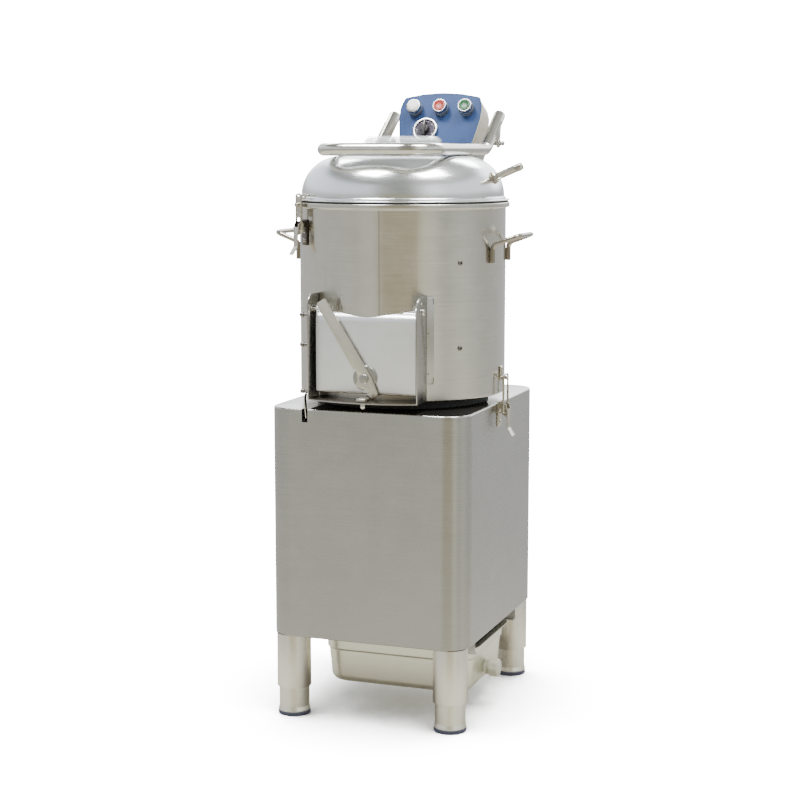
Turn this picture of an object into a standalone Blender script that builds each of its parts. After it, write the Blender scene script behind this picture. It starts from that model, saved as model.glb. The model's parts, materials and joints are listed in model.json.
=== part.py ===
"""Electric potato peeler: a floor-standing drum peeler with a lift-up lid and a catch tray.

Metres, +Z up, +X to the machine's right, the outlet at -Y. The floor is z = 0.
"""
import math

import bmesh
import bpy
from mathutils import Matrix, Vector

SEAT_GAP = 0.0003            # left between pieces that touch
RUNNING_GAP = 0.0005         # left around pins and shafts that turn
CUT_OVERRUN = 0.01           # how far a cutter runs past what it cuts
BEND_STEPS = 2

# Cabinet: a wrapped sheet box with round upright corners
CABINET_WIDTH = 0.396
CABINET_DEPTH = 0.474
CABINET_BOTTOM = 0.163
CABINET_TOP = 0.605
CABINET_CORNER = 0.047
CABINET_SHEET = 0.002
CORNER_STEPS = 6
SERVICE_WIDTH = 0.300
SERVICE_BOTTOM = 0.205
SERVICE_TOP = 0.565
PANEL_OVERLAP = 0.012
PANEL_SHEET = 0.0015
LOUVRE_LENGTH = 0.090
LOUVRE_HEIGHT = 0.006
LOUVRE_PITCH = 0.018
LOUVRE_COUNT = 5
LOUVRE_OFFSET = 0.068
LOUVRE_TOP = 0.500
FRAME_SHEET = 0.004
FRAME_MOUTH = (-0.120, 0.160, -0.144, 0.100)

# Legs and adjustable feet
LEG_INSET_X = 0.038          # from the cabinet's sides to the legs' middles
LEG_INSET_Y = 0.037
LEG_X = CABINET_WIDTH / 2 - LEG_INSET_X
LEG_Y = CABINET_DEPTH / 2 - LEG_INSET_Y
LEG_RADIUS = 0.033
LEG_WALL = 0.0025
LEG_BOTTOM = 0.056
LEG_CAP = 0.004
LEG_BOSS_RADIUS = 0.012
LEG_BOSS_BOTTOM = 0.108
FOOT_RADIUS = 0.0292
FOOT_FLARE = 0.0308
FOOT_FLARE_TOP = 0.017
FOOT_PAD_HEIGHT = 0.008
FOOT_PAD_RADIUS = 0.0312
FOOT_SLEEVE_TOP = 0.082
FOOT_SLEEVE_WALL = 0.0022
FOOT_FLOOR = 0.012
STEM_RADIUS = 0.006
STEM_TOP = 0.150
FOOT_CHAMFER = 0.0015
LEG_STEPS = 12
ROUND_STEPS = 12

# Drum: rolled shell with a pressed floor, on a ring of the cabinet top
DRUM_Y = -0.022
DRUM_RADIUS = 0.200
DRUM_BOTTOM = 0.622
DRUM_TOP = 0.989
DRUM_WALL = 0.002
DRUM_FLOOR = 0.004
DRUM_EDGE = 0.0035
RIM_RADIUS = 0.207
RIM_HEIGHT = 0.010
RIM_ROLL = 0.0018
DRUM_STEPS = 36
SEAT_RING_OUTER = 0.168
SEAT_RING_INNER = 0.150
HUB_BORE = 0.020
HUB_RING = 0.025
HUB_RING_TOP = 0.636
MOUTH_HALF_WIDTH = 0.092
MOUTH_BOTTOM = 0.6445
MOUTH_TOP = 0.768
LINER_GAP = 0.0008
LINER_WALL = 0.002
LINER_BOTTOM = 0.672
LINER_TOP = 0.958

# Abrasive plate: a disc with radial waves on top and a hub under it
PLATE_RADIUS = 0.1925
PLATE_BOTTOM = 0.640
PLATE_THICKNESS = 0.009
PLATE_WAVES = 3
PLATE_WAVE_HEIGHT = 0.014
PLATE_STEPS = 27
PLATE_RING_SHARES = (0.90, 0.72, 0.48, 0.27)
PLATE_WAVE_SHARES = (0.60, 1.00, 0.85, 0.20)
HUB_RADIUS = 0.034
CAP_NUT_RADIUS = 0.016
CAP_NUT_HEIGHT = 0.012

# Drive: shaft, housing, belt pulleys and motor
SHAFT_RADIUS = 0.0125
SHAFT_NECK_RADIUS = 0.0110
SHAFT_BOTTOM = 0.196
SHAFT_NECK = 0.560
HOUSING_RADIUS = 0.034
HOUSING_FLANGE_RADIUS = 0.060
HOUSING_FLANGE = 0.010
HOUSING_BOTTOM = 0.455
BELT_Z = 0.220
BELT_HEIGHT = 0.009
BELT_THICKNESS = 0.006
BELT_STEPS = 8
PULLEY_HEIGHT = 0.026
GROOVE_HEIGHT = 0.011
PULLEY_LIP = 0.0085
DRIVEN_RADIUS = 0.078
DRIVING_RADIUS = 0.024
PULLEY_HUB_RADIUS = 0.024
PULLEY_HUB_HEIGHT = 0.020
PULLEY_WEB = 0.010
PULLEY_RIM_WALL = 0.010
MOTOR_SETBACK = 0.097        # from the cabinet's back to the motor's axis
MOTOR_Y = CABINET_DEPTH / 2 - MOTOR_SETBACK
MOTOR_RADIUS = 0.062
MOTOR_FIN_ROOT = 0.055
MOTOR_CORE = 0.050
MOTOR_FLANGE_RADIUS = 0.072
MOTOR_FLANGE = 0.009
MOTOR_BOTTOM = 0.300
MOTOR_BELL = 0.030
MOTOR_FINS = 8
MOTOR_SHAFT_RADIUS = 0.009
MOTOR_SHAFT_DEPTH = 0.014
PIPE_X = 0.116
PIPE_RADIUS = 0.024
PIPE_WALL = 0.0025
PIPE_BOTTOM = 0.172
PIPE_FLANGE = 0.029

# Outlet chute and its door
CHUTE_HALF_WIDTH = 0.107
CHUTE_SHEET = 0.002
CHUTE_FRONT = -0.245
CHUTE_BOTTOM = 0.6245
CHUTE_TOP = 0.822
CHUTE_NOSE = 0.022
CHUTE_FLANGE_BOTTOM = 0.655
CHUTE_FLANGE_ANGLE = math.radians(3.6)
DOOR_HALF_WIDTH = 0.099
DOOR_BOTTOM = 0.637
DOOR_BEND = 0.772
DOOR_BEND_RADIUS = 0.018
DOOR_SLOPE = math.radians(27)
DOOR_CORNER = 0.005
DOOR_FACE = -0.2257
DOOR_DEPTH = 0.040
DOOR_SHEET = 0.002
DOOR_EDGE = 0.007
DOOR_DRUM_GAP = 0.0015
DOOR_AXIS_Y = -0.214
DOOR_AXIS_Z = 0.792
DOOR_EAR_RADIUS = 0.009
DOOR_BOLT_RADIUS = 0.0038
DOOR_BOLT_HEAD = 0.0065
DOOR_BOLT_HEAD_HEIGHT = 0.0035

# Door lever, its boss and the catch on the chute's lip
LEVER_Z = 0.668
LEVER_LENGTH = 0.166
LEVER_TILT = math.radians(31.5)
LEVER_WIDTH = 0.0205
LEVER_SHEET = 0.003
LEVER_HIP = (0.0148, 0.0010)
LEVER_TAIL = ((0.0272, -0.0292), (0.0242, -0.0330), (0.0145, -0.0378), (0.0015, -0.0220))
LEVER_EAR = (-0.0178, -0.0150)
LEVER_NECK = ((-0.0128, -0.0037), (-0.0148, 0.0105))
LEVER_SHOULDER = 0.0265
BOSS_RADIUS = 0.0235
BOSS_HEIGHT = 0.004
LEVER_PIN_RADIUS = 0.0050
LEVER_PIN_HEAD = 0.0085
LEVER_PIN_HEAD_HEIGHT = 0.005
CATCH_WIDTH = 0.018
CATCH_HEIGHT = 0.0062
CATCH_DEPTH = 0.024
CATCH_FRONT = -0.2585
CATCH_X = 0.0030
CATCH_BOLT_RADIUS = 0.0052
CATCH_BOLT_TIP = 0.6120
TONGUE_SHEET = 0.0015
TONGUE_WIDTH = 0.009
TONGUE_TOP = 0.668
TONGUE_LENGTH = 0.080
TONGUE_SETBACK = 0.008        # from the chute's front edge to the tongue
TONGUE_BULGE = 0.0095
TONGUE_SWAY = 0.0060
SLOT_WIDTH = 0.0115
SLOT_CLEAR = 0.0025
SLOT_DROP = 0.008            # from the tongue's foot to the slot's bottom

# Dome, its seal and its filling mouth
SEAL_HEIGHT = 0.0024
SEAL_WIDTH = 0.006
DOME_FLANGE = 0.002
DOME_SHEET = 0.0018
DOME_RADIUS = 0.1965
DOME_BEAD = 0.0025
DOME_BAND = 0.0080
DOME_HEIGHT = 0.0762
DOME_FLAT_RADIUS = 0.120
DOME_MOUTH_RADIUS = 0.085
DOME_MOUTH_LIP = 0.008
DOME_ARC_STEPS = 6

# Lid: clear cover in a bent tube frame that swings on two pins behind the dome
TUBE_RADIUS = 0.012
LID_SIDE_X = 0.114
LID_FRONT_Y = -0.196
LID_CORNER = 0.062
LID_BEND_Y = 0.148
LID_BEND = 0.040
LID_ARM_ANGLE = math.radians(36.3)
LID_ARM_LENGTH = 0.1185
LID_PIN_Y = 0.195
LID_PIN_Z = 1.1010
LID_PIN_RADIUS = 0.0045
LUG_X = 0.1240
LUG_SHEET = 0.003
LUG_RADIUS = 0.009
LUG_SPREAD = 0.020
LUG_RISE = 0.0073
STRAP_WIDTH = 0.024
STRAP_THICKNESS = 0.002
STRAP_REACH = 0.084
COVER_RADIUS = 0.097
COVER_SHEET = 0.003
COVER_RISE_RADIUS = 0.075
COVER_CROWN_RADIUS = 0.067
COVER_HEIGHT = 0.0375
COVER_STEPS = 26
EAR_X = 0.0985
EAR_SHEET = 0.003
EAR_RADIUS = 0.013
EAR_HEEL = (0.176, 1.066)
EAR_ARC = (math.radians(32), math.radians(62))
BRIDGE_FACE = 0.1575
BRIDGE_BOTTOM = 1.052
BRIDGE_TOP = 1.066
PIN_END = 0.1385

# Rear column and the control box that it carries
COLUMN_HALF_WIDTH = 0.065
COLUMN_FRONT = 0.190
COLUMN_BACK = 0.234
COLUMN_WALL = 0.002
COLUMN_DUCT_TOP = 1.030
BOX_TILT = math.radians(25)
BOX_CENTRE = (0.0, 0.203, 1.160)
BOX_DEPTH = 0.060
BOX_WALL = 0.002
BOX_BOTTOM = -0.088
BOX_SHOULDER = 0.035
BOX_CREST = 0.0455
BOX_FOOT_HALF = 0.070
BOX_HIP_HALF = 0.0805
BOX_HIP = -0.046
BOX_WAIST_HALF = 0.0865
BOX_WAIST = (-0.010, 0.015)
BOX_SHOULDER_HALF = 0.0795
BOX_CORNER = 0.007
FASCIA_SHEET = 0.003
FASCIA_LIP = 0.0015

# Controls, as (across, up) on the fascia
LAMP_PLACE = (-0.0530, 0.0086)
STOP_PLACE = (0.0031, 0.0086)
START_PLACE = (0.0570, 0.0086)
TIMER_PLACE = (-0.0255, -0.0380)
NECK_RADIUS = 0.0105
NECK_DEPTH = 0.014
BEZEL_RADIUS = 0.0148
BEZEL_BORE = 0.0122
BEZEL_HEIGHT = 0.021
BEZEL_FLOOR = 0.003
BEZEL_CHAMFER = 0.0015
BUTTON_RADIUS = 0.0117
BUTTON_TRAVEL = 0.003
BUTTON_PROUD = 0.0015
BUTTON_CROWN = 0.002
LENS_HEIGHT = 0.004
TIMER_RADIUS = 0.0265
TIMER_HEIGHT = 0.006
TIMER_FACE_RADIUS = 0.0215
TIMER_FACE_SINK = 0.0025
TIMER_BORE = 0.0045
KNOB_RADIUS = 0.0100
KNOB_HEIGHT = 0.010
KNOB_STEM = 0.0040
POINTER_LENGTH = 0.036
POINTER_WIDTH = 0.0075
POINTER_HEIGHT = 0.007
CONTROL_STEPS = 14

# Carry handles on both sides of the drum
HANDLE_RADIUS = 0.0048
HANDLE_HALF_SPREAD = 0.052
HANDLE_FOOT = 0.876
HANDLE_KNEE = 0.910
HANDLE_LOOP_Z = 0.928
HANDLE_REACH = 0.248
HANDLE_KNEE_BEND = 0.014
HANDLE_LOOP_BEND = 0.014

# Water inlet on the dome's right shoulder
INLET_ANGLE = math.radians(-4)
INLET_ARC = math.radians(27)
INLET_NUT_RADIUS = 0.0106
INLET_NUT_HEIGHT = 0.008
INLET_RADIUS = 0.0072
INLET_BORE = 0.0045
INLET_DROOP = math.radians(4.5)
INLET_LIFT = 0.0002
INLET_INSET = 0.0008          # how far the dome's facets lie inside its true curve
INLET_LENGTH = 0.062
INLET_THREAD = 0.014
INLET_THREAD_RADIUS = 0.0076
HEX_SIDES = 6

# Toggle latches: base, lever and wire bail
LATCH_HALF_WIDTH = 0.014
LATCH_PLATE = 0.002
LATCH_DROP = 0.040
LATCH_HEAD = 0.009
LATCH_CHEEK_INNER = 0.0085
LATCH_CHEEK = 0.0014
LATCH_PIVOT_OUT = 0.0125
LATCH_CHEEK_RADIUS = 0.0055
LATCH_PIN_RADIUS = 0.0020
LATCH_THROW = 0.012
LEVER_CHEEK_INNER = 0.0105
LEVER_CHEEK = 0.0013
LEVER_SHELL_OUT = 0.0060
LEVER_SHELL = 0.0014
LEVER_REACH = 0.042
LEVER_LIP_DROP = 0.016
LEVER_LIP_OUT = 0.010
BAIL_RADIUS = 0.0020
BAIL_HALF_SPREAD = 0.0144
BAIL_BEND = 0.0035
BAIL_EYE_BEND = 0.0024
BAIL_GAP = 0.0007
DRUM_LATCH_PIVOT_Z = 0.599
DOME_LATCH_PIVOT_Z = 0.948
DOME_LATCH_ANGLE = math.radians(222)
DOME_HOOK_INSET = 0.0025
DOME_HOOK_GAP = 0.0008
DOME_HOOK_ARCH = 0.0076
STRAP_LEAF = 0.0018
STRAP_LEAF_FOOT = 0.024
STRAP_STUD_RADIUS = 0.0045
STRAP_STUD_LENGTH = 0.008
KEEPER_PIN_Z = 0.6535
KEEPER_PIN_RADIUS = 0.0035
KEEPER_PIN_LENGTH = 0.0155
KEEPER_HALF_WIDTH = 0.0075
KEEPER_PLATE = 0.0025
KEEPER_BOSS_RADIUS = 0.0062
KEEPER_BOSS_LENGTH = 0.0058
KEEPER_BOSS_RISE = 0.0165
KEEPER_MARGIN = 0.006

# Tray, rails and drain
TRAY_LENGTH = 0.325
TRAY_DEPTH = 0.265
TRAY_X = 0.0275
TRAY_TOP = 0.1425
TRAY_BOTTOM = 0.049
TRAY_RIM = 0.010
TRAY_SHEET = 0.0016
TRAY_CORNER = 0.045
TRAY_SHOULDER = 0.024
TRAY_SHOULDER_STEP = 0.003
TRAY_TAPER = 0.006
TRAY_TOE = 0.016
TRAY_STEPS = 3
RAIL_SHEET = 0.002
RAIL_LEDGE = 0.0095
RAIL_START = -0.188
RAIL_END = 0.195
RAIL_CLEAR = 0.0015
DRAIN_Y = -0.030
DRAIN_Z = 0.078
DRAIN_RADIUS = 0.0105
DRAIN_FLANGE_RADIUS = 0.0150
DRAIN_FLANGE = 0.004
DRAIN_BODY = 0.012
DRAIN_INNER = 0.008
DRAIN_CAP_RADIUS = 0.0180
DRAIN_CAP_LENGTH = 0.018
DRAIN_CAP_SOCKET = 0.007
DRAIN_SIDES = 8

# Cable gland on the rear panel
GLAND_X = -0.110
GLAND_Z = 0.235
GLAND_RADIUS = 0.014
GLAND_BORE = 0.005
GLAND_LENGTH = 0.022

CAP_FLOOR = CABINET_TOP - CABINET_SHEET


def clear_scene():
    for item in list(bpy.data.objects):
        bpy.data.objects.remove(item, do_unlink=True)


def principled(name, colour, roughness, metallic, alpha=1.0):
    material = bpy.data.materials.new(name)
    material.use_nodes = True
    shader = material.node_tree.nodes["Principled BSDF"]
    shader.inputs["Base Color"].default_value = (*colour, 1.0)
    shader.inputs["Roughness"].default_value = roughness
    shader.inputs["Metallic"].default_value = metallic
    shader.inputs["Alpha"].default_value = alpha
    material.diffuse_color = (*colour, alpha)
    return material


MATERIAL_VALUES = {
    "brushed": ((0.62, 0.61, 0.58), 0.36, 1.0),
    "satin": ((0.72, 0.74, 0.77), 0.28, 1.0),
    "polished": ((0.70, 0.69, 0.66), 0.15, 1.0),
    "zinc": ((0.45, 0.45, 0.44), 0.45, 0.9),
    "cast": ((0.20, 0.23, 0.26), 0.60, 0.4),
    "abrasive": ((0.10, 0.10, 0.11), 0.95, 0.0),
    "rubber": ((0.03, 0.03, 0.03), 0.80, 0.0),
    "blue": ((0.10, 0.19, 0.42), 0.45, 0.0),
    "box_grey": ((0.66, 0.65, 0.60), 0.40, 0.6),
    "black": ((0.02, 0.02, 0.02), 0.40, 0.0),
    "dial": ((0.12, 0.10, 0.14), 0.45, 0.0),
    "green": ((0.02, 0.22, 0.08), 0.30, 0.0),
    "red": ((0.55, 0.05, 0.04), 0.30, 0.0),
    "white": ((0.85, 0.86, 0.85), 0.30, 0.0),
    "clear": ((0.90, 0.93, 0.95), 0.08, 0.0, 0.35),
    "ivory": ((0.78, 0.75, 0.62), 0.45, 0.0),
}


def shape(bm):
    """Merges doubles, turns the normals outward and shades the faces smooth."""
    bmesh.ops.remove_doubles(bm, verts=bm.verts, dist=SEAT_GAP / 100)
    bmesh.ops.recalc_face_normals(bm, faces=bm.faces)
    for face in bm.faces:
        face.smooth = True
    return bm


def add_object(name, bm, material, matrix=None, parent=None):
    mesh = bpy.data.meshes.new(name)
    bm.to_mesh(mesh)
    bm.free()
    mesh.set_sharp_from_angle(angle=math.radians(35))
    mesh.materials.append(MATERIALS[material])
    item = bpy.data.objects.new(name, mesh)
    bpy.context.scene.collection.objects.link(item)
    item.parent = parent
    if matrix is not None:
        item.matrix_local = matrix
    return item


def combine(target, bm, operation, matrix=None):
    """Adds one Boolean step to an object, with a hidden operand mesh in the object's space."""
    mesh = bpy.data.meshes.new(target.name + "_operand")
    bm.to_mesh(mesh)
    bm.free()
    operand = bpy.data.objects.new(mesh.name, mesh)
    bpy.context.scene.collection.objects.link(operand)
    operand.parent = target
    if matrix is not None:
        operand.matrix_local = matrix
    operand.hide_render = True
    operand.display_type = "WIRE"
    step = target.modifiers.new(operation.title(), "BOOLEAN")
    step.operation = operation
    step.solver = "EXACT"
    step.object = operand
    operand.hide_set(True)
    return target


def cut(target, bm, matrix=None):
    return combine(target, bm, "DIFFERENCE", matrix)


def unite(target, bm, matrix=None):
    return combine(target, bm, "UNION", matrix)


def place(x=0.0, y=0.0, z=0.0):
    return Matrix.Translation((x, y, z))


def turned(axis, angle):
    return Matrix.Rotation(angle, 4, axis)


def box(x0, x1, y0, y1, z0, z1):
    bm = bmesh.new()
    bmesh.ops.create_cube(bm, size=1.0)
    bmesh.ops.scale(bm, verts=bm.verts, vec=(x1 - x0, y1 - y0, z1 - z0))
    bmesh.ops.translate(bm, verts=bm.verts, vec=((x0 + x1) / 2, (y0 + y1) / 2, (z0 + z1) / 2))
    return shape(bm)


def arc(centre, radius, start, end, steps):
    """Points of a circular arc in a plane, both ends included."""
    return [(centre[0] + radius * math.cos(start + (end - start) * k / steps),
             centre[1] + radius * math.sin(start + (end - start) * k / steps))
            for k in range(steps + 1)]


def rounded_rectangle(x0, x1, y0, y1, radius, steps):
    quarter = math.pi / 2
    corners = (((x1 - radius, y1 - radius), 0), ((x0 + radius, y1 - radius), 1),
               ((x0 + radius, y0 + radius), 2), ((x1 - radius, y0 + radius), 3))
    return [point for centre, turn in corners
            for point in arc(centre, radius, turn * quarter, (turn + 1) * quarter, steps)]


def filleted(points, radii, steps, closed=False):
    """Replaces the corners of a path by arcs of the given radii, where zero keeps a corner."""
    path = [Vector(point) for point in points]
    count = len(path)
    result = []
    for index, corner in enumerate(path):
        radius = radii[index] if isinstance(radii, (list, tuple)) else radii
        at_end = not closed and index in (0, count - 1)
        if at_end or radius == 0:
            result.append(corner)
            continue
        before = (path[index - 1] - corner).normalized()
        after = (path[(index + 1) % count] - corner).normalized()
        half = before.angle(after) / 2
        centre = corner + (before + after).normalized() * (radius / math.sin(half))
        first = corner + before * (radius / math.tan(half)) - centre
        last = corner + after * (radius / math.tan(half)) - centre
        sweep = math.pi - 2 * half
        for k in range(steps + 1):
            share = k / steps
            mixed = (first * math.sin((1 - share) * sweep) + last * math.sin(share * sweep))
            result.append(centre + mixed / math.sin(sweep))
    return result


def revolve(profile, steps):
    """Spins a closed (radius, height) outline about Z."""
    bm = bmesh.new()
    ring = [bm.verts.new((radius, 0.0, height)) for radius, height in profile]
    edges = [bm.edges.new((ring[k - 1], ring[k])) for k in range(len(ring))
             if profile[k - 1][0] > 0 or profile[k][0] > 0]
    bmesh.ops.spin(bm, geom=ring + edges, cent=(0, 0, 0), axis=(0, 0, 1),
                   angle=2 * math.pi, steps=steps, use_merge=True, use_duplicate=False)
    bmesh.ops.delete(bm, geom=[edge for edge in bm.edges if not edge.link_faces], context="EDGES")
    return shape(bm)


def prism(outline, low, high):
    """Extrudes a closed (x, y) outline from one height to another."""
    bm = bmesh.new()
    base = bm.faces.new([bm.verts.new((point[0], point[1], low)) for point in outline])
    grown = bmesh.ops.extrude_face_region(bm, geom=[base])["geom"]
    top = [item for item in grown if isinstance(item, bmesh.types.BMVert)]
    bmesh.ops.translate(bm, verts=top, vec=(0, 0, high - low))
    return shape(bm)


def side_prism(outline, left, right):
    """Extrudes a closed (y, z) outline along X from left to right."""
    bm = prism(outline, left, right)
    bmesh.ops.transform(bm, verts=bm.verts, matrix=Matrix(((0, 0, 1, 0), (1, 0, 0, 0),
                                                         (0, 1, 0, 0), (0, 0, 0, 1))))
    return shape(bm)


def front_prism(outline, front, back):
    """Extrudes a closed (x, z) outline along Y from one depth to another."""
    bm = prism(outline, front, back)
    bmesh.ops.transform(bm, verts=bm.verts, matrix=Matrix(((1, 0, 0, 0), (0, 0, 1, 0),
                                                         (0, 1, 0, 0), (0, 0, 0, 1))))
    return shape(bm)


def along_x(bm):
    """Lays a solid built about Z down about X."""
    bmesh.ops.transform(bm, verts=bm.verts, matrix=turned("Y", math.pi / 2))
    return bm


def along_y(bm, sign=-1):
    """Lays a solid built about Z down about Y, its top towards -Y or +Y."""
    bmesh.ops.transform(bm, verts=bm.verts, matrix=turned("X", -sign * math.pi / 2))
    return bm


def disc(radius, low, high, steps):
    return revolve([(0, low), (radius, low), (radius, high), (0, high)], steps)


def loft(loops):
    """Bridges closed loops of equal length in turn and caps both ends."""
    bm = bmesh.new()
    rings = [[bm.verts.new(point) for point in loop] for loop in loops]
    count = len(rings[0])
    for lower, upper in zip(rings, rings[1:]):
        for k in range(count):
            bm.faces.new((lower[k - 1], lower[k], upper[k], upper[k - 1]))
    bm.faces.new(rings[0])
    bm.faces.new(rings[-1])
    return shape(bm)


def tube(path, radius, sides):
    """Sweeps a circle along a path with turned rings that carry no twist."""
    points = [Vector(point) for point in path]
    normal = None
    loops = []
    for index, point in enumerate(points):
        ahead = points[min(index + 1, len(points) - 1)]
        behind = points[max(index - 1, 0)]
        inward = (point - behind).normalized() if index else (ahead - point).normalized()
        outward = (ahead - point).normalized() if index < len(points) - 1 else inward
        direction = (inward + outward).normalized()
        if normal is None:
            normal = direction.orthogonal().normalized()
        normal = (normal - direction * normal.dot(direction)).normalized()
        across = direction.cross(normal)
        stretch = 1 / max(inward.dot(direction), 0.5)
        bend = (outward - inward)
        flat = bend.normalized() if bend.length > 0 else None
        loop = []
        for k in range(sides):
            angle = 2 * math.pi * k / sides
            offset = (normal * math.cos(angle) + across * math.sin(angle)) * radius
            if flat is not None:
                offset += flat * offset.dot(flat) * (stretch - 1)
            loop.append(point + offset)
        loops.append(loop)
    return loft(loops)


def drum_depth(x, radius=DRUM_RADIUS):
    """The y of the drum's front surface at a given x."""
    return DRUM_Y - math.sqrt(radius ** 2 - x ** 2)


def build_cabinet():
    half_w = CABINET_WIDTH / 2
    half_d = CABINET_DEPTH / 2
    outer = rounded_rectangle(-half_w, half_w, -half_d, half_d, CABINET_CORNER, CORNER_STEPS)
    inner_w = half_w - CABINET_SHEET
    inner_d = half_d - CABINET_SHEET
    inner = rounded_rectangle(-inner_w, inner_w, -inner_d, inner_d,
                              CABINET_CORNER - CABINET_SHEET, CORNER_STEPS)
    wall_top = CAP_FLOOR - SEAT_GAP
    shell = add_object("cabinet_shell", prism(outer, CABINET_BOTTOM, wall_top), "brushed")
    cut(shell, prism(inner, CABINET_BOTTOM - CUT_OVERRUN, wall_top + CUT_OVERRUN))
    cut(shell, box(-SERVICE_WIDTH / 2, SERVICE_WIDTH / 2, half_d - CABINET_SHEET - CUT_OVERRUN,
                   half_d + CUT_OVERRUN, SERVICE_BOTTOM, SERVICE_TOP))
    slot_x = -CHUTE_HALF_WIDTH - CHUTE_SHEET - TONGUE_BULGE
    slot_back = CHUTE_FRONT + TONGUE_SETBACK + TONGUE_WIDTH + SLOT_CLEAR
    cut(shell, box(slot_x - SLOT_WIDTH / 2, slot_x + SLOT_WIDTH / 2, -half_d - CUT_OVERRUN,
                   slot_back, TONGUE_TOP - TONGUE_LENGTH - SLOT_DROP, wall_top + CUT_OVERRUN))

    top = add_object("cabinet_top", prism(outer, CAP_FLOOR, CABINET_TOP), "brushed")
    ring = revolve([(SEAT_RING_INNER, CAP_FLOOR), (SEAT_RING_OUTER, CAP_FLOOR),
                    (SEAT_RING_OUTER, DRUM_BOTTOM - SEAT_GAP),
                    (SEAT_RING_INNER, DRUM_BOTTOM - SEAT_GAP)], DRUM_STEPS)
    unite(top, ring, place(0, DRUM_Y))
    hole_top = CABINET_TOP + CUT_OVERRUN
    cut(top, disc(HUB_BORE, CAP_FLOOR - CUT_OVERRUN, hole_top, ROUND_STEPS), place(0, DRUM_Y))
    cut(top, disc(PIPE_RADIUS + RUNNING_GAP, CAP_FLOOR - CUT_OVERRUN, hole_top, ROUND_STEPS),
        place(PIPE_X, DRUM_Y))
    cut(top, box(slot_x - SLOT_WIDTH / 2, slot_x + SLOT_WIDTH / 2, -half_d - CUT_OVERRUN,
                 slot_back, CAP_FLOOR - CUT_OVERRUN, hole_top))

    edge_w = inner_w - SEAT_GAP
    edge_d = inner_d - SEAT_GAP
    floor = rounded_rectangle(-edge_w, edge_w, -edge_d, edge_d,
                              CABINET_CORNER - CABINET_SHEET - SEAT_GAP, CORNER_STEPS)
    frame = add_object("base_frame", prism(floor, CABINET_BOTTOM, CABINET_BOTTOM + FRAME_SHEET), "zinc")
    cut(frame, prism(rounded_rectangle(*FRAME_MOUTH, CABINET_CORNER / 2, CORNER_STEPS),
                     CABINET_BOTTOM - CUT_OVERRUN, CABINET_BOTTOM + FRAME_SHEET + CUT_OVERRUN))


def build_rear_panel():
    face = CABINET_DEPTH / 2 + SEAT_GAP
    half = SERVICE_WIDTH / 2 + PANEL_OVERLAP
    outline = rounded_rectangle(-half, half, SERVICE_BOTTOM - PANEL_OVERLAP, SERVICE_TOP + PANEL_OVERLAP,
                                PANEL_OVERLAP / 2, CORNER_STEPS // 2)
    panel = add_object("rear_panel", front_prism(outline, face, face + PANEL_SHEET), "brushed")
    for side in (-1, 1):
        for row in range(LOUVRE_COUNT):
            z = LOUVRE_TOP - row * LOUVRE_PITCH
            x = side * LOUVRE_OFFSET
            cut(panel, box(x - LOUVRE_LENGTH / 2, x + LOUVRE_LENGTH / 2, face - CUT_OVERRUN,
                           face + CUT_OVERRUN, z - LOUVRE_HEIGHT / 2, z + LOUVRE_HEIGHT / 2))
    cut(panel, along_y(disc(GLAND_BORE + SEAT_GAP * 2, -CUT_OVERRUN, CUT_OVERRUN, ROUND_STEPS)),
        place(GLAND_X, face, GLAND_Z))

    seat = face + PANEL_SHEET + SEAT_GAP
    bore = GLAND_BORE * 0.7
    profile = [(bore, -PANEL_SHEET - GLAND_LENGTH / 4), (GLAND_BORE, -PANEL_SHEET - GLAND_LENGTH / 4),
               (GLAND_BORE, 0), (GLAND_RADIUS, 0), (GLAND_RADIUS, GLAND_LENGTH / 3),
               (GLAND_RADIUS * 0.8, GLAND_LENGTH / 2.5), (GLAND_RADIUS * 0.8, GLAND_LENGTH * 0.8),
               (GLAND_RADIUS * 0.55, GLAND_LENGTH), (bore, GLAND_LENGTH)]
    add_object("cable_gland", along_y(revolve(profile, ROUND_STEPS), 1), "black",
               place(GLAND_X, seat, GLAND_Z))


def build_legs():
    top = CABINET_BOTTOM - SEAT_GAP
    inner = LEG_RADIUS - LEG_WALL
    bore = STEM_RADIUS + RUNNING_GAP
    sleeve_bore = FOOT_RADIUS - FOOT_SLEEVE_WALL
    leg = [(LEG_RADIUS, LEG_BOTTOM), (LEG_RADIUS, top), (0, top), (0, top - LEG_CAP),
           (bore, top - LEG_CAP), (bore, LEG_BOSS_BOTTOM), (LEG_BOSS_RADIUS, LEG_BOSS_BOTTOM),
           (LEG_BOSS_RADIUS, top - LEG_CAP), (inner, top - LEG_CAP), (inner, LEG_BOTTOM)]
    foot = [(0, 0), (FOOT_PAD_RADIUS - FOOT_CHAMFER, 0), (FOOT_PAD_RADIUS, FOOT_CHAMFER),
            (FOOT_PAD_RADIUS, FOOT_PAD_HEIGHT), (FOOT_FLARE, FOOT_PAD_HEIGHT),
            (FOOT_RADIUS, FOOT_FLARE_TOP), (FOOT_RADIUS, FOOT_SLEEVE_TOP),
            (sleeve_bore, FOOT_SLEEVE_TOP), (sleeve_bore, FOOT_FLOOR),
            (STEM_RADIUS, FOOT_FLOOR), (STEM_RADIUS, STEM_TOP), (0, STEM_TOP)]
    for depth, y in (("front", -LEG_Y), ("rear", LEG_Y)):
        for side, x in (("left", -LEG_X), ("right", LEG_X)):
            add_object(f"leg_{depth}_{side}", revolve(leg, LEG_STEPS), "brushed", place(x, y))
            add_object(f"foot_{depth}_{side}", revolve(foot, LEG_STEPS), "brushed", place(x, y))


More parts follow.
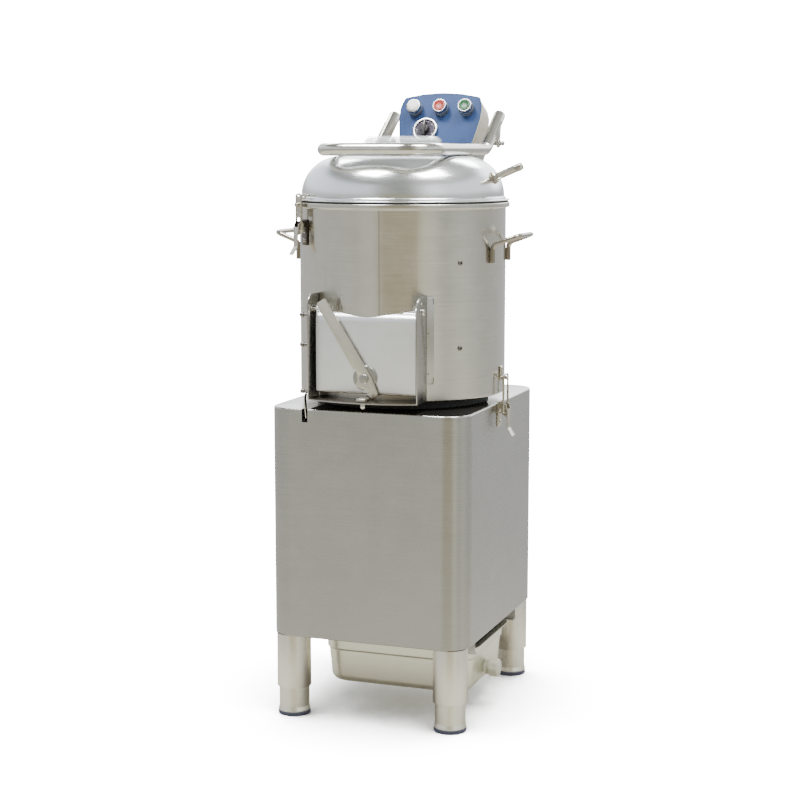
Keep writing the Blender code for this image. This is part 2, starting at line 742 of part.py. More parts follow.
def build_drum():
    inner = DRUM_RADIUS - DRUM_WALL
    profile = [(HUB_BORE, DRUM_BOTTOM), (DRUM_RADIUS - DRUM_EDGE, DRUM_BOTTOM),
               (DRUM_RADIUS, DRUM_BOTTOM + DRUM_EDGE), (DRUM_RADIUS, DRUM_TOP - RIM_HEIGHT - RIM_ROLL),
               (RIM_RADIUS - RIM_ROLL, DRUM_TOP - RIM_HEIGHT), (RIM_RADIUS, DRUM_TOP - RIM_HEIGHT + RIM_ROLL),
               (RIM_RADIUS, DRUM_TOP - RIM_ROLL), (RIM_RADIUS - RIM_ROLL, DRUM_TOP), (inner, DRUM_TOP),
               (inner, DRUM_BOTTOM + DRUM_FLOOR), (HUB_RING, DRUM_BOTTOM + DRUM_FLOOR),
               (HUB_RING, HUB_RING_TOP), (HUB_BORE, HUB_RING_TOP)]
    drum = add_object("drum_shell", revolve(profile, DRUM_STEPS), "brushed", place(0, DRUM_Y))
    mouth = (-MOUTH_HALF_WIDTH, MOUTH_HALF_WIDTH, -DRUM_RADIUS - CUT_OVERRUN, -DRUM_RADIUS / 2,
             MOUTH_BOTTOM, MOUTH_TOP)
    cut(drum, box(*mouth))
    cut(drum, disc(PIPE_RADIUS - PIPE_WALL, DRUM_BOTTOM - CUT_OVERRUN,
                   DRUM_BOTTOM + DRUM_FLOOR + CUT_OVERRUN, ROUND_STEPS), place(PIPE_X))

    outer = inner - LINER_GAP
    sleeve = [(outer - LINER_WALL, LINER_BOTTOM), (outer, LINER_BOTTOM),
              (outer, LINER_TOP), (outer - LINER_WALL, LINER_TOP)]
    liner = add_object("drum_liner", revolve(sleeve, DRUM_STEPS), "abrasive", place(0, DRUM_Y))
    cut(liner, box(*mouth[:4], MOUTH_BOTTOM, MOUTH_TOP))

    pipe_top = DRUM_BOTTOM - SEAT_GAP
    bore = PIPE_RADIUS - PIPE_WALL
    pipe = [(bore, PIPE_BOTTOM), (PIPE_RADIUS, PIPE_BOTTOM), (PIPE_RADIUS, CABINET_TOP + PIPE_WALL),
            (PIPE_FLANGE, CABINET_TOP + PIPE_WALL), (PIPE_FLANGE, pipe_top), (bore, pipe_top)]
    add_object("waste_pipe", revolve(pipe, ROUND_STEPS), "black", place(PIPE_X, DRUM_Y))


def build_abrasive_plate():
    top = PLATE_BOTTOM + PLATE_THICKNESS
    rim = PLATE_THICKNESS / 4
    crown = [(PLATE_RADIUS * share, top) for share in PLATE_RING_SHARES]
    bore = SHAFT_NECK_RADIUS + SEAT_GAP
    under = PLATE_BOTTOM + rim
    profile = [(bore, under), (PLATE_RADIUS - rim, under), (PLATE_RADIUS, under + rim),
               (PLATE_RADIUS, top - rim), (PLATE_RADIUS - rim, top), *crown,
               (HUB_RADIUS, top + CAP_NUT_HEIGHT / 2), (bore, top + CAP_NUT_HEIGHT / 2)]
    bm = revolve(profile, PLATE_STEPS)
    for vert in bm.verts:
        radius = math.hypot(vert.co.x, vert.co.y)
        for share, swell in zip(PLATE_RING_SHARES, PLATE_WAVE_SHARES):
            if abs(radius - PLATE_RADIUS * share) < SEAT_GAP and vert.co.z > under + rim:
                turn = math.atan2(vert.co.y, vert.co.x)
                wave = max(0.0, math.cos(PLATE_WAVES * turn)) ** 2
                vert.co.z += PLATE_WAVE_HEIGHT * swell * wave
    add_object("abrasive_plate", shape(bm), "abrasive", place(0, DRUM_Y))


def build_drive():
    shaft_top = PLATE_BOTTOM + PLATE_THICKNESS + CAP_NUT_HEIGHT
    shaft = [(0, SHAFT_BOTTOM), (SHAFT_RADIUS, SHAFT_BOTTOM), (SHAFT_RADIUS, SHAFT_NECK),
             (SHAFT_NECK_RADIUS, SHAFT_NECK + RUNNING_GAP),
             (SHAFT_NECK_RADIUS, shaft_top - CAP_NUT_HEIGHT / 2 + SEAT_GAP),
             (CAP_NUT_RADIUS, shaft_top - CAP_NUT_HEIGHT / 2 + SEAT_GAP),
             (CAP_NUT_RADIUS, shaft_top), (CAP_NUT_RADIUS / 2, shaft_top + CAP_NUT_HEIGHT / 2),
             (0, shaft_top + CAP_NUT_HEIGHT / 2)]
    add_object("drive_shaft", revolve(shaft, ROUND_STEPS), "polished", place(0, DRUM_Y))

    bore = SHAFT_RADIUS + RUNNING_GAP
    seat = CAP_FLOOR - SEAT_GAP
    housing = [(bore, HOUSING_BOTTOM), (HOUSING_RADIUS, HOUSING_BOTTOM),
               (HOUSING_RADIUS, seat - HOUSING_FLANGE * 2),
               (HOUSING_FLANGE_RADIUS, seat - HOUSING_FLANGE), (HOUSING_FLANGE_RADIUS, seat), (bore, seat)]
    add_object("bearing_housing", revolve(housing, ROUND_STEPS), "cast", place(0, DRUM_Y))

    half = PULLEY_HEIGHT / 2
    groove = GROOVE_HEIGHT / 2
    web = PULLEY_WEB / 2
    hub = PULLEY_HUB_RADIUS
    hub_top = half + PULLEY_HUB_HEIGHT
    shaft_hole = SHAFT_RADIUS + SEAT_GAP
    lip = DRIVEN_RADIUS + PULLEY_LIP
    inner = DRIVEN_RADIUS - PULLEY_RIM_WALL
    large = [(shaft_hole, -half), (hub, -half), (hub, -web), (inner, -web), (inner, -half), (lip, -half),
             (lip, -groove), (DRIVEN_RADIUS, -groove * 0.9), (DRIVEN_RADIUS, groove * 0.9), (lip, groove),
             (lip, half), (inner, half), (inner, web), (hub, web), (hub, hub_top), (shaft_hole, hub_top)]
    add_object("driven_pulley", revolve(large, ROUND_STEPS), "cast", place(0, DRUM_Y, BELT_Z))

    lip = DRIVING_RADIUS + PULLEY_LIP
    shaft_end = MOTOR_BOTTOM + MOTOR_SHAFT_DEPTH - BELT_Z - RUNNING_GAP
    small = [(0, -half), (lip, -half), (lip, -groove), (DRIVING_RADIUS, -groove * 0.9),
             (DRIVING_RADIUS, groove * 0.9), (lip, groove), (lip, half), (MOTOR_SHAFT_RADIUS, half),
             (MOTOR_SHAFT_RADIUS, shaft_end), (0, shaft_end)]
    add_object("motor_pulley", revolve(small, ROUND_STEPS), "cast", place(0, MOTOR_Y, BELT_Z))

    reach = MOTOR_Y - DRUM_Y
    lean = math.asin((DRIVEN_RADIUS - DRIVING_RADIUS) / reach)
    loops = []
    for extra in (SEAT_GAP, BELT_THICKNESS):
        loop = []
        for centre_y, radius, start, end, steps in (
                (0, DRIVEN_RADIUS, math.pi - lean, 2 * math.pi + lean, BELT_STEPS * 2),
                (reach, DRIVING_RADIUS, lean, math.pi - lean, BELT_STEPS)):
            clear = (radius + SEAT_GAP) / math.cos((end - start) / steps / 2) + extra
            loop += arc((0, centre_y), clear, start, end, steps)
        loops.append(loop)
    low = BELT_Z - BELT_HEIGHT / 2
    high = BELT_Z + BELT_HEIGHT / 2
    belt = add_object("drive_belt", prism(loops[1], low, high), "rubber", place(0, DRUM_Y))
    cut(belt, prism(loops[0], low - CUT_OVERRUN, high + CUT_OVERRUN))

    top = CAP_FLOOR - SEAT_GAP
    socket = MOTOR_SHAFT_RADIUS + RUNNING_GAP
    core = [(0, MOTOR_BOTTOM + MOTOR_SHAFT_DEPTH), (socket, MOTOR_BOTTOM + MOTOR_SHAFT_DEPTH),
            (socket, MOTOR_BOTTOM), (MOTOR_CORE, MOTOR_BOTTOM), (MOTOR_RADIUS, MOTOR_BOTTOM + MOTOR_BELL / 3),
            (MOTOR_RADIUS, MOTOR_BOTTOM + MOTOR_BELL), (MOTOR_CORE, MOTOR_BOTTOM + MOTOR_BELL),
            (MOTOR_CORE, top - MOTOR_BELL), (MOTOR_RADIUS, top - MOTOR_BELL),
            (MOTOR_RADIUS, top - MOTOR_FLANGE), (MOTOR_FLANGE_RADIUS, top - MOTOR_FLANGE),
            (MOTOR_FLANGE_RADIUS, top), (0, top)]
    motor = add_object("motor", revolve(core, LEG_STEPS), "cast", place(0, MOTOR_Y))
    fins = []
    pitch = 2 * math.pi / MOTOR_FINS
    for k in range(MOTOR_FINS):
        for radius, share in ((MOTOR_FIN_ROOT, 0.0), (MOTOR_FIN_ROOT, 0.5), (MOTOR_RADIUS, 0.6),
                              (MOTOR_RADIUS, 0.9)):
            turn = (k + share) * pitch
            fins.append(((radius - RUNNING_GAP) * math.cos(turn), (radius - RUNNING_GAP) * math.sin(turn)))
    unite(motor, prism(fins, MOTOR_BOTTOM + MOTOR_BELL - RUNNING_GAP, top - MOTOR_BELL + RUNNING_GAP))


def build_chute():
    inner = CHUTE_HALF_WIDTH
    outer = inner + CHUTE_SHEET
    back = drum_depth(inner) - RUNNING_GAP
    side = filleted([(back, CHUTE_BOTTOM, 0), (CHUTE_FRONT, CHUTE_BOTTOM, 0),
                     (CHUTE_FRONT, CHUTE_TOP, 0), (back, CHUTE_TOP, 0)],
                    [0, 0, CHUTE_NOSE, 0], CORNER_STEPS, closed=True)
    chute = add_object("outlet_chute", side_prism(side, inner, outer), "satin")
    unite(chute, side_prism(side, -outer, -inner))
    reach = math.hypot(inner, CHUTE_FRONT - DRUM_Y)
    spread = math.atan2(inner + SEAT_GAP, DRUM_Y - CHUTE_FRONT)
    down = -math.pi / 2
    floor = arc((0, DRUM_Y), reach, down - spread, down + spread, CORNER_STEPS * 2)
    throat = DRUM_RADIUS + SEAT_GAP
    narrow = math.asin((inner + SEAT_GAP) / throat)
    floor += arc((0, DRUM_Y), throat, down + narrow, down - narrow, CORNER_STEPS * 2)
    unite(chute, prism(floor, CHUTE_BOTTOM, CHUTE_BOTTOM + CHUTE_SHEET))
    start = math.asin((inner + CHUTE_SHEET / 2) / throat)
    end = math.asin(outer / throat) + CHUTE_FLANGE_ANGLE
    for sign in (-1, 1):
        strip = arc((0, DRUM_Y), throat, down + sign * start, down + sign * end, CORNER_STEPS // 2)
        strip += arc((0, DRUM_Y), throat + CHUTE_SHEET, down + sign * end, down + sign * start,
                     CORNER_STEPS // 2)
        unite(chute, prism(strip, CHUTE_FLANGE_BOTTOM, CHUTE_TOP - CHUTE_SHEET))
    bolt_hole = DOOR_BOLT_RADIUS + SEAT_GAP
    cut(chute, along_x(disc(bolt_hole, -outer - CUT_OVERRUN, outer + CUT_OVERRUN, ROUND_STEPS)),
        place(0, DOOR_AXIS_Y, DOOR_AXIS_Z))
    catch_y = CATCH_FRONT + CATCH_DEPTH / 2
    cut(chute, disc(CATCH_BOLT_RADIUS + SEAT_GAP, CHUTE_BOTTOM - CUT_OVERRUN, CHUTE_BOTTOM + CUT_OVERRUN,
                    ROUND_STEPS), place(CATCH_X, catch_y))

    block_low = CHUTE_BOTTOM + CHUTE_SHEET + SEAT_GAP
    catch = add_object("door_catch", box(-CATCH_WIDTH / 2, CATCH_WIDTH / 2, -CATCH_DEPTH / 2,
                                         CATCH_DEPTH / 2, block_low, block_low + CATCH_HEIGHT),
                       "polished", place(CATCH_X, catch_y))
    tip = [(0, CATCH_BOLT_TIP), (CATCH_BOLT_RADIUS / 2, CATCH_BOLT_TIP),
           (CATCH_BOLT_RADIUS, CATCH_BOLT_TIP + CATCH_BOLT_RADIUS),
           (CATCH_BOLT_RADIUS, block_low + CATCH_HEIGHT / 2), (0, block_low + CATCH_HEIGHT / 2)]
    unite(catch, revolve(tip, ROUND_STEPS // 2))
    for sign, side_name in ((-1, "left"), (1, "right")):
        head = outer + SEAT_GAP
        shank_end = DOOR_HALF_WIDTH - DOOR_SHEET
        bolt = [(0, shank_end), (DOOR_BOLT_RADIUS, shank_end), (DOOR_BOLT_RADIUS, head),
                (DOOR_BOLT_HEAD, head), (DOOR_BOLT_HEAD, head + DOOR_BOLT_HEAD_HEIGHT / 2),
                (DOOR_BOLT_HEAD / 2, head + DOOR_BOLT_HEAD_HEIGHT), (0, head + DOOR_BOLT_HEAD_HEIGHT)]
        turn = turned("Z", 0 if sign > 0 else math.pi)
        add_object(f"door_bolt_{side_name}", along_x(revolve(bolt, ROUND_STEPS)), "polished",
                   place(0, DOOR_AXIS_Y, DOOR_AXIS_Z) @ turn)


def build_door():
    """The door's origin is on its hinge axis, in the middle of the machine."""
    face = DOOR_FACE - DOOR_AXIS_Y
    low = DOOR_BOTTOM - DOOR_AXIS_Z
    bend = DOOR_BEND - DOOR_AXIS_Z
    back = face + DOOR_DEPTH

    def pan(inset, extra):
        """The door's pressing: an upright face that leans back at the top, with soft side edges."""
        radius = DOOR_BEND_RADIUS - inset
        corner = DOOR_CORNER - inset / 2
        turn = math.pi / 2 - DOOR_SLOPE
        crown = arc((face + DOOR_BEND_RADIUS, bend), radius, math.pi, math.pi - turn, CORNER_STEPS)
        run = back + extra - crown[-1][0]
        crest = (back + extra, crown[-1][1] + run * math.tan(DOOR_SLOPE))
        foot = arc((face + inset + corner, low + inset + corner), corner, math.pi * 3 / 2, math.pi,
                   CORNER_STEPS // 2)
        outline = [(back + extra, low + inset), *foot, *crown, crest]
        half = DOOR_HALF_WIDTH - inset
        bm = side_prism(outline, -half, half)
        ends = [edge for edge in bm.edges if edge.verts[0].co.x == edge.verts[1].co.x]
        soft = [edge for edge in ends
                if any(vert.co.y < back + extra - SEAT_GAP for vert in edge.verts)
                and any(vert.co.z > low + inset + SEAT_GAP for vert in edge.verts)]
        bmesh.ops.bevel(bm, geom=soft, offset=DOOR_EDGE - inset / 2, segments=BEND_STEPS, profile=0.5,
                        affect="EDGES", clamp_overlap=True)
        return shape(bm)

    hinge = place(0, DOOR_AXIS_Y, DOOR_AXIS_Z)
    door = add_object("chute_door", pan(0, 0), "satin", hinge)
    for sign in (-1, 1):
        near = sign * (DOOR_HALF_WIDTH - DOOR_SHEET)
        far = sign * DOOR_HALF_WIDTH
        ear = arc((0, 0), DOOR_EAR_RADIUS, 0, math.pi, CORNER_STEPS)
        ear += [(-DOOR_EAR_RADIUS, bend), (DOOR_EAR_RADIUS, bend)]
        unite(door, side_prism(ear, min(near, far), max(near, far)))
    cut(door, pan(DOOR_SHEET, CUT_OVERRUN))
    cut(door, disc(DRUM_RADIUS + DOOR_DRUM_GAP, low - CUT_OVERRUN, DOOR_EAR_RADIUS + CUT_OVERRUN * 2,
                   DRUM_STEPS), place(0, DRUM_Y - DOOR_AXIS_Y))
    cut(door, along_x(disc(DOOR_BOLT_RADIUS + RUNNING_GAP, -DOOR_HALF_WIDTH - CUT_OVERRUN,
                           DOOR_HALF_WIDTH + CUT_OVERRUN, ROUND_STEPS)))

    slot = BOSS_HEIGHT + LEVER_SHEET + SEAT_GAP * 2
    pin_top = slot + LEVER_PIN_HEAD_HEIGHT
    pin = [(0, SEAT_GAP), (BOSS_RADIUS, SEAT_GAP), (BOSS_RADIUS, BOSS_HEIGHT),
           (LEVER_PIN_RADIUS, BOSS_HEIGHT), (LEVER_PIN_RADIUS, slot), (LEVER_PIN_HEAD, slot),
           (LEVER_PIN_HEAD, pin_top), (0, pin_top)]
    local = place(0, face, LEVER_Z - DOOR_AXIS_Z)
    add_object("lever_boss", along_y(revolve(pin, CONTROL_STEPS)), "satin", local, door)

    along = Vector((-math.sin(LEVER_TILT), math.cos(LEVER_TILT), 0))
    across = Vector((math.cos(LEVER_TILT), math.sin(LEVER_TILT), 0))
    half = across * LEVER_WIDTH / 2
    end = along * LEVER_LENGTH
    outline = [end - half, end + half]
    outline += [Vector((*point, 0)) for point in (LEVER_HIP, *LEVER_TAIL, LEVER_EAR, *LEVER_NECK)]
    outline.append(along * LEVER_SHOULDER - half)
    corner = LEVER_WIDTH / 5
    soft = filleted(outline, [corner, corner, 0, corner, corner / 2, corner / 2, 0, 0, 0, 0, 0],
                    BEND_STEPS, closed=True)
    bm = front_prism([(point.x, point.y) for point in soft], -LEVER_SHEET, 0)
    lever_y = face - BOSS_HEIGHT - SEAT_GAP
    lever = add_object("door_lever", bm, "polished", place(0, lever_y, LEVER_Z - DOOR_AXIS_Z), door)
    cut(lever, along_y(disc(LEVER_PIN_RADIUS + RUNNING_GAP, -CUT_OVERRUN, CUT_OVERRUN, ROUND_STEPS)))


def build_tongue():
    """A thin springy blade under the chute's left side that drops into the cabinet's slot."""
    start = -CHUTE_HALF_WIDTH - CHUTE_SHEET - SEAT_GAP
    lead = TONGUE_LENGTH
    centre = [Vector((start - TONGUE_SHEET / 2, TONGUE_TOP, 0)),
              Vector((start - TONGUE_SHEET / 2, TONGUE_TOP - lead / 5, 0)),
              Vector((start - TONGUE_SHEET / 2 - TONGUE_BULGE, TONGUE_TOP - lead / 2, 0)),
              Vector((start - TONGUE_SHEET / 2 - TONGUE_SWAY, TONGUE_TOP - lead, 0))]
    path = filleted(centre, lead / 3, CORNER_STEPS)
    half = TONGUE_SHEET / 2
    left = [(point.x - half, point.y) for point in path]
    right = [(point.x + half, point.y) for point in reversed(path)]
    front = CHUTE_FRONT + TONGUE_SETBACK
    add_object("interlock_tongue", front_prism(left + right, front, front + TONGUE_WIDTH), "polished")


def dome_point(angle, inset=0.0):
    """A point (radius, height) on the dome's shoulder, a quarter of an ellipse."""
    flat = DOME_FLAT_RADIUS
    wide = DOME_RADIUS - flat - inset
    tall = DOME_HEIGHT - inset
    return flat + wide * math.cos(angle), dome_foot() + tall * math.sin(angle)


def flange_top():
    return DRUM_TOP + SEAT_GAP + SEAL_HEIGHT + SEAT_GAP + DOME_FLANGE


def dome_foot():
    return flange_top() - DOME_FLANGE + DOME_BAND


def dome_top():
    return dome_foot() + DOME_HEIGHT


def build_dome():
    seal_low = DRUM_TOP + SEAT_GAP
    seal_high = seal_low + SEAL_HEIGHT
    seal_in = DRUM_RADIUS - DRUM_WALL
    seal = [(seal_in, seal_low), (seal_in + SEAL_WIDTH, seal_low), (seal_in + SEAL_WIDTH, seal_high),
            (seal_in, seal_high)]
    add_object("dome_seal", revolve(seal, PLATE_STEPS), "rubber", place(0, DRUM_Y))

    low = seal_high + SEAT_GAP
    quarter = math.pi / 2
    outside = [dome_point(quarter * k / DOME_ARC_STEPS) for k in range(1, DOME_ARC_STEPS + 1)]
    coarse = DOME_ARC_STEPS // 2
    inside = [dome_point(quarter * k / coarse, DOME_SHEET) for k in range(coarse, 0, -1)]
    wall = DOME_RADIUS
    inner = wall - DOME_SHEET
    mouth = DOME_MOUTH_RADIUS
    crown = DOME_BEAD + wall
    profile = [(inner, low), (RIM_RADIUS, low), (RIM_RADIUS, flange_top()), (crown, flange_top()),
               (crown, (flange_top() + dome_foot()) / 2), (wall, dome_foot()), *outside, (mouth, dome_top()),
               (mouth, dome_top() - DOME_MOUTH_LIP), (mouth + DOME_SHEET, dome_top() - DOME_MOUTH_LIP),
               (mouth + DOME_SHEET, dome_top() - DOME_SHEET), *inside]
    dome = add_object("dome", revolve(profile, DRUM_STEPS), "satin", place(0, DRUM_Y))

    radius, height = dome_point(INLET_ARC, INLET_INSET)
    slope = math.atan2(math.sin(INLET_ARC) / DOME_HEIGHT,
                       math.cos(INLET_ARC) / (DOME_RADIUS - DOME_FLAT_RADIUS)) - INLET_DROOP
    tip = INLET_LENGTH
    stem = INLET_NUT_HEIGHT / 2
    pipe = [(0, stem), (INLET_RADIUS, stem), (INLET_RADIUS, tip - INLET_THREAD),
            (INLET_THREAD_RADIUS, tip - INLET_THREAD), (INLET_THREAD_RADIUS, tip - SEAT_GAP),
            (INLET_RADIUS, tip), (0, tip)]
    frame = (place(0, DRUM_Y) @ turned("Z", INLET_ANGLE) @ place(radius, 0, height)
             @ turned("Y", math.pi / 2 - slope) @ place(0, 0, INLET_LIFT))
    inlet = add_object("water_inlet", revolve(pipe, ROUND_STEPS), "polished", frame)
    unite(inlet, disc(INLET_NUT_RADIUS, 0, INLET_NUT_HEIGHT, HEX_SIDES))
    cut(inlet, disc(INLET_BORE, -CUT_OVERRUN, tip + CUT_OVERRUN, ROUND_STEPS))
    cut(dome, disc(INLET_BORE, -CUT_OVERRUN, CUT_OVERRUN, ROUND_STEPS), place(0, -DRUM_Y) @ frame)


def tube_level():
    return dome_top() + SEAT_GAP + TUBE_RADIUS


def build_lid():
    """The lid's origin is on its hinge axis, in the middle of the machine."""
    level = tube_level() - LID_PIN_Z
    bend = LID_BEND_Y - LID_PIN_Y
    rise = LID_ARM_LENGTH * math.sin(LID_ARM_ANGLE)
    run = LID_ARM_LENGTH * math.cos(LID_ARM_ANGLE)
    front = LID_FRONT_Y - LID_PIN_Y
    side = LID_SIDE_X
    route = [(-side, bend + run, level + rise), (-side, bend, level), (-side, front, level),
             (side, front, level), (side, bend, level), (side, bend + run, level + rise)]
    radii = [0, LID_BEND, LID_CORNER, LID_CORNER, LID_BEND, 0]
    hinge = place(0, LID_PIN_Y, LID_PIN_Z)
    path = filleted(route, radii, BEND_STEPS * 2)
    frame = add_object("lid_frame", tube(path, TUBE_RADIUS, ROUND_STEPS), "polished", hinge)
    plate_low = dome_top() + SEAT_GAP * 2 + COVER_SHEET - LID_PIN_Z
    centre = DRUM_Y - LID_PIN_Y
    for sign in (-1, 1):
        near = sign * STRAP_REACH
        far = sign * side
        unite(frame, box(min(near, far), max(near, far), centre - STRAP_WIDTH / 2, centre + STRAP_WIDTH / 2,
                         plate_low, plate_low + STRAP_THICKNESS))

    slope = math.tan(LID_ARM_ANGLE)
    lug_top = level - bend * slope + LUG_RISE
    lug = arc((0, 0), LUG_RADIUS, math.pi, 2 * math.pi, CORNER_STEPS)
    lug += [(LUG_SPREAD, lug_top + LUG_SPREAD * slope), (-LUG_SPREAD, lug_top - LUG_SPREAD * slope)]
    for sign in (-1, 1):
        near, far = sorted((sign * LUG_X, sign * (LUG_X + LUG_SHEET)))
        unite(frame, side_prism(lug, near, far))
    cut(frame, along_x(disc(LID_PIN_RADIUS + RUNNING_GAP, -side - TUBE_RADIUS * 2, side + TUBE_RADIUS * 2,
                            ROUND_STEPS)))

    low = dome_top() + SEAT_GAP
    crown = low + COVER_HEIGHT
    sheet = COVER_SHEET
    cover = [(0, crown - sheet), (COVER_CROWN_RADIUS - sheet / 2, crown - sheet),
             (COVER_RISE_RADIUS - sheet, crown - sheet * 3), (COVER_RISE_RADIUS - sheet, low),
             (COVER_RADIUS, low), (COVER_RADIUS, low + sheet), (COVER_RISE_RADIUS, low + sheet),
             (COVER_RISE_RADIUS, crown - sheet * 2), (COVER_CROWN_RADIUS, crown), (0, crown)]
    add_object("lid_cover", revolve(cover, COVER_STEPS), "clear",
               place(0, centre, -LID_PIN_Z), frame)

    build_hinge_bracket()


def build_hinge_bracket():
    """Two ears on the dome's shoulder that carry the lid's pins, joined by a bar behind the dome."""
    inner = EAR_X
    outer = inner + EAR_SHEET
    first, last = EAR_ARC
    saddle = []
    for k in range(CORNER_STEPS + 1):
        radius, height = dome_point(first + (last - first) * k / CORNER_STEPS)
        depth = math.sqrt(radius ** 2 - inner ** 2)
        saddle.append((DRUM_Y + depth + RUNNING_GAP, height + RUNNING_GAP))
    round_top = arc((LID_PIN_Y, LID_PIN_Z), EAR_RADIUS, math.pi * 0.85, -math.pi * 0.15, CORNER_STEPS)
    ear = [*saddle, *round_top, EAR_HEEL]
    bracket = add_object("hinge_bracket", box(-inner - EAR_SHEET / 2, inner + EAR_SHEET / 2, BRIDGE_FACE,
                                              BRIDGE_FACE + EAR_SHEET, BRIDGE_BOTTOM, BRIDGE_TOP), "brushed")
    for sign in (-1, 1):
        near, far = sorted((sign * inner, sign * outer))
        unite(bracket, side_prism(ear, near, far))
        root, end = sorted((sign * (inner + EAR_SHEET / 2), sign * PIN_END))
        unite(bracket, along_x(disc(LID_PIN_RADIUS, root, end, ROUND_STEPS)), place(0, LID_PIN_Y, LID_PIN_Z))


def box_frame():
    """The fascia's frame: X across, Y up the slope, Z out of the face."""
    return place(*BOX_CENTRE) @ turned("X", math.pi / 2 - BOX_TILT)


def box_outline(grow=0.0):
    foot = BOX_FOOT_HALF + grow
    waist = BOX_WAIST_HALF + grow
    shoulder = BOX_SHOULDER_HALF + grow
    low = BOX_BOTTOM - grow
    rise = BOX_CREST - BOX_SHOULDER
    crest_radius = (shoulder ** 2 + rise ** 2) / (2 * rise)
    spread = math.asin(shoulder / crest_radius)
    upward = math.pi / 2
    crest = arc((0, BOX_CREST + grow - crest_radius), crest_radius, upward - spread * 0.85,
                upward + spread * 0.85, CORNER_STEPS)
    right = [(foot - BOX_CORNER, low), (foot, low + BOX_CORNER), (BOX_HIP_HALF + grow, BOX_HIP),
             (waist, BOX_WAIST[0]), (waist, BOX_WAIST[1]), (shoulder, BOX_SHOULDER - BOX_CORNER / 2)]
    left = [(-x, y) for x, y in reversed(right)]
    return right + crest + left


def build_control_box():
    frame = box_frame()
    case = add_object("control_box", prism(box_outline(), -BOX_DEPTH, 0), "box_grey", frame)
    cut(case, prism(box_outline(-BOX_WALL), -BOX_DEPTH + BOX_WALL, CUT_OVERRUN))

    low = SEAT_GAP
    high = low + FASCIA_SHEET
    fascia = add_object("control_panel", prism(box_outline(FASCIA_LIP), low, high), "blue", frame)
    for spot in (LAMP_PLACE, STOP_PLACE, START_PLACE):
        cut(fascia, disc(NECK_RADIUS + SEAT_GAP, -CUT_OVERRUN, high + CUT_OVERRUN, CONTROL_STEPS),
            place(*spot))
    cut(fascia, disc(TIMER_BORE + RUNNING_GAP * 2, -CUT_OVERRUN, high + CUT_OVERRUN, ROUND_STEPS // 2),
        place(*TIMER_PLACE))

    seat = high + SEAT_GAP
    top = seat + BEZEL_HEIGHT
    bezel = [(0, seat - NECK_DEPTH), (NECK_RADIUS, seat - NECK_DEPTH), (NECK_RADIUS, seat),
             (BEZEL_RADIUS, seat), (BEZEL_RADIUS, top - BEZEL_CHAMFER), (BEZEL_RADIUS - BEZEL_CHAMFER, top),
             (BEZEL_BORE, top), (BEZEL_BORE, seat + BEZEL_FLOOR), (0, seat + BEZEL_FLOOR)]
    rest = seat + BEZEL_FLOOR + BUTTON_TRAVEL + SEAT_GAP
    proud = top + BUTTON_PROUD
    button = [(0, rest), (BUTTON_RADIUS, rest), (BUTTON_RADIUS, proud - BUTTON_CROWN / 2),
              (BUTTON_RADIUS - BUTTON_CROWN, proud), (BUTTON_RADIUS / 2, proud - BUTTON_CROWN / 3),
              (0, proud - BUTTON_CROWN / 2)]
    for name, spot, colour in (("stop", STOP_PLACE, "red"), ("start", START_PLACE, "green")):
        at = frame @ place(*spot)
        add_object(f"{name}_bezel", revolve(bezel, CONTROL_STEPS), "polished", at)
        add_object(f"{name}_button", revolve(button, CONTROL_STEPS), colour, at)
    lamp = bezel[:5] + [(BEZEL_RADIUS - BEZEL_CHAMFER, top), (BEZEL_RADIUS - BEZEL_CHAMFER, top + SEAT_GAP),
                        (BEZEL_RADIUS / 2, top + LENS_HEIGHT), (0, top + LENS_HEIGHT)]
    add_object("pilot_lamp", revolve(lamp, CONTROL_STEPS), "white", frame @ place(*LAMP_PLACE))

    at = frame @ place(*TIMER_PLACE)
    face = seat + TIMER_HEIGHT - TIMER_FACE_SINK
    ring = [(TIMER_BORE, seat), (TIMER_RADIUS, seat), (TIMER_RADIUS - BEZEL_CHAMFER, seat + TIMER_HEIGHT),
            (TIMER_FACE_RADIUS, seat + TIMER_HEIGHT), (TIMER_FACE_RADIUS, face), (TIMER_BORE, face)]
    add_object("timer_dial", revolve(ring, CONTROL_STEPS), "dial", at)
    base = face + SEAT_GAP
    knob_profile = [(0, seat - NECK_DEPTH / 2), (KNOB_STEM, seat - NECK_DEPTH / 2), (KNOB_STEM, base),
                    (KNOB_RADIUS, base), (KNOB_RADIUS * 0.9, base + KNOB_HEIGHT), (0, base + KNOB_HEIGHT)]
    knob = add_object("timer_knob", revolve(knob_profile, CONTROL_STEPS), "black", at)
    half = POINTER_WIDTH / 2
    reach = POINTER_LENGTH / 2
    pointer = [(-half, -reach * 0.9), (half, -reach * 0.9), (half * 0.8, reach * 0.8), (0, reach),
               (-half * 0.8, reach * 0.8)]
    unite(knob, prism(pointer, base, base + POINTER_HEIGHT + KNOB_HEIGHT / 2))


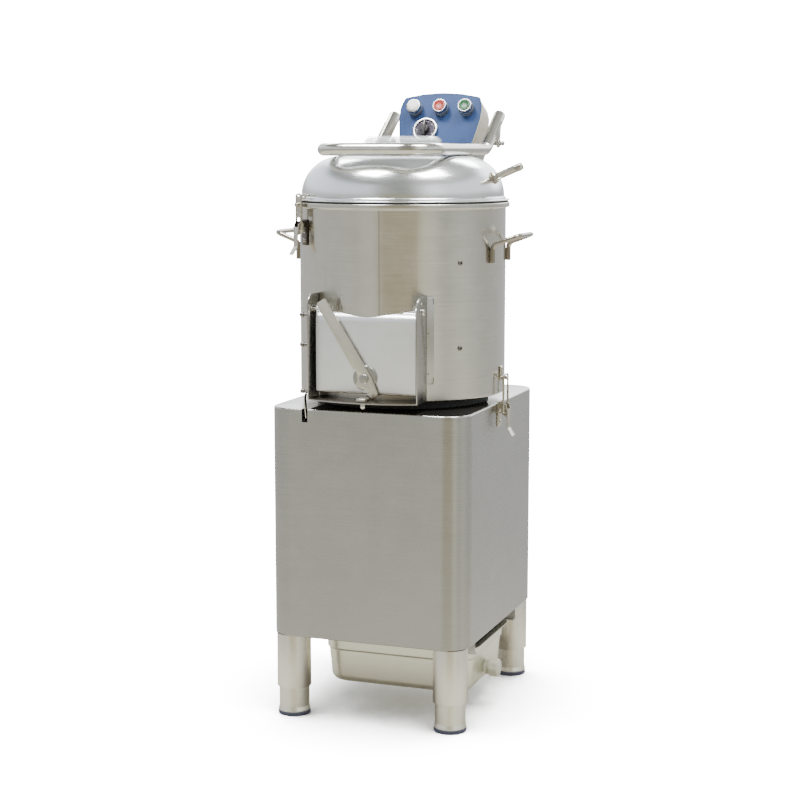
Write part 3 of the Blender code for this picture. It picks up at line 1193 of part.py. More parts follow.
def build_column():
    """A duct from the cabinet top to the control box, notched to hold the box from behind."""
    centre_y, centre_z = BOX_CENTRE[1:]
    up = Vector((math.sin(BOX_TILT), math.cos(BOX_TILT)))
    inward = Vector((math.cos(BOX_TILT), -math.sin(BOX_TILT)))
    heel = Vector((centre_y, centre_z)) + up * (BOX_BOTTOM - SEAT_GAP) + inward * (BOX_DEPTH + SEAT_GAP)
    toe_share = (heel.x - COLUMN_FRONT) / inward.x
    under = heel - inward * toe_share
    back_share = (COLUMN_BACK - heel.x) / up.x
    behind = heel + up * back_share
    base = CABINET_TOP + SEAT_GAP
    outline = [(COLUMN_FRONT, base), (COLUMN_BACK, base), tuple(behind), tuple(heel), tuple(under)]
    column = add_object("rear_column", side_prism(outline, -COLUMN_HALF_WIDTH, COLUMN_HALF_WIDTH), "brushed")
    cut(column, box(-COLUMN_HALF_WIDTH + COLUMN_WALL, COLUMN_HALF_WIDTH - COLUMN_WALL,
                    COLUMN_FRONT + COLUMN_WALL, COLUMN_BACK - COLUMN_WALL, base - CUT_OVERRUN,
                    COLUMN_DUCT_TOP))


def build_handles():
    spread = HANDLE_HALF_SPREAD
    wall = DRUM_RADIUS + HANDLE_RADIUS + SEAT_GAP
    stand = math.sqrt(wall ** 2 - spread ** 2)
    route = [(stand, -spread, HANDLE_FOOT), (stand, -spread, HANDLE_KNEE),
             (HANDLE_REACH, -spread * 0.9, HANDLE_LOOP_Z), (HANDLE_REACH, spread * 0.9, HANDLE_LOOP_Z),
             (stand, spread, HANDLE_KNEE), (stand, spread, HANDLE_FOOT)]
    radii = [0, HANDLE_KNEE_BEND, HANDLE_LOOP_BEND, HANDLE_LOOP_BEND, HANDLE_KNEE_BEND, 0]
    for side, angle in (("right", 0), ("left", math.pi)):
        wire = tube(filleted(route, radii, BEND_STEPS), HANDLE_RADIUS, HEX_SIDES)
        add_object(f"carry_handle_{side}", wire, "polished", place(0, DRUM_Y) @ turned("Z", angle))


def build_latch(prefix, frame, bail_route):
    """A toggle latch in a frame with X out of the wall, Y along it and Z up, at the pivot's height."""
    plate = box(0, LATCH_PLATE, -LATCH_HALF_WIDTH, LATCH_HALF_WIDTH, -LATCH_DROP, LATCH_HEAD)
    base = add_object(f"{prefix}_base", plate, "polished", frame)
    out = LATCH_PIVOT_OUT
    cheek = [(LATCH_PLATE / 2, -LATCH_CHEEK_RADIUS)]
    cheek += arc((out, 0), LATCH_CHEEK_RADIUS, -math.pi / 2, math.pi / 2, CORNER_STEPS)
    cheek += [(LATCH_PLATE / 2, LATCH_CHEEK_RADIUS)]
    pin_end = LEVER_CHEEK_INNER + LEVER_CHEEK + SEAT_GAP
    for sign in (-1, 1):
        near, far = sorted((sign * LATCH_CHEEK_INNER, sign * (LATCH_CHEEK_INNER + LATCH_CHEEK)))
        unite(base, front_prism(cheek, near, far))
        root, tip = sorted((sign * (LATCH_CHEEK_INNER + LATCH_CHEEK / 2), sign * pin_end))
        unite(base, along_y(disc(LATCH_PIN_RADIUS, -tip, -root, ROUND_STEPS // 2)), place(out))

    pivot = place(out)
    shell_in = LEVER_SHELL_OUT
    shell_out = shell_in + LEVER_SHELL
    lip = -LEVER_REACH - LEVER_LIP_DROP
    top = -LATCH_CHEEK_RADIUS
    strip = [(shell_in, top), (shell_in, -LEVER_REACH), (shell_in + LEVER_LIP_OUT, lip),
             (shell_out + LEVER_LIP_OUT, lip), (shell_out, -LEVER_REACH), (shell_out, top)]
    width = LEVER_CHEEK_INNER + LEVER_CHEEK
    lever = add_object(f"{prefix}_lever", front_prism(strip, -width, width), "polished", pivot, base)
    wing = arc((0, 0), LATCH_CHEEK_RADIUS - SEAT_GAP, math.pi / 2, math.pi, CORNER_STEPS // 2)
    wing += arc((0, -LATCH_THROW), LATCH_CHEEK_RADIUS - SEAT_GAP, math.pi, math.pi * 3 / 2, CORNER_STEPS // 2)
    middle = shell_in + LEVER_SHELL / 2
    wing += [(middle, -LATCH_THROW * 1.8), (middle, top), (LATCH_CHEEK_RADIUS - SEAT_GAP, 0)]
    eye = LATCH_PIN_RADIUS + RUNNING_GAP
    for sign in (-1, 1):
        near, far = sorted((sign * LEVER_CHEEK_INNER, sign * width))
        unite(lever, front_prism(wing, near, far))
    for drop in (0, -LATCH_THROW):
        cut(lever, along_y(disc(eye, -width - CUT_OVERRUN, width + CUT_OVERRUN, ROUND_STEPS // 2)),
            place(0, 0, drop))
    hook = LEVER_CHEEK_INNER - SEAT_GAP / 2
    spread = BAIL_HALF_SPREAD
    half = [(0, hook, 0), (0, spread, 0)] + [(x, spread, z) for x, z in bail_route]
    route = half + [(x, -y, z) for x, y, z in reversed(half)]
    radii = [0, BAIL_EYE_BEND] + [BAIL_BEND] * (len(route) - 4) + [BAIL_EYE_BEND, 0]
    wire = tube(filleted(route, radii, BEND_STEPS), BAIL_RADIUS, HEX_SIDES)
    return add_object(f"{prefix}_bail", wire, "polished", place(0, 0, -LATCH_THROW), lever)


def build_latches():
    side = CABINET_WIDTH / 2 + SEAT_GAP
    bar = KEEPER_PIN_Z + KEEPER_PIN_RADIUS + BAIL_GAP + BAIL_RADIUS
    reach = bar - DRUM_LATCH_PIVOT_Z + LATCH_THROW
    build_latch("drum_latch", place(side, DRUM_Y, DRUM_LATCH_PIVOT_Z), [(0, reach)])
    wall = DRUM_RADIUS + SEAT_GAP
    hook_z = flange_top() + DOME_HOOK_GAP + BAIL_RADIUS
    rise = hook_z - DOME_LATCH_PIVOT_Z + LATCH_THROW
    crook = rise + DOME_HOOK_ARCH
    inset = RIM_RADIUS - DOME_HOOK_INSET - wall - LATCH_PIVOT_OUT
    frame = place(0, DRUM_Y) @ turned("Z", DOME_LATCH_ANGLE) @ place(wall, 0, DOME_LATCH_PIVOT_Z)
    hook = build_latch("dome_latch", frame, [(0, crook), (inset, crook), (inset, rise)])
    leaf = STRAP_LEAF / 2
    unite(hook, box(-leaf, leaf, -BAIL_HALF_SPREAD, BAIL_HALF_SPREAD, STRAP_LEAF_FOOT, crook - BAIL_BEND))
    unite(hook, along_x(disc(STRAP_STUD_RADIUS, 0, STRAP_STUD_LENGTH, ROUND_STEPS)),
          place(0, 0, rise - LATCH_THROW))

    low = KEEPER_PIN_Z - KEEPER_MARGIN
    high = KEEPER_PIN_Z + KEEPER_BOSS_RISE + KEEPER_MARGIN
    plate = box(wall, wall + KEEPER_PLATE, -KEEPER_HALF_WIDTH, KEEPER_HALF_WIDTH, low, high)
    keeper = add_object("drum_latch_keeper", plate, "polished", place(0, DRUM_Y))
    inside = wall + KEEPER_PLATE / 2
    unite(keeper, along_x(disc(KEEPER_PIN_RADIUS, inside, wall + KEEPER_PIN_LENGTH, ROUND_STEPS // 2)),
          place(0, 0, KEEPER_PIN_Z))
    dome = [(0, inside), (KEEPER_BOSS_RADIUS, inside), (KEEPER_BOSS_RADIUS, wall + KEEPER_BOSS_LENGTH / 2),
            (KEEPER_BOSS_RADIUS * 0.7, wall + KEEPER_BOSS_LENGTH * 0.85), (0, wall + KEEPER_BOSS_LENGTH)]
    unite(keeper, along_x(revolve(dome, ROUND_STEPS)), place(0, 0, KEEPER_PIN_Z + KEEPER_BOSS_RISE))


def tray_loop(inset, z, corner):
    half_l = TRAY_LENGTH / 2 - inset
    half_d = TRAY_DEPTH / 2 - inset
    return [(x, y, z) for x, y in rounded_rectangle(-half_l, half_l, -half_d, half_d, corner, TRAY_STEPS)]


def build_tray():
    """The tray's origin is on the floor plane, under the middle of the tray."""
    sheet = TRAY_SHEET
    corner = TRAY_CORNER
    top = TRAY_TOP
    step = TRAY_RIM + TRAY_SHOULDER_STEP
    foot = step + TRAY_TAPER
    toe = TRAY_TOE
    outer = [(0, top), (0, top - sheet), (TRAY_RIM, top - sheet), (TRAY_RIM, top - TRAY_SHOULDER),
             (step, top - TRAY_SHOULDER - TRAY_SHOULDER_STEP), (foot, TRAY_BOTTOM + toe),
             (foot + toe * 0.3, TRAY_BOTTOM + toe * 0.3), (foot + toe, TRAY_BOTTOM)]
    loops = []
    for inset, z in reversed(outer):
        loops.append(tray_loop(inset, z, max(corner - inset * 0.6, toe)))
    inner = [(inset + sheet, z) for inset, z in outer[3:]]
    loops.append(tray_loop(TRAY_RIM + sheet, top, corner - (TRAY_RIM + sheet) * 0.6))
    for inset, z in inner:
        loops.append(tray_loop(inset, z + sheet, max(corner - inset * 0.6, toe)))
    at = place(TRAY_X, DRUM_Y)
    tray = add_object("waste_tray", loft(loops), "brushed", at)
    drain = place(TRAY_LENGTH / 2 - step, DRAIN_Y - DRUM_Y, DRAIN_Z)
    cut(tray, along_x(disc(DRAIN_RADIUS + SEAT_GAP, -TRAY_TOE, TRAY_TOE, ROUND_STEPS)), drain)

    seat = RUNNING_GAP
    body = [(0, -DRAIN_INNER - TRAY_TAPER), (DRAIN_RADIUS, -DRAIN_INNER - TRAY_TAPER), (DRAIN_RADIUS, seat),
            (DRAIN_FLANGE_RADIUS, seat), (DRAIN_FLANGE_RADIUS, seat + DRAIN_FLANGE),
            (DRAIN_RADIUS, seat + DRAIN_FLANGE), (DRAIN_RADIUS, seat + DRAIN_FLANGE + DRAIN_BODY),
            (0, seat + DRAIN_FLANGE + DRAIN_BODY)]
    valve = add_object("drain_valve", along_x(revolve(body, ROUND_STEPS)), "ivory", drain, tray)
    start = seat + DRAIN_FLANGE + DRAIN_BODY - DRAIN_CAP_SOCKET + SEAT_GAP
    socket = start + DRAIN_CAP_SOCKET
    end = start + DRAIN_CAP_LENGTH
    bore = DRAIN_RADIUS + RUNNING_GAP
    cap = [(0, socket), (bore, socket), (bore, start), (DRAIN_CAP_RADIUS * 0.9, start),
           (DRAIN_CAP_RADIUS, start + SEAT_GAP * 3), (DRAIN_CAP_RADIUS, end - SEAT_GAP * 5),
           (DRAIN_CAP_RADIUS * 0.88, end), (0, end)]
    add_object("drain_cap", along_x(revolve(cap, DRAIN_SIDES * 2)), "ivory", None, valve)

    ledge_top = top - sheet - SEAT_GAP
    rail_top = CABINET_BOTTOM - SEAT_GAP
    edge = TRAY_DEPTH / 2 + RAIL_CLEAR
    ledge = edge - RAIL_LEDGE
    profile = [(edge, rail_top), (edge, ledge_top), (ledge, ledge_top), (ledge, ledge_top - RAIL_SHEET),
               (edge + RAIL_SHEET, ledge_top - RAIL_SHEET), (edge + RAIL_SHEET, rail_top)]
    runner = add_object("tray_runner", side_prism([(-y, z) for y, z in profile], RAIL_START, RAIL_END),
                        "zinc", place(0, DRUM_Y))
    unite(runner, side_prism(profile, RAIL_START, RAIL_END))
    stop = TRAY_X - TRAY_LENGTH / 2 - RAIL_CLEAR
    unite(runner, box(stop - RAIL_SHEET, stop, -edge - RAIL_SHEET / 2, edge + RAIL_SHEET / 2,
                      ledge_top - RAIL_SHEET / 2, rail_top - RAIL_SHEET))


clear_scene()
MATERIALS = {name: principled(name, *values) for name, values in MATERIAL_VALUES.items()}
build_cabinet()
build_rear_panel()
build_legs()
build_drum()
build_abrasive_plate()
build_drive()
build_chute()
build_door()
build_tongue()
build_dome()
build_lid()
build_column()
build_control_box()
build_handles()
build_latches()
build_tray()
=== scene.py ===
# Electric potato peeler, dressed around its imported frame: smooth sheet metal with real edges,
# fasteners, weld beads and finishes. Metres, +Z up, the outlet at -Y, the floor at z = 0.
import json
import math

import bmesh
import bpy
from mathutils import Matrix, Vector

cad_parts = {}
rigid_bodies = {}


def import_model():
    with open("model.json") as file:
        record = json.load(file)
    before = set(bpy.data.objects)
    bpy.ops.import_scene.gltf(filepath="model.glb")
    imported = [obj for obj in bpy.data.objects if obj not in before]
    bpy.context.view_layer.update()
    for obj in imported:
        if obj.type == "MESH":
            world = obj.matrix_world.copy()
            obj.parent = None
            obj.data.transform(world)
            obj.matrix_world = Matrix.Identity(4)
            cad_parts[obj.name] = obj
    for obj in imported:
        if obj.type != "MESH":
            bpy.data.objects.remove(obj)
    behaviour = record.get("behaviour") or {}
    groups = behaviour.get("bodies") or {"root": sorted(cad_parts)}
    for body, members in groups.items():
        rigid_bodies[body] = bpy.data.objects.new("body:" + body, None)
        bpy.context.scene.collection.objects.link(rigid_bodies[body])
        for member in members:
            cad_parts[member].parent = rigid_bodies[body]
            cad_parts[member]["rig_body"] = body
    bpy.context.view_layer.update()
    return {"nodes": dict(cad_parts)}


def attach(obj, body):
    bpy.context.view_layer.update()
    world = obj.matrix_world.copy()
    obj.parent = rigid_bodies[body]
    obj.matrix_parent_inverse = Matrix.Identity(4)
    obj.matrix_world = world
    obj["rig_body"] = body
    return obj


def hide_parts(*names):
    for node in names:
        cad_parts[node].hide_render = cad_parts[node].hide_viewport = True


for item in list(bpy.data.objects):
    bpy.data.objects.remove(item, do_unlink=True)
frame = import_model()
SLOTS = {name: node.material_slots[0].material.name.split(".")[0]
         for name, node in frame["nodes"].items()}
BODIES = {name: node["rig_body"] for name, node in frame["nodes"].items()}
for node in frame["nodes"].values():
    node.material_slots[0].material.name += ".cad"
SEAT_GAP = 0.0003            # left between pieces that touch
RUNNING_GAP = 0.0005         # left around pins and shafts that turn
CUT_OVERRUN = 0.01           # how far a cutter runs past what it cuts
SUNK = 0.0002                # how far a small fitting is let into what carries it
PICK_MARGIN = 0.0002         # left at a circle's edge where faces get another finish
QUARTER = math.pi / 2
SIDES = ((-1, "left"), (1, "right"))
FLAT_ANGLE = math.radians(0.6)    # edges flatter than this are dissolved
HARD_ANGLE = math.radians(32)     # edges sharper than this are rounded
SMOOTH_ANGLE = 38            # degrees up to which a fold is shaded smooth
FINE_EDGE = 0.0003           # how far the edges of thin sheet, sheet, bars and blocks are rounded
SHEET_EDGE = 0.0004
BAR_EDGE = 0.0005
BLOCK_EDGE = 0.0007

# Cabinet: a wrapped sheet box with round upright corners
CABINET_WIDTH = 0.396
CABINET_DEPTH = 0.474
CABINET_BOTTOM = 0.163
CABINET_TOP = 0.605
CABINET_CORNER = 0.047
CABINET_SHEET = 0.002
CABINET_FOLD = 0.0035        # radius of the folded top edge
CABINET_HEM = 0.0008         # and of the lower edge
CORNER_STEPS = 14
SERVICE_WIDTH = 0.300
SERVICE_BOTTOM = 0.205
SERVICE_TOP = 0.565
PANEL_OVERLAP = 0.012
PANEL_SHEET = 0.0015
LOUVRE_LENGTH = 0.090
LOUVRE_HEIGHT = 0.006
LOUVRE_PITCH = 0.018
LOUVRE_COUNT = 5
LOUVRE_OFFSET = 0.068
LOUVRE_TOP = 0.500
LOUVRE_BULGE = 0.0032        # how far its hoods stand out
LOUVRE_SKIN = 0.0008
LOUVRE_EDGE = 0.0002

# Black sheet on the cabinet's top, under the front of the drum: painted shade of the dark gap
# beneath the drum
APRON_MARGIN = 0.0042        # left free along the cabinet's sides
APRON_LEVELS = (CABINET_TOP + 0.0001, CABINET_TOP + 0.0009)
APRON_SHOULDER = -0.075      # where its right edge turns in
APRON_BACK = (0.150, 0.03)
APRON_BENDS = (0.05, 0.03)
APRON_EASE = 0.004

# Legs and adjustable feet
LEG_INSET_X = 0.038          # from the cabinet's sides to the legs' middles
LEG_INSET_Y = 0.037
LEG_X = CABINET_WIDTH / 2 - LEG_INSET_X
LEG_Y = CABINET_DEPTH / 2 - LEG_INSET_Y
LEG_RADIUS = 0.033
LEG_WALL = 0.0025
LEG_BOTTOM = 0.056
LEG_CAP = 0.004
FOOT_RADIUS = 0.0292
FOOT_FLARE = 0.0308
FOOT_FLARE_TOP = 0.017
FOOT_PAD_HEIGHT = 0.008
FOOT_PAD_RADIUS = 0.0312
FOOT_SLEEVE_TOP = 0.082
FOOT_SLEEVE_WALL = 0.0022
FOOT_FLOOR = 0.012
STEM_RADIUS = 0.006
STEM_TOP = 0.150
FOOT_CHAMFER = 0.0015
LEG_STEPS = 56
LEG_WELD = [(LEG_RADIUS - 0.0004, -0.0016), (LEG_RADIUS + 0.0012, 0), (LEG_RADIUS - 0.0004, 0)]
ROUND_STEPS = 32

# Drum: rolled shell with a pressed floor, on a ring of the cabinet top
DRUM_Y = -0.022
DRUM_RADIUS = 0.200
DRUM_BOTTOM = 0.622
DRUM_TOP = 0.989
DRUM_WALL = 0.002
DRUM_FLOOR = 0.004
DRUM_EDGE = 0.0035
RIM_RADIUS = 0.207
RIM_HEIGHT = 0.010
RIM_ROLL = 0.0018
DRUM_STEPS = 180
SEAT_RING_OUTER = 0.168
SEAT_RING_INNER = 0.150
HUB_BORE = 0.020
HUB_RING = 0.025
HUB_RING_TOP = 0.636
MOUTH_HALF_WIDTH = 0.092
MOUTH_BOTTOM = 0.6445
MOUTH_TOP = 0.768
LINER_GAP = 0.0008
LINER_WALL = 0.002
LINER_BOTTOM = 0.672
LINER_TOP = 0.958
LINER_BOLTS = [(turn, level) for turn in (-37.9, 52.1, 142.1) for level in (0.880, 0.721)]
SEAM_ANGLE = math.radians(7.3)    # from the front to the rolled sheet's butt weld
SEAM_BEAD = 0.0011

# Abrasive plate: a disc with radial waves on top and a hub under it
PLATE_RADIUS = 0.1925
PLATE_BOTTOM = 0.640
PLATE_THICKNESS = 0.009
PLATE_WAVES = 3
PLATE_WAVE_HEIGHT = 0.014
PLATE_STEPS = 108
PLATE_RING_SHARES = (0.90, 0.72, 0.48, 0.27)
PLATE_WAVE_SHARES = (0.60, 1.00, 0.85, 0.20)
PLATE_RINGS = 22
PLATE_RING_START = 0.975     # shares of the radius between which the top is divided into rings
PLATE_RING_SPAN = 0.70
PLATE_CALM = 0.18            # share within which the plate has no waves
HUB_RADIUS = 0.034
CAP_NUT_HEIGHT = 0.012

# Shaft and waste pipe in the drum's floor
SHAFT_NECK_RADIUS = 0.0110
PIPE_X = 0.116
PIPE_RADIUS = 0.024
PIPE_WALL = 0.0025

# Outlet chute and its door
CHUTE_HALF_WIDTH = 0.107
CHUTE_SHEET = 0.002
CHUTE_FRONT = -0.245
CHUTE_BOTTOM = 0.6245
CHUTE_TOP = 0.822
CHUTE_NOSE = 0.022
CHUTE_FLANGE_BOTTOM = 0.655
CHUTE_FLANGE_ANGLE = math.radians(3.6)
SHADOW_LINE_RISE = 0.011            # dark wires along the flanges' corners as painted shadow lines, and studs of the flanges
SHADOW_LINE_WIRE = 0.0008
SHADOW_LINE_BEND = 0.004
SHADOW_LINE_LEVELS = ((CHUTE_FLANGE_BOTTOM + 0.003, 1), (CHUTE_TOP - 0.006, -1))
SHADOW_LINE_NEAR = 0.012            # turns from the flange's two edges
SHADOW_LINE_FAR = 0.006
STUD_NEAR = 0.014
FLANGE_STUDS = (0.7515, 0.6760)
PLATE_RIVETS = ((-0.222, 0.8085), (-0.2035, 0.7925))
SIDE_PIN_Y = -0.2340
SIDE_PINS = (0.783, 0.727, 0.639)
SIDE_PIN = [(0, 0), (0.0030, 0), (0.0030, 0.0105), (0.0043, 0.0109), (0.0043, 0.0165),
            (0.0028, 0.0190), (0, 0.0190)]
SIDE_PIN_EASE = [0, 0, 0, 0.0004, 0.0012, 0.0012, 0]
DOOR_HALF_WIDTH = 0.099
DOOR_BOTTOM = 0.637
DOOR_BEND = 0.772
DOOR_BEND_RADIUS = 0.018
DOOR_SLOPE = math.radians(27)
DOOR_CORNER = 0.005
DOOR_FACE = -0.2257
DOOR_DEPTH = 0.040
DOOR_SHEET = 0.002
DOOR_EDGE = 0.007
DOOR_DRUM_GAP = 0.0015
DOOR_AXIS_Y = -0.214
DOOR_AXIS_Z = 0.792
DOOR_EAR_RADIUS = 0.009
DOOR_BOLT_RADIUS = 0.0038
DOOR_BOLT_HEAD = 0.0065
DOOR_BOLT_HEAD_HEIGHT = 0.0035

# Door lever, its boss and the catch on the chute's lip
LEVER_Z = 0.668
LEVER_LENGTH = 0.166
LEVER_TILT = math.radians(31.5)
LEVER_WIDTH = 0.0205
LEVER_SHEET = 0.003
LEVER_HIP = (0.0148, 0.0010)
LEVER_TAIL = ((0.0272, -0.0292), (0.0242, -0.0330), (0.0145, -0.0378), (0.0015, -0.0220))
LEVER_EAR = (-0.0178, -0.0150)
LEVER_NECK = ((-0.0128, -0.0037), (-0.0148, 0.0105))
LEVER_SHOULDER = 0.0265
BOSS_RADIUS = 0.0235
BOSS_HEIGHT = 0.004
LEVER_PIN_RADIUS = 0.0050
LEVER_PIN_HEAD = 0.0085
LEVER_PIN_HEAD_HEIGHT = 0.005
CATCH_WIDTH = 0.018
CATCH_HEIGHT = 0.0062
CATCH_DEPTH = 0.024
CATCH_FRONT = -0.2585
CATCH_X = 0.0030
CATCH_BOLT_RADIUS = 0.0052
CATCH_BOLT_TIP = 0.6120
CATCH_WELD = [(0.0, 0.0), (0.0022, 0.0), (0.0015, 0.0011), (0.0, 0.0016)]
CATCH_WELD_INSET = 0.004
TONGUE_SHEET = 0.0015
TONGUE_WIDTH = 0.009
TONGUE_TOP = 0.668
TONGUE_LENGTH = 0.080
TONGUE_SETBACK = 0.008        # from the chute's front edge to the tongue
TONGUE_BULGE = 0.0095
TONGUE_SWAY = 0.0060
SLOT_WIDTH = 0.0115
SLOT_CLEAR = 0.0025
SLOT_DROP = 0.008            # from the tongue's foot to the slot's bottom

# Dome, its seal and its filling mouth
SEAL_HEIGHT = 0.0024
SEAL_WIDTH = 0.006
SEAL_EDGE = 0.0006
DOME_FLANGE = 0.002
DOME_SHEET = 0.0018
DOME_RADIUS = 0.1965
DOME_BEAD = 0.0025
BEAD_ROLL = ((0.0016, 0.0001), (0.0004, 0.0006), (0, 0.0016), (-0.0001, 0.0028),
             (-0.0007, 0.0042), (-0.0016, 0.0052))
DOME_BAND = 0.0080
DOME_HEIGHT = 0.0762
DOME_FLAT_RADIUS = 0.120
DOME_MOUTH_RADIUS = 0.085
DOME_MOUTH_LIP = 0.008
DOME_MOUTH_EASE = 0.0012
DOME_ARC_STEPS = 24
FLANGE_TOP = DRUM_TOP + SEAT_GAP + SEAL_HEIGHT + SEAT_GAP + DOME_FLANGE
DOME_FOOT = FLANGE_TOP - DOME_FLANGE + DOME_BAND
DOME_TOP = DOME_FOOT + DOME_HEIGHT

# Lid: clear cover in a bent tube frame that swings on two pins behind the dome
TUBE_RADIUS = 0.012
LID_SIDE_X = 0.114
LID_FRONT_Y = -0.196
LID_CORNER = 0.062
LID_BEND_Y = 0.148
LID_BEND = 0.040
LID_ARM_ANGLE = math.radians(36.3)
LID_ARM_LENGTH = 0.1185
LID_PIN_Y = 0.195
LID_PIN_Z = 1.1010
LID_PIN_RADIUS = 0.0045
LUG_X = 0.1240
LUG_SHEET = 0.003
LUG_RADIUS = 0.009
LUG_SPREAD = 0.020
LUG_RISE = 0.0073
STRAP_WIDTH = 0.024
STRAP_THICKNESS = 0.002
STRAP_REACH = 0.084
STRAP_SCREW = 0.0065         # from the strap's tip to its screw
COVER_RADIUS = 0.097
COVER_SHEET = 0.003
COVER_RISE_RADIUS = 0.075
COVER_CROWN_RADIUS = 0.067
COVER_HEIGHT = 0.0375
COVER_STEPS = 96
EAR_X = 0.0985
EAR_SHEET = 0.003
EAR_RADIUS = 0.013
EAR_HEEL = (0.176, 1.066)
EAR_ARC = (math.radians(32), math.radians(62))
BRIDGE_FACE = 0.1575
BRIDGE_BOTTOM = 1.052
BRIDGE_TOP = 1.066
PIN_END = 0.1385
WASHER_WIDTH = 0.0035
WASHER_SHEET = 0.0012
WASHER_GAP = 0.0008

# Control box at the head of the rear column
BOX_TILT = math.radians(25)
BOX_CENTRE = (0.0, 0.203, 1.160)
BOX_DEPTH = 0.060
BOX_WALL = 0.002
BOX_BOTTOM = -0.088
BOX_SHOULDER = 0.035
BOX_CREST = 0.0455
BOX_FOOT_HALF = 0.070
BOX_HIP_HALF = 0.0805
BOX_HIP = -0.046
BOX_WAIST_HALF = 0.0865
BOX_WAIST = (-0.010, 0.015)
BOX_SHOULDER_HALF = 0.0795
BOX_CORNER = 0.007
FASCIA_SCREWS = ((-0.055, -0.070), (0.055, -0.070))
CASE_SCREWS = ((-0.062, -0.060), (0.062, -0.060), (-0.066, 0.022), (0.066, 0.022))
FASCIA_SHEET = 0.003
FASCIA_LIP = 0.0015
BOX_EDGE = 0.0016
FASCIA_EDGE = 0.0011

# Controls, as (across, up) on the fascia
LAMP_PLACE = (-0.0530, 0.0086)
STOP_PLACE = (0.0031, 0.0086)
START_PLACE = (0.0570, 0.0086)
TIMER_PLACE = (-0.0255, -0.0380)
NECK_RADIUS = 0.0105
NECK_DEPTH = 0.014
BEZEL_RADIUS = 0.0148
BEZEL_BORE = 0.0122
BEZEL_HEIGHT = 0.021
BEZEL_FLOOR = 0.003
BEZEL_CHAMFER = 0.0015
COLLAR_BORE = BEZEL_RADIUS + 0.0001
COLLAR_RADIUS = BEZEL_RADIUS + 0.0010
COLLAR_SHARES = (0.52, 0.56)      # of the bezel's height, outside and inside
BUTTON_RADIUS = 0.0117
BUTTON_TRAVEL = 0.003
BUTTON_PROUD = 0.0015
BUTTON_CROWN = 0.002
LENS_HEIGHT = 0.004
TIMER_RADIUS = 0.0265
TIMER_HEIGHT = 0.006
TIMER_FACE_RADIUS = 0.0215
TIMER_FACE_SINK = 0.0025
TIMER_BORE = 0.0045
TICK_COUNT = 21
TICK_START = 120             # degrees of the first mark, and from one to the next
TICK_TURN = 15
TICK_LONG = (0.0050, 0.00035)     # length with its gap to the rim, and half the width
TICK_SHORT = (0.0034, 0.0002)
TICK_GAP = 0.0012
TICK_LEVELS = (-0.0001, 0.00012)
KNOB_RADIUS = 0.0100
KNOB_HEIGHT = 0.010
KNOB_STEM = 0.0040
KNOB_LINE = 0.0004           # half the width of the knob's painted line
PAINT = 0.0002               # and how thick it is
POINTER_LENGTH = 0.036
POINTER_WIDTH = 0.0075
POINTER_HEIGHT = 0.007
CONTROL_STEPS = 48

# Carry handles on both sides of the drum
HANDLE_RADIUS = 0.0048
HANDLE_HALF_SPREAD = 0.052
HANDLE_FOOT = 0.876
HANDLE_KNEE = 0.910
HANDLE_LOOP_Z = 0.928
HANDLE_REACH = 0.248
HANDLE_KNEE_BEND = 0.014
HANDLE_LOOP_BEND = 0.014
HANDLE_END_EASE = 0.0012
HANDLE_WELD = 0.0024
HANDLE_WELD_EASE = 0.0010
HANDLE_WELD_OUT = 0.0010      # from the drum's wall to the weld's middle line
HANDLE_WELD_SPAN = (HANDLE_FOOT + 0.002, HANDLE_KNEE - 0.010)

# Water inlet on the dome's right shoulder
INLET_ANGLE = math.radians(-4)
INLET_ARC = math.radians(27)
INLET_NUT_RADIUS = 0.0106
INLET_NUT_HEIGHT = 0.008
INLET_RADIUS = 0.0072
INLET_BORE = 0.0045
INLET_DROOP = math.radians(4.5)
INLET_LIFT = 0.0002
INLET_INSET = 0.0008          # how far the dome's facets lie inside its true curve
INLET_LENGTH = 0.062
INLET_THREAD = 0.014
INLET_THREAD_RADIUS = 0.0076
THREAD_DEPTH = 0.0006
THREAD_PITCH = 0.0014
HEX_SIDES = 6

# Toggle latches: base, lever and wire bail
LATCH_HALF_WIDTH = 0.014
LATCH_PLATE = 0.002
LATCH_DROP = 0.040
LATCH_HEAD = 0.009
LATCH_CHEEK_INNER = 0.0085
LATCH_CHEEK = 0.0014
LATCH_PIVOT_OUT = 0.0125
LATCH_CHEEK_RADIUS = 0.0055
LATCH_PIN_RADIUS = 0.0020
LATCH_THROW = 0.012
LATCH_RIVETS = (-0.014, -0.031)
LATCH_EDGE = 0.0006
LEVER_CHEEK_INNER = 0.0105
LEVER_CHEEK = 0.0013
LEVER_SHELL_OUT = 0.0060
LEVER_SHELL = 0.0014
LEVER_REACH = 0.042
LEVER_LIP_DROP = 0.016
LEVER_LIP_OUT = 0.010
BAIL_RADIUS = 0.0020
BAIL_HALF_SPREAD = 0.0144
BAIL_BEND = 0.0035
BAIL_EYE_BEND = 0.0024
BAIL_GAP = 0.0007
DRUM_LATCH_PIVOT_Z = 0.599
DOME_LATCH_PIVOT_Z = 0.948
DOME_LATCH_ANGLE = math.radians(222)
DOME_HOOK_INSET = 0.0025
DOME_HOOK_GAP = 0.0008
DOME_HOOK_ARCH = 0.0076
STRAP_LEAF = 0.0018
STRAP_LEAF_FOOT = 0.024
STRAP_STUD_RADIUS = 0.0045
STRAP_STUD_LENGTH = 0.008
KEEPER_PIN_Z = 0.6535
KEEPER_PIN_RADIUS = 0.0035
KEEPER_PIN_LENGTH = 0.0155
KEEPER_HALF_WIDTH = 0.0075
KEEPER_PLATE = 0.0025
KEEPER_BOSS_RADIUS = 0.0062
KEEPER_BOSS_LENGTH = 0.0058
KEEPER_BOSS_RISE = 0.0165
KEEPER_MARGIN = 0.006

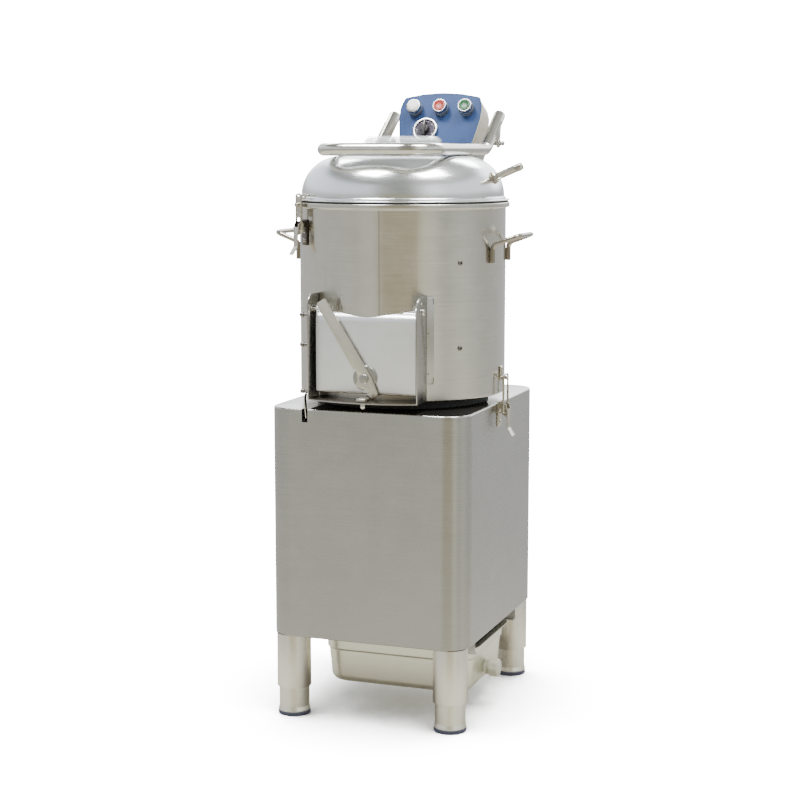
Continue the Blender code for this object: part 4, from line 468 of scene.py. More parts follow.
# Waste tray and its drain
TRAY_LENGTH = 0.325
TRAY_DEPTH = 0.265
TRAY_X = 0.0275
TRAY_TOP = 0.1425
TRAY_BOTTOM = 0.049
TRAY_RIM = 0.010
TRAY_SHEET = 0.0016
TRAY_CORNER = 0.045
TRAY_SHOULDER = 0.024
TRAY_SHOULDER_STEP = 0.003
TRAY_TAPER = 0.006
TRAY_TOE = 0.016
TRAY_STEPS = 12
DRAIN_Y = -0.030
DRAIN_Z = 0.078
DRAIN_RADIUS = 0.0105
DRAIN_FLANGE_RADIUS = 0.0150
DRAIN_FLANGE = 0.004
DRAIN_BODY = 0.012
DRAIN_INNER = 0.008
DRAIN_CAP_RADIUS = 0.0180
DRAIN_CAP_LENGTH = 0.018
DRAIN_CAP_SOCKET = 0.007
DRAIN_SIDES = 8
DRAIN_LOBE = 0.075           # how deep its grip's hollows go, and how they fall off
DRAIN_LOBE_FALL = 1.5

# Cable gland on the rear panel
GLAND_X = -0.110
GLAND_Z = 0.235
GLAND_RADIUS = 0.014
GLAND_BORE = 0.005
GLAND_LENGTH = 0.022

# Heads of screws and rivets, as radius, height and recess
PANEL_SCREW = (0.0042, 0.0024)
COVER_SCREW = (0.0042, 0.0026)
FASCIA_SCREW = (0.0032, 0.0018)
CASE_SCREW = (0.0038, 0.0022)
LINER_BOLT = (0.0048, 0.0034, "hex")
FLANGE_STUD = (0.0015, 0.0012, "")
PLATE_RIVET = (0.0026, 0.0015, "")
LATCH_RIVET = (0.0034, 0.0018, "")
HEAD_SUNK = 0.0001           # how far flat-seated heads are let in


class Signal:
    """A number on its way through a finish; arithmetic on it adds Math nodes."""

    def __init__(self, finish, socket):
        self.finish = finish
        self.socket = socket

    def math(self, operation, *others):
        return self.finish.number("ShaderNodeMath", {"operation": operation},
                                  dict(enumerate(others)))

    def __add__(self, other):
        return self.math("ADD", self, other)

    def __sub__(self, other):
        return self.math("SUBTRACT", self, other)

    def __rsub__(self, other):
        return self.math("SUBTRACT", other, self)

    def __mul__(self, other):
        return self.math("MULTIPLY", self, other)

    def __truediv__(self, other):
        return self.math("DIVIDE", self, other)

    def __pow__(self, other):
        return self.math("POWER", self, other)

    __radd__ = __add__
    __rmul__ = __mul__

    def between(self, low, high):
        """0 below one value, 1 above another, and a soft rise between them."""
        return self.finish.number("ShaderNodeMapRange", {"interpolation_type": "SMOOTHSTEP"},
                                  {0: self, 1: low, 2: high})


class Finish:
    """A surface finish: one Principled shader and the nodes that vary it over the surface."""

    def __init__(self, name, fixed=(), tree=None):
        if tree is None:
            self.material = bpy.data.materials.new(name)
            self.material.use_nodes = True
            tree = self.material.node_tree
            self.shader = tree.nodes["Principled BSDF"]
            for socket, value in dict(fixed).items():
                self.shader.inputs[socket].default_value = value
        self.tree = tree

    def feed(self, socket, value):
        if isinstance(value, Signal):
            value = value.socket
        if isinstance(value, bpy.types.NodeSocket):
            self.tree.links.new(value, socket)
        else:
            socket.default_value = value

    def node(self, kind, settings=(), inputs=()):
        """Adds a node: its settings first, then the values or links of its sockets."""
        made = self.tree.nodes.new(kind)
        for setting, value in dict(settings).items():
            if setting == "stops":
                stops = made.color_ramp.elements
                while len(stops) < len(value):
                    stops.new(1.0)
                for stop, (position, colour) in zip(stops, value):
                    stop.position = position
                    stop.color = (*colour, 1.0)
            else:
                setattr(made, setting, value)
        for socket, value in dict(inputs).items():
            self.feed(made.inputs[socket], value)
        return made

    def number(self, kind, settings=(), inputs=(), output=0):
        return Signal(self, self.node(kind, settings, inputs).outputs[output])

    def place(self):
        """Where a point lies on the machine at rest, in metres."""
        return self.node("ShaderNodeTexCoord").outputs["Object"]

    def stretched(self, place, factors):
        return self.node("ShaderNodeVectorMath", {"operation": "MULTIPLY"},
                         {0: place, 1: factors}).outputs[0]

    def noise(self, place, scale, detail=2.0, rough=0.5):
        return self.number("ShaderNodeTexNoise", {}, {"Vector": place, "Scale": scale,
                                                      "Detail": detail, "Roughness": rough})

    def mix(self, share, first, second):
        made = self.node("ShaderNodeMix", {"data_type": "RGBA", "clamp_factor": True},
                         {0: share, 6: (*first, 1.0) if isinstance(first, tuple) else first,
                          7: (*second, 1.0) if isinstance(second, tuple) else second})
        return made.outputs[2]

    def worn_edges(self, low=0.515, high=0.56):
        """1 along the outer edges, where handling rubs first."""
        sharpness = Signal(self, self.node("ShaderNodeNewGeometry").outputs["Pointiness"])
        return sharpness.between(low, high)

    def relief(self, height, distance, strength=1.0):
        bump = self.node("ShaderNodeBump", {}, {"Strength": strength, "Distance": distance,
                                                "Height": height})
        self.feed(self.shader.inputs["Normal"], bump.outputs["Normal"])

    def dress(self, **sockets):
        for name, value in sockets.items():
            if isinstance(value, tuple):
                value = (*value, 1.0)
            self.feed(self.shader.inputs[name.replace("_", " ").title()], value)
        return self.material


def shade(colour, factor):
    return tuple(min(channel * factor, 1.0) for channel in colour)


def brushed_sheet(name, colour, roughness, grain, depth, clouding=0.05, stretch=0.6):
    """Stainless sheet: strokes of the brushing belt, soft clouding and faint handling marks."""
    finish = Finish(name, {"Metallic": 1.0, "Anisotropic": stretch, "Anisotropic Rotation": 0.25})
    place = finish.place()
    strokes = finish.noise(finish.stretched(place, grain), 1.0, 4.0, 0.6)
    hairs = finish.noise(finish.stretched(place, [3.1 * share for share in grain]), 1.0, 2.0)
    clouds = finish.noise(place, 4.5, 3.0)
    marks = finish.noise(place, 26.0, 5.0, 0.65)
    tone = strokes * 0.35 + clouds * 0.45 + marks * 0.2
    rubbed = finish.worn_edges()
    body = finish.mix(tone.between(0.30, 0.70), shade(colour, 1 - clouding),
                      shade(colour, 1 + clouding))
    finish.relief(strokes * 0.65 + hairs * 0.35, depth, 0.5)
    return finish.dress(base_color=finish.mix(rubbed * 0.35, body, shade(colour, 1.2)),
                        roughness=roughness + (strokes - 0.5) * 0.16 + (marks - 0.5) * 0.10)


def polished_bar(name, colour, roughness, depth=0.00003):
    """Polished bar and wire: near mirror, with drawing lines and a few dull touches."""
    finish = Finish(name, {"Metallic": 1.0})
    place = finish.place()
    lines = finish.noise(finish.stretched(place, (60.0, 60.0, 60.0)), 1.0, 3.0)
    touches = finish.noise(place, 90.0, 4.0, 0.6)
    rubbed = finish.worn_edges()
    tone = (lines * 0.5 + touches * 0.5).between(0.35, 0.65)
    body = finish.mix(tone, shade(colour, 0.94), shade(colour, 1.05))
    finish.relief(lines * 0.6 + touches * 0.4, depth, 0.4)
    return finish.dress(base_color=finish.mix(rubbed * 0.4, body, shade(colour, 1.25)),
                        roughness=roughness + (touches - 0.5) * 0.10)


def plated_fitting(name, colour, roughness):
    """Plated pressings: uneven bright plating with darker stains in it."""
    finish = Finish(name, {"Metallic": 0.95})
    place = finish.place()
    stains = finish.noise(place, 160.0, 5.0, 0.7)
    spangle = finish.number("ShaderNodeTexVoronoi", {}, {"Vector": place, "Scale": 420.0})
    tone = (stains * 0.8 + spangle * 0.2).between(0.34, 0.62)
    body = finish.mix(tone, shade(colour, 0.80), shade(colour, 1.14))
    finish.relief(stains, 0.00008, 0.3)
    return finish.dress(base_color=finish.mix(finish.worn_edges() * 0.4, body, shade(colour, 1.4)),
                        roughness=roughness + (stains - 0.5) * 0.20)


def moulded(name, colour, roughness, grain_scale, depth, clouding, wear, specular=0.5):
    """Moulded or painted skin: fine texture, slight colour drift and paler rubbed edges."""
    finish = Finish(name, {"Specular IOR Level": specular})
    place = finish.place()
    skin = finish.noise(place, grain_scale, 3.0, 0.6)
    drift = finish.noise(place, 14.0, 4.0)
    dust = finish.noise(place, 70.0, 5.0, 0.7)
    tone = (drift * 0.6 + dust * 0.4).between(0.32, 0.68)
    body = finish.mix(tone, shade(colour, 1 - clouding), shade(colour, 1 + clouding))
    finish.relief(skin, depth, 0.4)
    return finish.dress(base_color=finish.mix(finish.worn_edges() * 0.5, body, shade(colour, wear)),
                        roughness=roughness + (dust - 0.5) * 0.16 + (skin - 0.5) * 0.06)


def cast_metal(name, colour, roughness, metallic):
    """Sand-cast and painted housings: pebbly skin with dark pits."""
    finish = Finish(name, {"Metallic": metallic})
    place = finish.place()
    pebbles = finish.noise(place, 320.0, 6.0, 0.7)
    patches = finish.noise(place, 18.0, 3.0)
    body = finish.mix((pebbles * 0.6 + patches * 0.4).between(0.3, 0.7), shade(colour, 0.7),
                      shade(colour, 1.35))
    finish.relief(pebbles, 0.0004, 0.6)
    return finish.dress(base_color=finish.mix(finish.worn_edges() * 0.5, body, shade(colour, 1.9)),
                        roughness=roughness + (pebbles - 0.5) * 0.2)


def grit(name, colour):
    """Abrasive coating: sharp mineral grains, some of them glinting."""
    finish = Finish(name, {"Specular IOR Level": 0.6})
    place = finish.place()
    grains = finish.number("ShaderNodeTexVoronoi", {"feature": "F1"},
                           {"Vector": place, "Scale": 520.0})
    crust = finish.noise(place, 240.0, 6.0, 0.75)
    height = (1 - grains) * 0.6 + crust * 0.4
    finish.relief(height, 0.0012, 0.9)
    return finish.dress(base_color=finish.mix(height.between(0.35, 0.75), shade(colour, 0.5),
                                              shade(colour, 2.1)),
                        roughness=0.95 - crust * 0.25)


def lens(name, colour, glow):
    """Tinted lens: a saturated body with a paler cloudy heart, as frosted inside."""
    finish = Finish(name, {"Specular IOR Level": 0.35, "Coat Weight": 0.15, "Coat Roughness": 0.08})
    place = finish.place()
    flakes = finish.noise(place, 260.0, 4.0, 0.65)
    facets = finish.number("ShaderNodeTexVoronoi", {}, {"Vector": place, "Scale": 380.0})
    tone = (flakes * 0.65 + facets * 0.35).between(0.30, 0.62)
    finish.relief(flakes, 0.0003, 0.35)
    return finish.dress(base_color=finish.mix(tone, colour, glow), roughness=0.26 + flakes * 0.15)


def clear_plastic(name):
    """Clear moulded cover: thin, slightly grey, with fine scuffs that catch the light."""
    finish = Finish(name, {"Specular IOR Level": 0.8, "Coat Weight": 0.8, "Coat Roughness": 0.05})
    place = finish.place()
    scuffs = finish.noise(finish.stretched(place, (40.0, 260.0, 90.0)), 1.0, 5.0, 0.65)
    haze = finish.noise(place, 16.0, 3.0)
    finish.relief(scuffs, 0.00006, 0.3)
    return finish.dress(base_color=finish.mix(haze, (0.66, 0.69, 0.72), (0.86, 0.88, 0.90)),
                        roughness=0.07 + scuffs * 0.14,
                        alpha=0.30 + haze * 0.10 + scuffs.between(0.52, 0.72) * 0.30)


def weld_bead(name, colour):
    """Ground weld: ripples along the bead with straw and brown heat tint."""
    finish = Finish(name, {"Metallic": 1.0})
    place = finish.place()
    ripples = finish.noise(finish.stretched(place, (200.0, 200.0, 700.0)), 1.0, 3.0)
    tint = finish.noise(place, 30.0, 2.0)
    finish.relief(ripples, 0.0004, 0.6)
    return finish.dress(base_color=finish.mix(tint, colour, shade(colour, 1.6)),
                        roughness=0.38 + ripples * 0.2)


# Strokes of the brushing belt, as scales of the noise along X, Y and Z
LEVEL_GRAIN = (9.0, 9.0, 1100.0)
LEG_GRAIN = (60.0, 60.0, 420.0)
DOOR_GRAIN = (60.0, 60.0, 90.0)
DOME_GRAIN = (30.0, 30.0, 260.0)
CHUTE_GRAIN = (40.0, 40.0, 300.0)
LEVER_GRAIN = (160.0, 160.0, 260.0)
TRAY_GRAIN = (30.0, 30.0, 500.0)

# After the name and colour come, for sheet: roughness, grain, depth of the strokes, clouding and
# how far glints are drawn out; for bar: roughness and depth of the lines; for moulded skin:
# roughness, scale and depth of its texture, colour drift, paleness of rubbed edges and gloss; for
# a lens: its cloudy heart.
FINISHES = {finish.name: finish for finish in (
    brushed_sheet("brushed", (0.405, 0.402, 0.380), 0.27, LEVEL_GRAIN, 0.00005),
    brushed_sheet("drum_steel", (0.585, 0.575, 0.53), 0.24, LEVEL_GRAIN, 0.00004),
    brushed_sheet("leg_steel", (0.84, 0.815, 0.735), 0.32, LEG_GRAIN, 0.00004, 0.04, 0.0),
    brushed_sheet("sleeve_steel", (0.98, 0.955, 0.84), 0.34, LEG_GRAIN, 0.00004, 0.03, 0.0),
    brushed_sheet("satin", (0.86, 0.875, 0.90), 0.36, DOOR_GRAIN, 0.00003, 0.025, 0.0),
    brushed_sheet("dome_steel", (0.78, 0.80, 0.82), 0.20, DOME_GRAIN, 0.00002, 0.02, 0.0),
    polished_bar("polished", (0.70, 0.685, 0.64), 0.16),
    plated_fitting("plated", (0.50, 0.47, 0.40), 0.26),
    plated_fitting("zinc", (0.42, 0.42, 0.41), 0.42),
    cast_metal("cast", (0.18, 0.21, 0.24), 0.55, 0.3),
    grit("abrasive", (0.10, 0.10, 0.11)),
    # Black rubber of the drive belt, also the painted shade on the seat ring under the drum
    moulded("rubber", (0.028, 0.028, 0.03), 0.72, 700.0, 0.0002, 0.25, 2.0),
    # Near-black painted shade for the sheet under the front of the drum
    moulded("gasket", (0.010, 0.009, 0.008), 0.85, 500.0, 0.0002, 0.25, 1.5, 0.05),
    moulded("blue", (0.025, 0.052, 0.142), 0.50, 1100.0, 0.00022, 0.24, 1.4, 0.16),
    moulded("box_grey", (0.46, 0.44, 0.39), 0.38, 900.0, 0.0001, 0.04, 1.1),
    moulded("black", (0.014, 0.013, 0.014), 0.42, 800.0, 0.0001, 0.25, 2.5, 0.25),
    moulded("dial", (0.060, 0.053, 0.072), 0.50, 900.0, 0.00015, 0.26, 1.6, 0.06),
    lens("green", (0.003, 0.042, 0.012), (0.012, 0.11, 0.035)),
    lens("red", (0.20, 0.007, 0.005), (0.36, 0.030, 0.024)),
    lens("white", (0.80, 0.82, 0.80), (0.93, 0.94, 0.93)),
    clear_plastic("clear"),
    moulded("ivory", (0.60, 0.60, 0.50), 0.45, 600.0, 0.0002, 0.05, 1.12, 0.15),
    brushed_sheet("chute_steel", (0.385, 0.38, 0.355), 0.30, CHUTE_GRAIN, 0.00004, 0.05, 0.0),
    # Dark brown painted shade for the shadowed floor of the chute
    brushed_sheet("chute_floor", (0.10, 0.085, 0.065), 0.42, CHUTE_GRAIN, 0.00004, 0.15, 0.0),
    polished_bar("tube_steel", (0.60, 0.585, 0.54), 0.15),
    brushed_sheet("lever_steel", (0.66, 0.63, 0.545), 0.34, LEVER_GRAIN, 0.00006, 0.06, 0.0),
    brushed_sheet("tray_steel", (0.82, 0.81, 0.70), 0.36, TRAY_GRAIN, 0.00004, 0.04, 0.0),
    polished_bar("chrome", (0.38, 0.385, 0.38), 0.18, 0.00001),
    polished_bar("handle_steel", (0.34, 0.31, 0.265), 0.15),
    polished_bar("pipe_steel", (0.47, 0.44, 0.385), 0.20, 0.00005),
    moulded("collar", (0.085, 0.10, 0.13), 0.34, 800.0, 0.0001, 0.15, 1.6),
    # Pale cream painted highlight for the fascia's edge
    moulded("edge_grey", (0.66, 0.64, 0.56), 0.35, 900.0, 0.0001, 0.04, 1.1),
    moulded("foot_blue", (0.060, 0.066, 0.105), 0.50, 800.0, 0.0001, 0.15, 2.2),
    plated_fitting("latch_dark", (0.060, 0.048, 0.036), 0.30),
    weld_bead("weld", (0.20, 0.165, 0.12)),
    plated_fitting("bolt_dark", (0.17, 0.16, 0.15), 0.34),
)}


def shape(bm):
    """Merges doubles, turns the normals outward and shades the faces smooth."""
    bmesh.ops.remove_doubles(bm, verts=bm.verts, dist=SEAT_GAP / 100)
    bmesh.ops.recalc_face_normals(bm, faces=bm.faces)
    for face in bm.faces:
        face.smooth = True
    return bm


def mesh_of(name, bm):
    mesh = bpy.data.meshes.new(name)
    bm.to_mesh(mesh)
    bm.free()
    return mesh


def worked(bm, *steps):
    """Joins or cuts a solid with others, each step an operation, a solid and its place."""
    body = bpy.data.objects.new("blank", mesh_of("blank", bm))
    bpy.context.scene.collection.objects.link(body)
    tools = []
    for operation, operand, *where in steps:
        if where:
            bmesh.ops.transform(operand, verts=operand.verts, matrix=where[0])
        tool = bpy.data.objects.new("tool", mesh_of("tool", operand))
        bpy.context.scene.collection.objects.link(tool)
        tools.append(tool)
        step = body.modifiers.new(operation, "BOOLEAN")
        step.operation = operation
        step.solver = "EXACT"
        step.object = tool
    ready = body.evaluated_get(bpy.context.evaluated_depsgraph_get())
    result = bmesh.new()
    result.from_mesh(ready.to_mesh())
    ready.to_mesh_clear()
    for item in [body, *tools]:
        data = item.data
        bpy.data.objects.remove(item, do_unlink=True)
        bpy.data.meshes.remove(data)
    return result


def cut(bm, *where):
    return ("DIFFERENCE", bm, *where)


def join(bm, *where):
    return ("UNION", bm, *where)


def eased(bm, width, segments=3):
    """Rounds every hard edge of a solid by a small radius."""
    bmesh.ops.remove_doubles(bm, verts=bm.verts, dist=SEAT_GAP / 30)
    bmesh.ops.dissolve_limit(bm, angle_limit=FLAT_ANGLE, verts=bm.verts, edges=bm.edges)
    hard = [edge for edge in bm.edges
            if len(edge.link_faces) == 2 and edge.calc_face_angle(0) > HARD_ANGLE]
    bmesh.ops.bevel(bm, geom=hard, offset=width, segments=segments, profile=0.5, affect="EDGES",
                    clamp_overlap=True, harden_normals=False)
    return bm


def piece(name, bm, finish, body, where=None, replaces=(), sharp=SMOOTH_ANGLE):
    """One visible piece: its mesh at its place on the machine, its finish and its body."""
    if where is not None:
        bmesh.ops.transform(bm, verts=bm.verts, matrix=where)
    for face in bm.faces:
        face.smooth = True
    mesh = mesh_of(name, bm)
    mesh.set_sharp_from_angle(angle=math.radians(sharp))
    mesh.materials.append(FINISHES[finish])
    item = bpy.data.objects.new(name, mesh)
    bpy.context.scene.collection.objects.link(item)
    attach(item, body)
    if replaces:
        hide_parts(*replaces)
    return item


def stand_in(node, bm, where=None, finish=None, sharp=SMOOTH_ANGLE):
    """A smoother piece in the place of one CAD node, on its body, with the finish of its slot
    unless another is given.
    """
    slot = SLOTS[node]
    return piece(f"{node}_skin", bm, finish or slot, BODIES[node], where, (node,), sharp)


def eased_copy(node, width, segments=2, finish=None):
    """A node's own shape with its hard edges rounded."""
    bm = bmesh.new()
    bm.from_mesh(frame["nodes"][node].data)
    return stand_in(node, eased(bm, width, segments), None, finish)


def fitting(name, bm, finish, where=None):
    """A fastener, weld or trim that is fixed to the machine."""
    return piece(name, bm, finish, "machine", where, ())


def repaint(item, finish, chosen):
    """Gives a second finish to the faces that a test picks."""
    item.data.materials.append(FINISHES[finish])
    for polygon in item.data.polygons:
        if chosen(polygon):
            polygon.material_index = 1


def mirrored(sign, near, far):
    """Both limits of a layer on one side of the middle, the lower one first."""
    return sorted((sign * near, sign * far))


def place(x=0.0, y=0.0, z=0.0):
    return Matrix.Translation((x, y, z))


def turned(axis, angle):
    return Matrix.Rotation(angle, 4, axis)


def box(x0, x1, y0, y1, z0, z1):
    bm = bmesh.new()
    bmesh.ops.create_cube(bm, size=1.0)
    bmesh.ops.scale(bm, verts=bm.verts, vec=(x1 - x0, y1 - y0, z1 - z0))
    bmesh.ops.translate(bm, verts=bm.verts, vec=((x0 + x1) / 2, (y0 + y1) / 2, (z0 + z1) / 2))
    return shape(bm)


def arc(centre, radius, start, end, steps):
    """Points of a circular arc in a plane, both ends included."""
    return [(centre[0] + radius * math.cos(start + (end - start) * k / steps),
             centre[1] + radius * math.sin(start + (end - start) * k / steps))
            for k in range(steps + 1)]


def rounded_rectangle(x0, x1, y0, y1, radius, steps):
    corners = (((x1 - radius, y1 - radius), 0), ((x0 + radius, y1 - radius), 1),
               ((x0 + radius, y0 + radius), 2), ((x1 - radius, y0 + radius), 3))
    return [point for centre, turn in corners
            for point in arc(centre, radius, turn * QUARTER, (turn + 1) * QUARTER, steps)]


def filleted(points, radii, steps, closed=False):
    """Replaces the corners of a path by arcs of the given radii, where zero keeps a corner."""
    path = [Vector((*point, 0)) if len(point) == 2 else Vector(point) for point in points]
    count = len(path)
    result = []
    for index, corner in enumerate(path):
        radius = radii[index] if isinstance(radii, (list, tuple)) else radii
        at_end = not closed and index in (0, count - 1)
        if at_end or radius == 0:
            result.append(corner)
            continue
        before = (path[index - 1] - corner).normalized()
        after = (path[(index + 1) % count] - corner).normalized()
        half = before.angle(after) / 2
        if half > QUARTER - 0.001:
            result.append(corner)
            continue
        centre = corner + (before + after).normalized() * (radius / math.sin(half))
        first = corner + before * (radius / math.tan(half)) - centre
        last = corner + after * (radius / math.tan(half)) - centre
        sweep = math.pi - 2 * half
        for k in range(steps + 1):
            share = k / steps
            mixed = (first * math.sin((1 - share) * sweep) + last * math.sin(share * sweep))
            result.append(centre + mixed / math.sin(sweep))
    return result


def flat(points):
    return [(point.x, point.y) for point in points]


def revolve(profile, steps):
    """Spins a closed (radius, height) outline about Z."""
    bm = bmesh.new()
    ring = [bm.verts.new((radius, 0.0, height)) for radius, height in profile]
    edges = [bm.edges.new((ring[k - 1], ring[k])) for k in range(len(ring))
             if profile[k - 1][0] > 0 or profile[k][0] > 0]
    bmesh.ops.spin(bm, geom=ring + edges, cent=(0, 0, 0), axis=(0, 0, 1),
                   angle=2 * math.pi, steps=steps, use_merge=True, use_duplicate=False)
    bmesh.ops.delete(bm, geom=[edge for edge in bm.edges if not edge.link_faces], context="EDGES")
    return shape(bm)


def turned_solid(profile, radii, steps):
    """Spins an outline whose corners are rounded first."""
    rounded = [(max(x, 0.0), y) for x, y in flat(filleted(profile, radii, 5, closed=True))]
    return revolve(rounded, steps)


def prism(outline, low, high):
    """Extrudes a closed (x, y) outline from one height to another."""
    bm = bmesh.new()
    base = bm.faces.new([bm.verts.new((point[0], point[1], low)) for point in outline])
    grown = bmesh.ops.extrude_face_region(bm, geom=[base])["geom"]
    top = [item for item in grown if isinstance(item, bmesh.types.BMVert)]
    bmesh.ops.translate(bm, verts=top, vec=(0, 0, high - low))
    return shape(bm)


def laid(bm, *rows):
    """Swaps a solid's axes: each row says which one the new X, Y or Z comes from."""
    bmesh.ops.transform(bm, verts=bm.verts, matrix=Matrix(rows).to_4x4())
    return shape(bm)


def side_prism(outline, left, right):
    """Extrudes a closed (y, z) outline along X from left to right."""
    return laid(prism(outline, left, right), (0, 0, 1), (1, 0, 0), (0, 1, 0))


def front_prism(outline, front, back):
    """Extrudes a closed (x, z) outline along Y from one depth to another."""
    return laid(prism(outline, front, back), (1, 0, 0), (0, 0, 1), (0, 1, 0))


def along_x(bm):
    """Lays a solid built about Z down about X."""
    bmesh.ops.transform(bm, verts=bm.verts, matrix=turned("Y", QUARTER))
    return bm


def along_y(bm, sign=-1):
    """Lays a solid built about Z down about Y, its top towards -Y or +Y."""
    bmesh.ops.transform(bm, verts=bm.verts, matrix=turned("X", -sign * QUARTER))
    return bm


def disc(radius, low, high, steps=ROUND_STEPS):
    return revolve([(0, low), (radius, low), (radius, high), (0, high)], steps)


def loft(loops):
    """Bridges closed loops of equal length in turn and caps both ends."""
    bm = bmesh.new()
    rings = [[bm.verts.new(point) for point in loop] for loop in loops]
    count = len(rings[0])
    for lower, upper in zip(rings, rings[1:]):
        for k in range(count):
            bm.faces.new((lower[k - 1], lower[k], upper[k], upper[k - 1]))
    bm.faces.new(rings[0])
    bm.faces.new(rings[-1])
    return shape(bm)


def tube(path, radius, sides, round_ends=0.0):
    """Sweeps a circle along a path; the rings carry no twist and the ends may be rounded."""
    points = [Vector(point) for point in path]
    normal = None
    loops = []
    for index, point in enumerate(points):
        ahead = points[min(index + 1, len(points) - 1)]
        behind = points[max(index - 1, 0)]
        inward = (point - behind).normalized() if index else (ahead - point).normalized()
        outward = (ahead - point).normalized() if index < len(points) - 1 else inward
        direction = (inward + outward).normalized()
        if normal is None:
            normal = direction.orthogonal().normalized()
        normal = (normal - direction * normal.dot(direction)).normalized()
        across = direction.cross(normal)

        def ring(at, size):
            return [at + (normal * math.cos(2 * math.pi * k / sides)
                          + across * math.sin(2 * math.pi * k / sides)) * size
                    for k in range(sides)]
        ends = []
        if round_ends and index in (0, len(points) - 1):
            for k in range(5):
                share = QUARTER * (1 - k / 5)
                ends.append((round_ends * (1 - math.sin(share)),
                             radius - round_ends * (1 - math.cos(share))))
        if index == 0 and ends:
            loops += [ring(point + direction * step, size) for step, size in ends]
            loops.append(ring(point + direction * round_ends, radius))
        elif index == len(points) - 1 and ends:
            loops.append(ring(point - direction * round_ends, radius))
            loops += [ring(point - direction * step, size) for step, size in reversed(ends)]
        else:
            loops.append(ring(point, radius))
    return loft(loops)


def pan_head(radius, height, slot="cross"):
    """A domed head on z = 0 with a cross or hex recess, or with none for a rivet."""
    profile = [(0, 0), (radius, 0), (radius, height * 0.35)]
    steps = 8
    profile += [(radius * math.cos(QUARTER * k / steps),
                 height * 0.35 + height * 0.65 * math.sin(QUARTER * k / steps))
                for k in range(1, steps + 1)]
    profile[-1] = (0, height)
    head = revolve(profile, 28)
    if slot == "cross":
        half = radius * 0.11
        reach = radius * 0.52
        deep = height * 0.45
        return worked(head, cut(box(-reach, reach, -half, half, deep, height * 2)),
                      cut(box(-half, half, -reach, reach, deep, height * 2)))
    if slot == "hex":
        return worked(head, cut(disc(radius * 0.5, height * 0.4, height * 2, 6)))
    return head


def held(outline, margin):
    """An outline with points beside its corners, which keep soft shading off the flat faces."""
    points = []
    for (x, y), (far_x, far_y) in zip(outline, outline[1:] + outline[:1]):
        points.append((x, y))
        length = math.hypot(far_x - x, far_y - y)
        if length > 10 * margin:
            points += [(x + (far_x - x) * share, y + (far_y - y) * share)
                       for share in (margin / length, 1 - margin / length)]
    return points


def build_cabinet():
    """The wrapped cabinet with its folded top edge, the seat ring and the tongue's slot."""
    half_w = CABINET_WIDTH / 2
    half_d = CABINET_DEPTH / 2
    fold = CABINET_FOLD
    low = CABINET_BOTTOM

    def wrap(inset, z):
        outline = rounded_rectangle(-half_w + inset, half_w - inset, -half_d + inset,
                                    half_d - inset, CABINET_CORNER - inset, CORNER_STEPS)
        return [(x, y, z) for x, y in held(list(outline), fold)]
    loops = [wrap(CABINET_HEM, low), wrap(0, low + CABINET_HEM), wrap(0, low + fold),
             wrap(0, CABINET_TOP - 2 * fold)]
    loops += [wrap(fold - fold * math.cos(turn), CABINET_TOP - fold + fold * math.sin(turn))
              for turn in (QUARTER * k / 6 for k in range(7))]
    sheet = CABINET_SHEET
    cap_floor = CABINET_TOP - sheet
    inside = loft([wrap(sheet, low - CUT_OVERRUN), wrap(sheet, CABINET_TOP - fold),
                   wrap(fold, CABINET_TOP - sheet)])
    slot_x = -CHUTE_HALF_WIDTH - CHUTE_SHEET - TONGUE_BULGE
    slot_back = CHUTE_FRONT + TONGUE_SETBACK + TONGUE_WIDTH + SLOT_CLEAR
    slot_low = TONGUE_TOP - TONGUE_LENGTH - SLOT_DROP
    ring = revolve([(SEAT_RING_INNER, CABINET_TOP - sheet), (SEAT_RING_OUTER, CABINET_TOP - sheet),
                    (SEAT_RING_OUTER, DRUM_BOTTOM - SEAT_GAP),
                    (SEAT_RING_INNER, DRUM_BOTTOM - SEAT_GAP)], DRUM_STEPS)
    hub = disc(HUB_BORE, cap_floor - CUT_OVERRUN, CABINET_TOP + CUT_OVERRUN)
    pipe_hole = disc(PIPE_RADIUS + RUNNING_GAP, cap_floor - CUT_OVERRUN,
                     CABINET_TOP + CUT_OVERRUN)
    body = worked(
        loft(loops), cut(inside), join(ring, place(0, DRUM_Y)), cut(hub, place(0, DRUM_Y)),
        cut(pipe_hole, place(PIPE_X, DRUM_Y)),
        cut(box(-SERVICE_WIDTH / 2, SERVICE_WIDTH / 2, half_d - sheet - CUT_OVERRUN,
                half_d + CUT_OVERRUN, SERVICE_BOTTOM, SERVICE_TOP)),
        cut(box(slot_x - SLOT_WIDTH / 2, slot_x + SLOT_WIDTH / 2, -half_d - CUT_OVERRUN, slot_back,
                slot_low, CABINET_TOP + CUT_OVERRUN)))
    skin = piece("cabinet_skin", body, "brushed", "machine", None,
                 ("cabinet_shell", "cabinet_top"))
    # The seat ring's faces take the black rubber finish as painted shade of the dark gap under the
    # drum
    repaint(skin, "rubber", lambda polygon: polygon.center.z > CABINET_TOP + SEAT_GAP)


def build_painted_shade_sheet():
    """A black sheet that lies on the cabinet's top under the front of the drum: painted shade of
    the dark gap beneath the drum.
    """
    half_w = CABINET_WIDTH / 2 - APRON_MARGIN
    half_d = CABINET_DEPTH / 2 - APRON_MARGIN
    left = -CHUTE_HALF_WIDTH - CHUTE_SHEET
    outline = [(left, -half_d), (half_w, -half_d), (half_w, APRON_SHOULDER), APRON_BACK,
               (left, APRON_BACK[1])]
    eases = [APRON_EASE, CABINET_CORNER - APRON_MARGIN, *APRON_BENDS, APRON_EASE]
    sheet = prism(flat(filleted(outline, eases, 10, closed=True)), *APRON_LEVELS)
    fitting("seat_gasket", eased(sheet, FINE_EDGE, 2), "gasket", None)


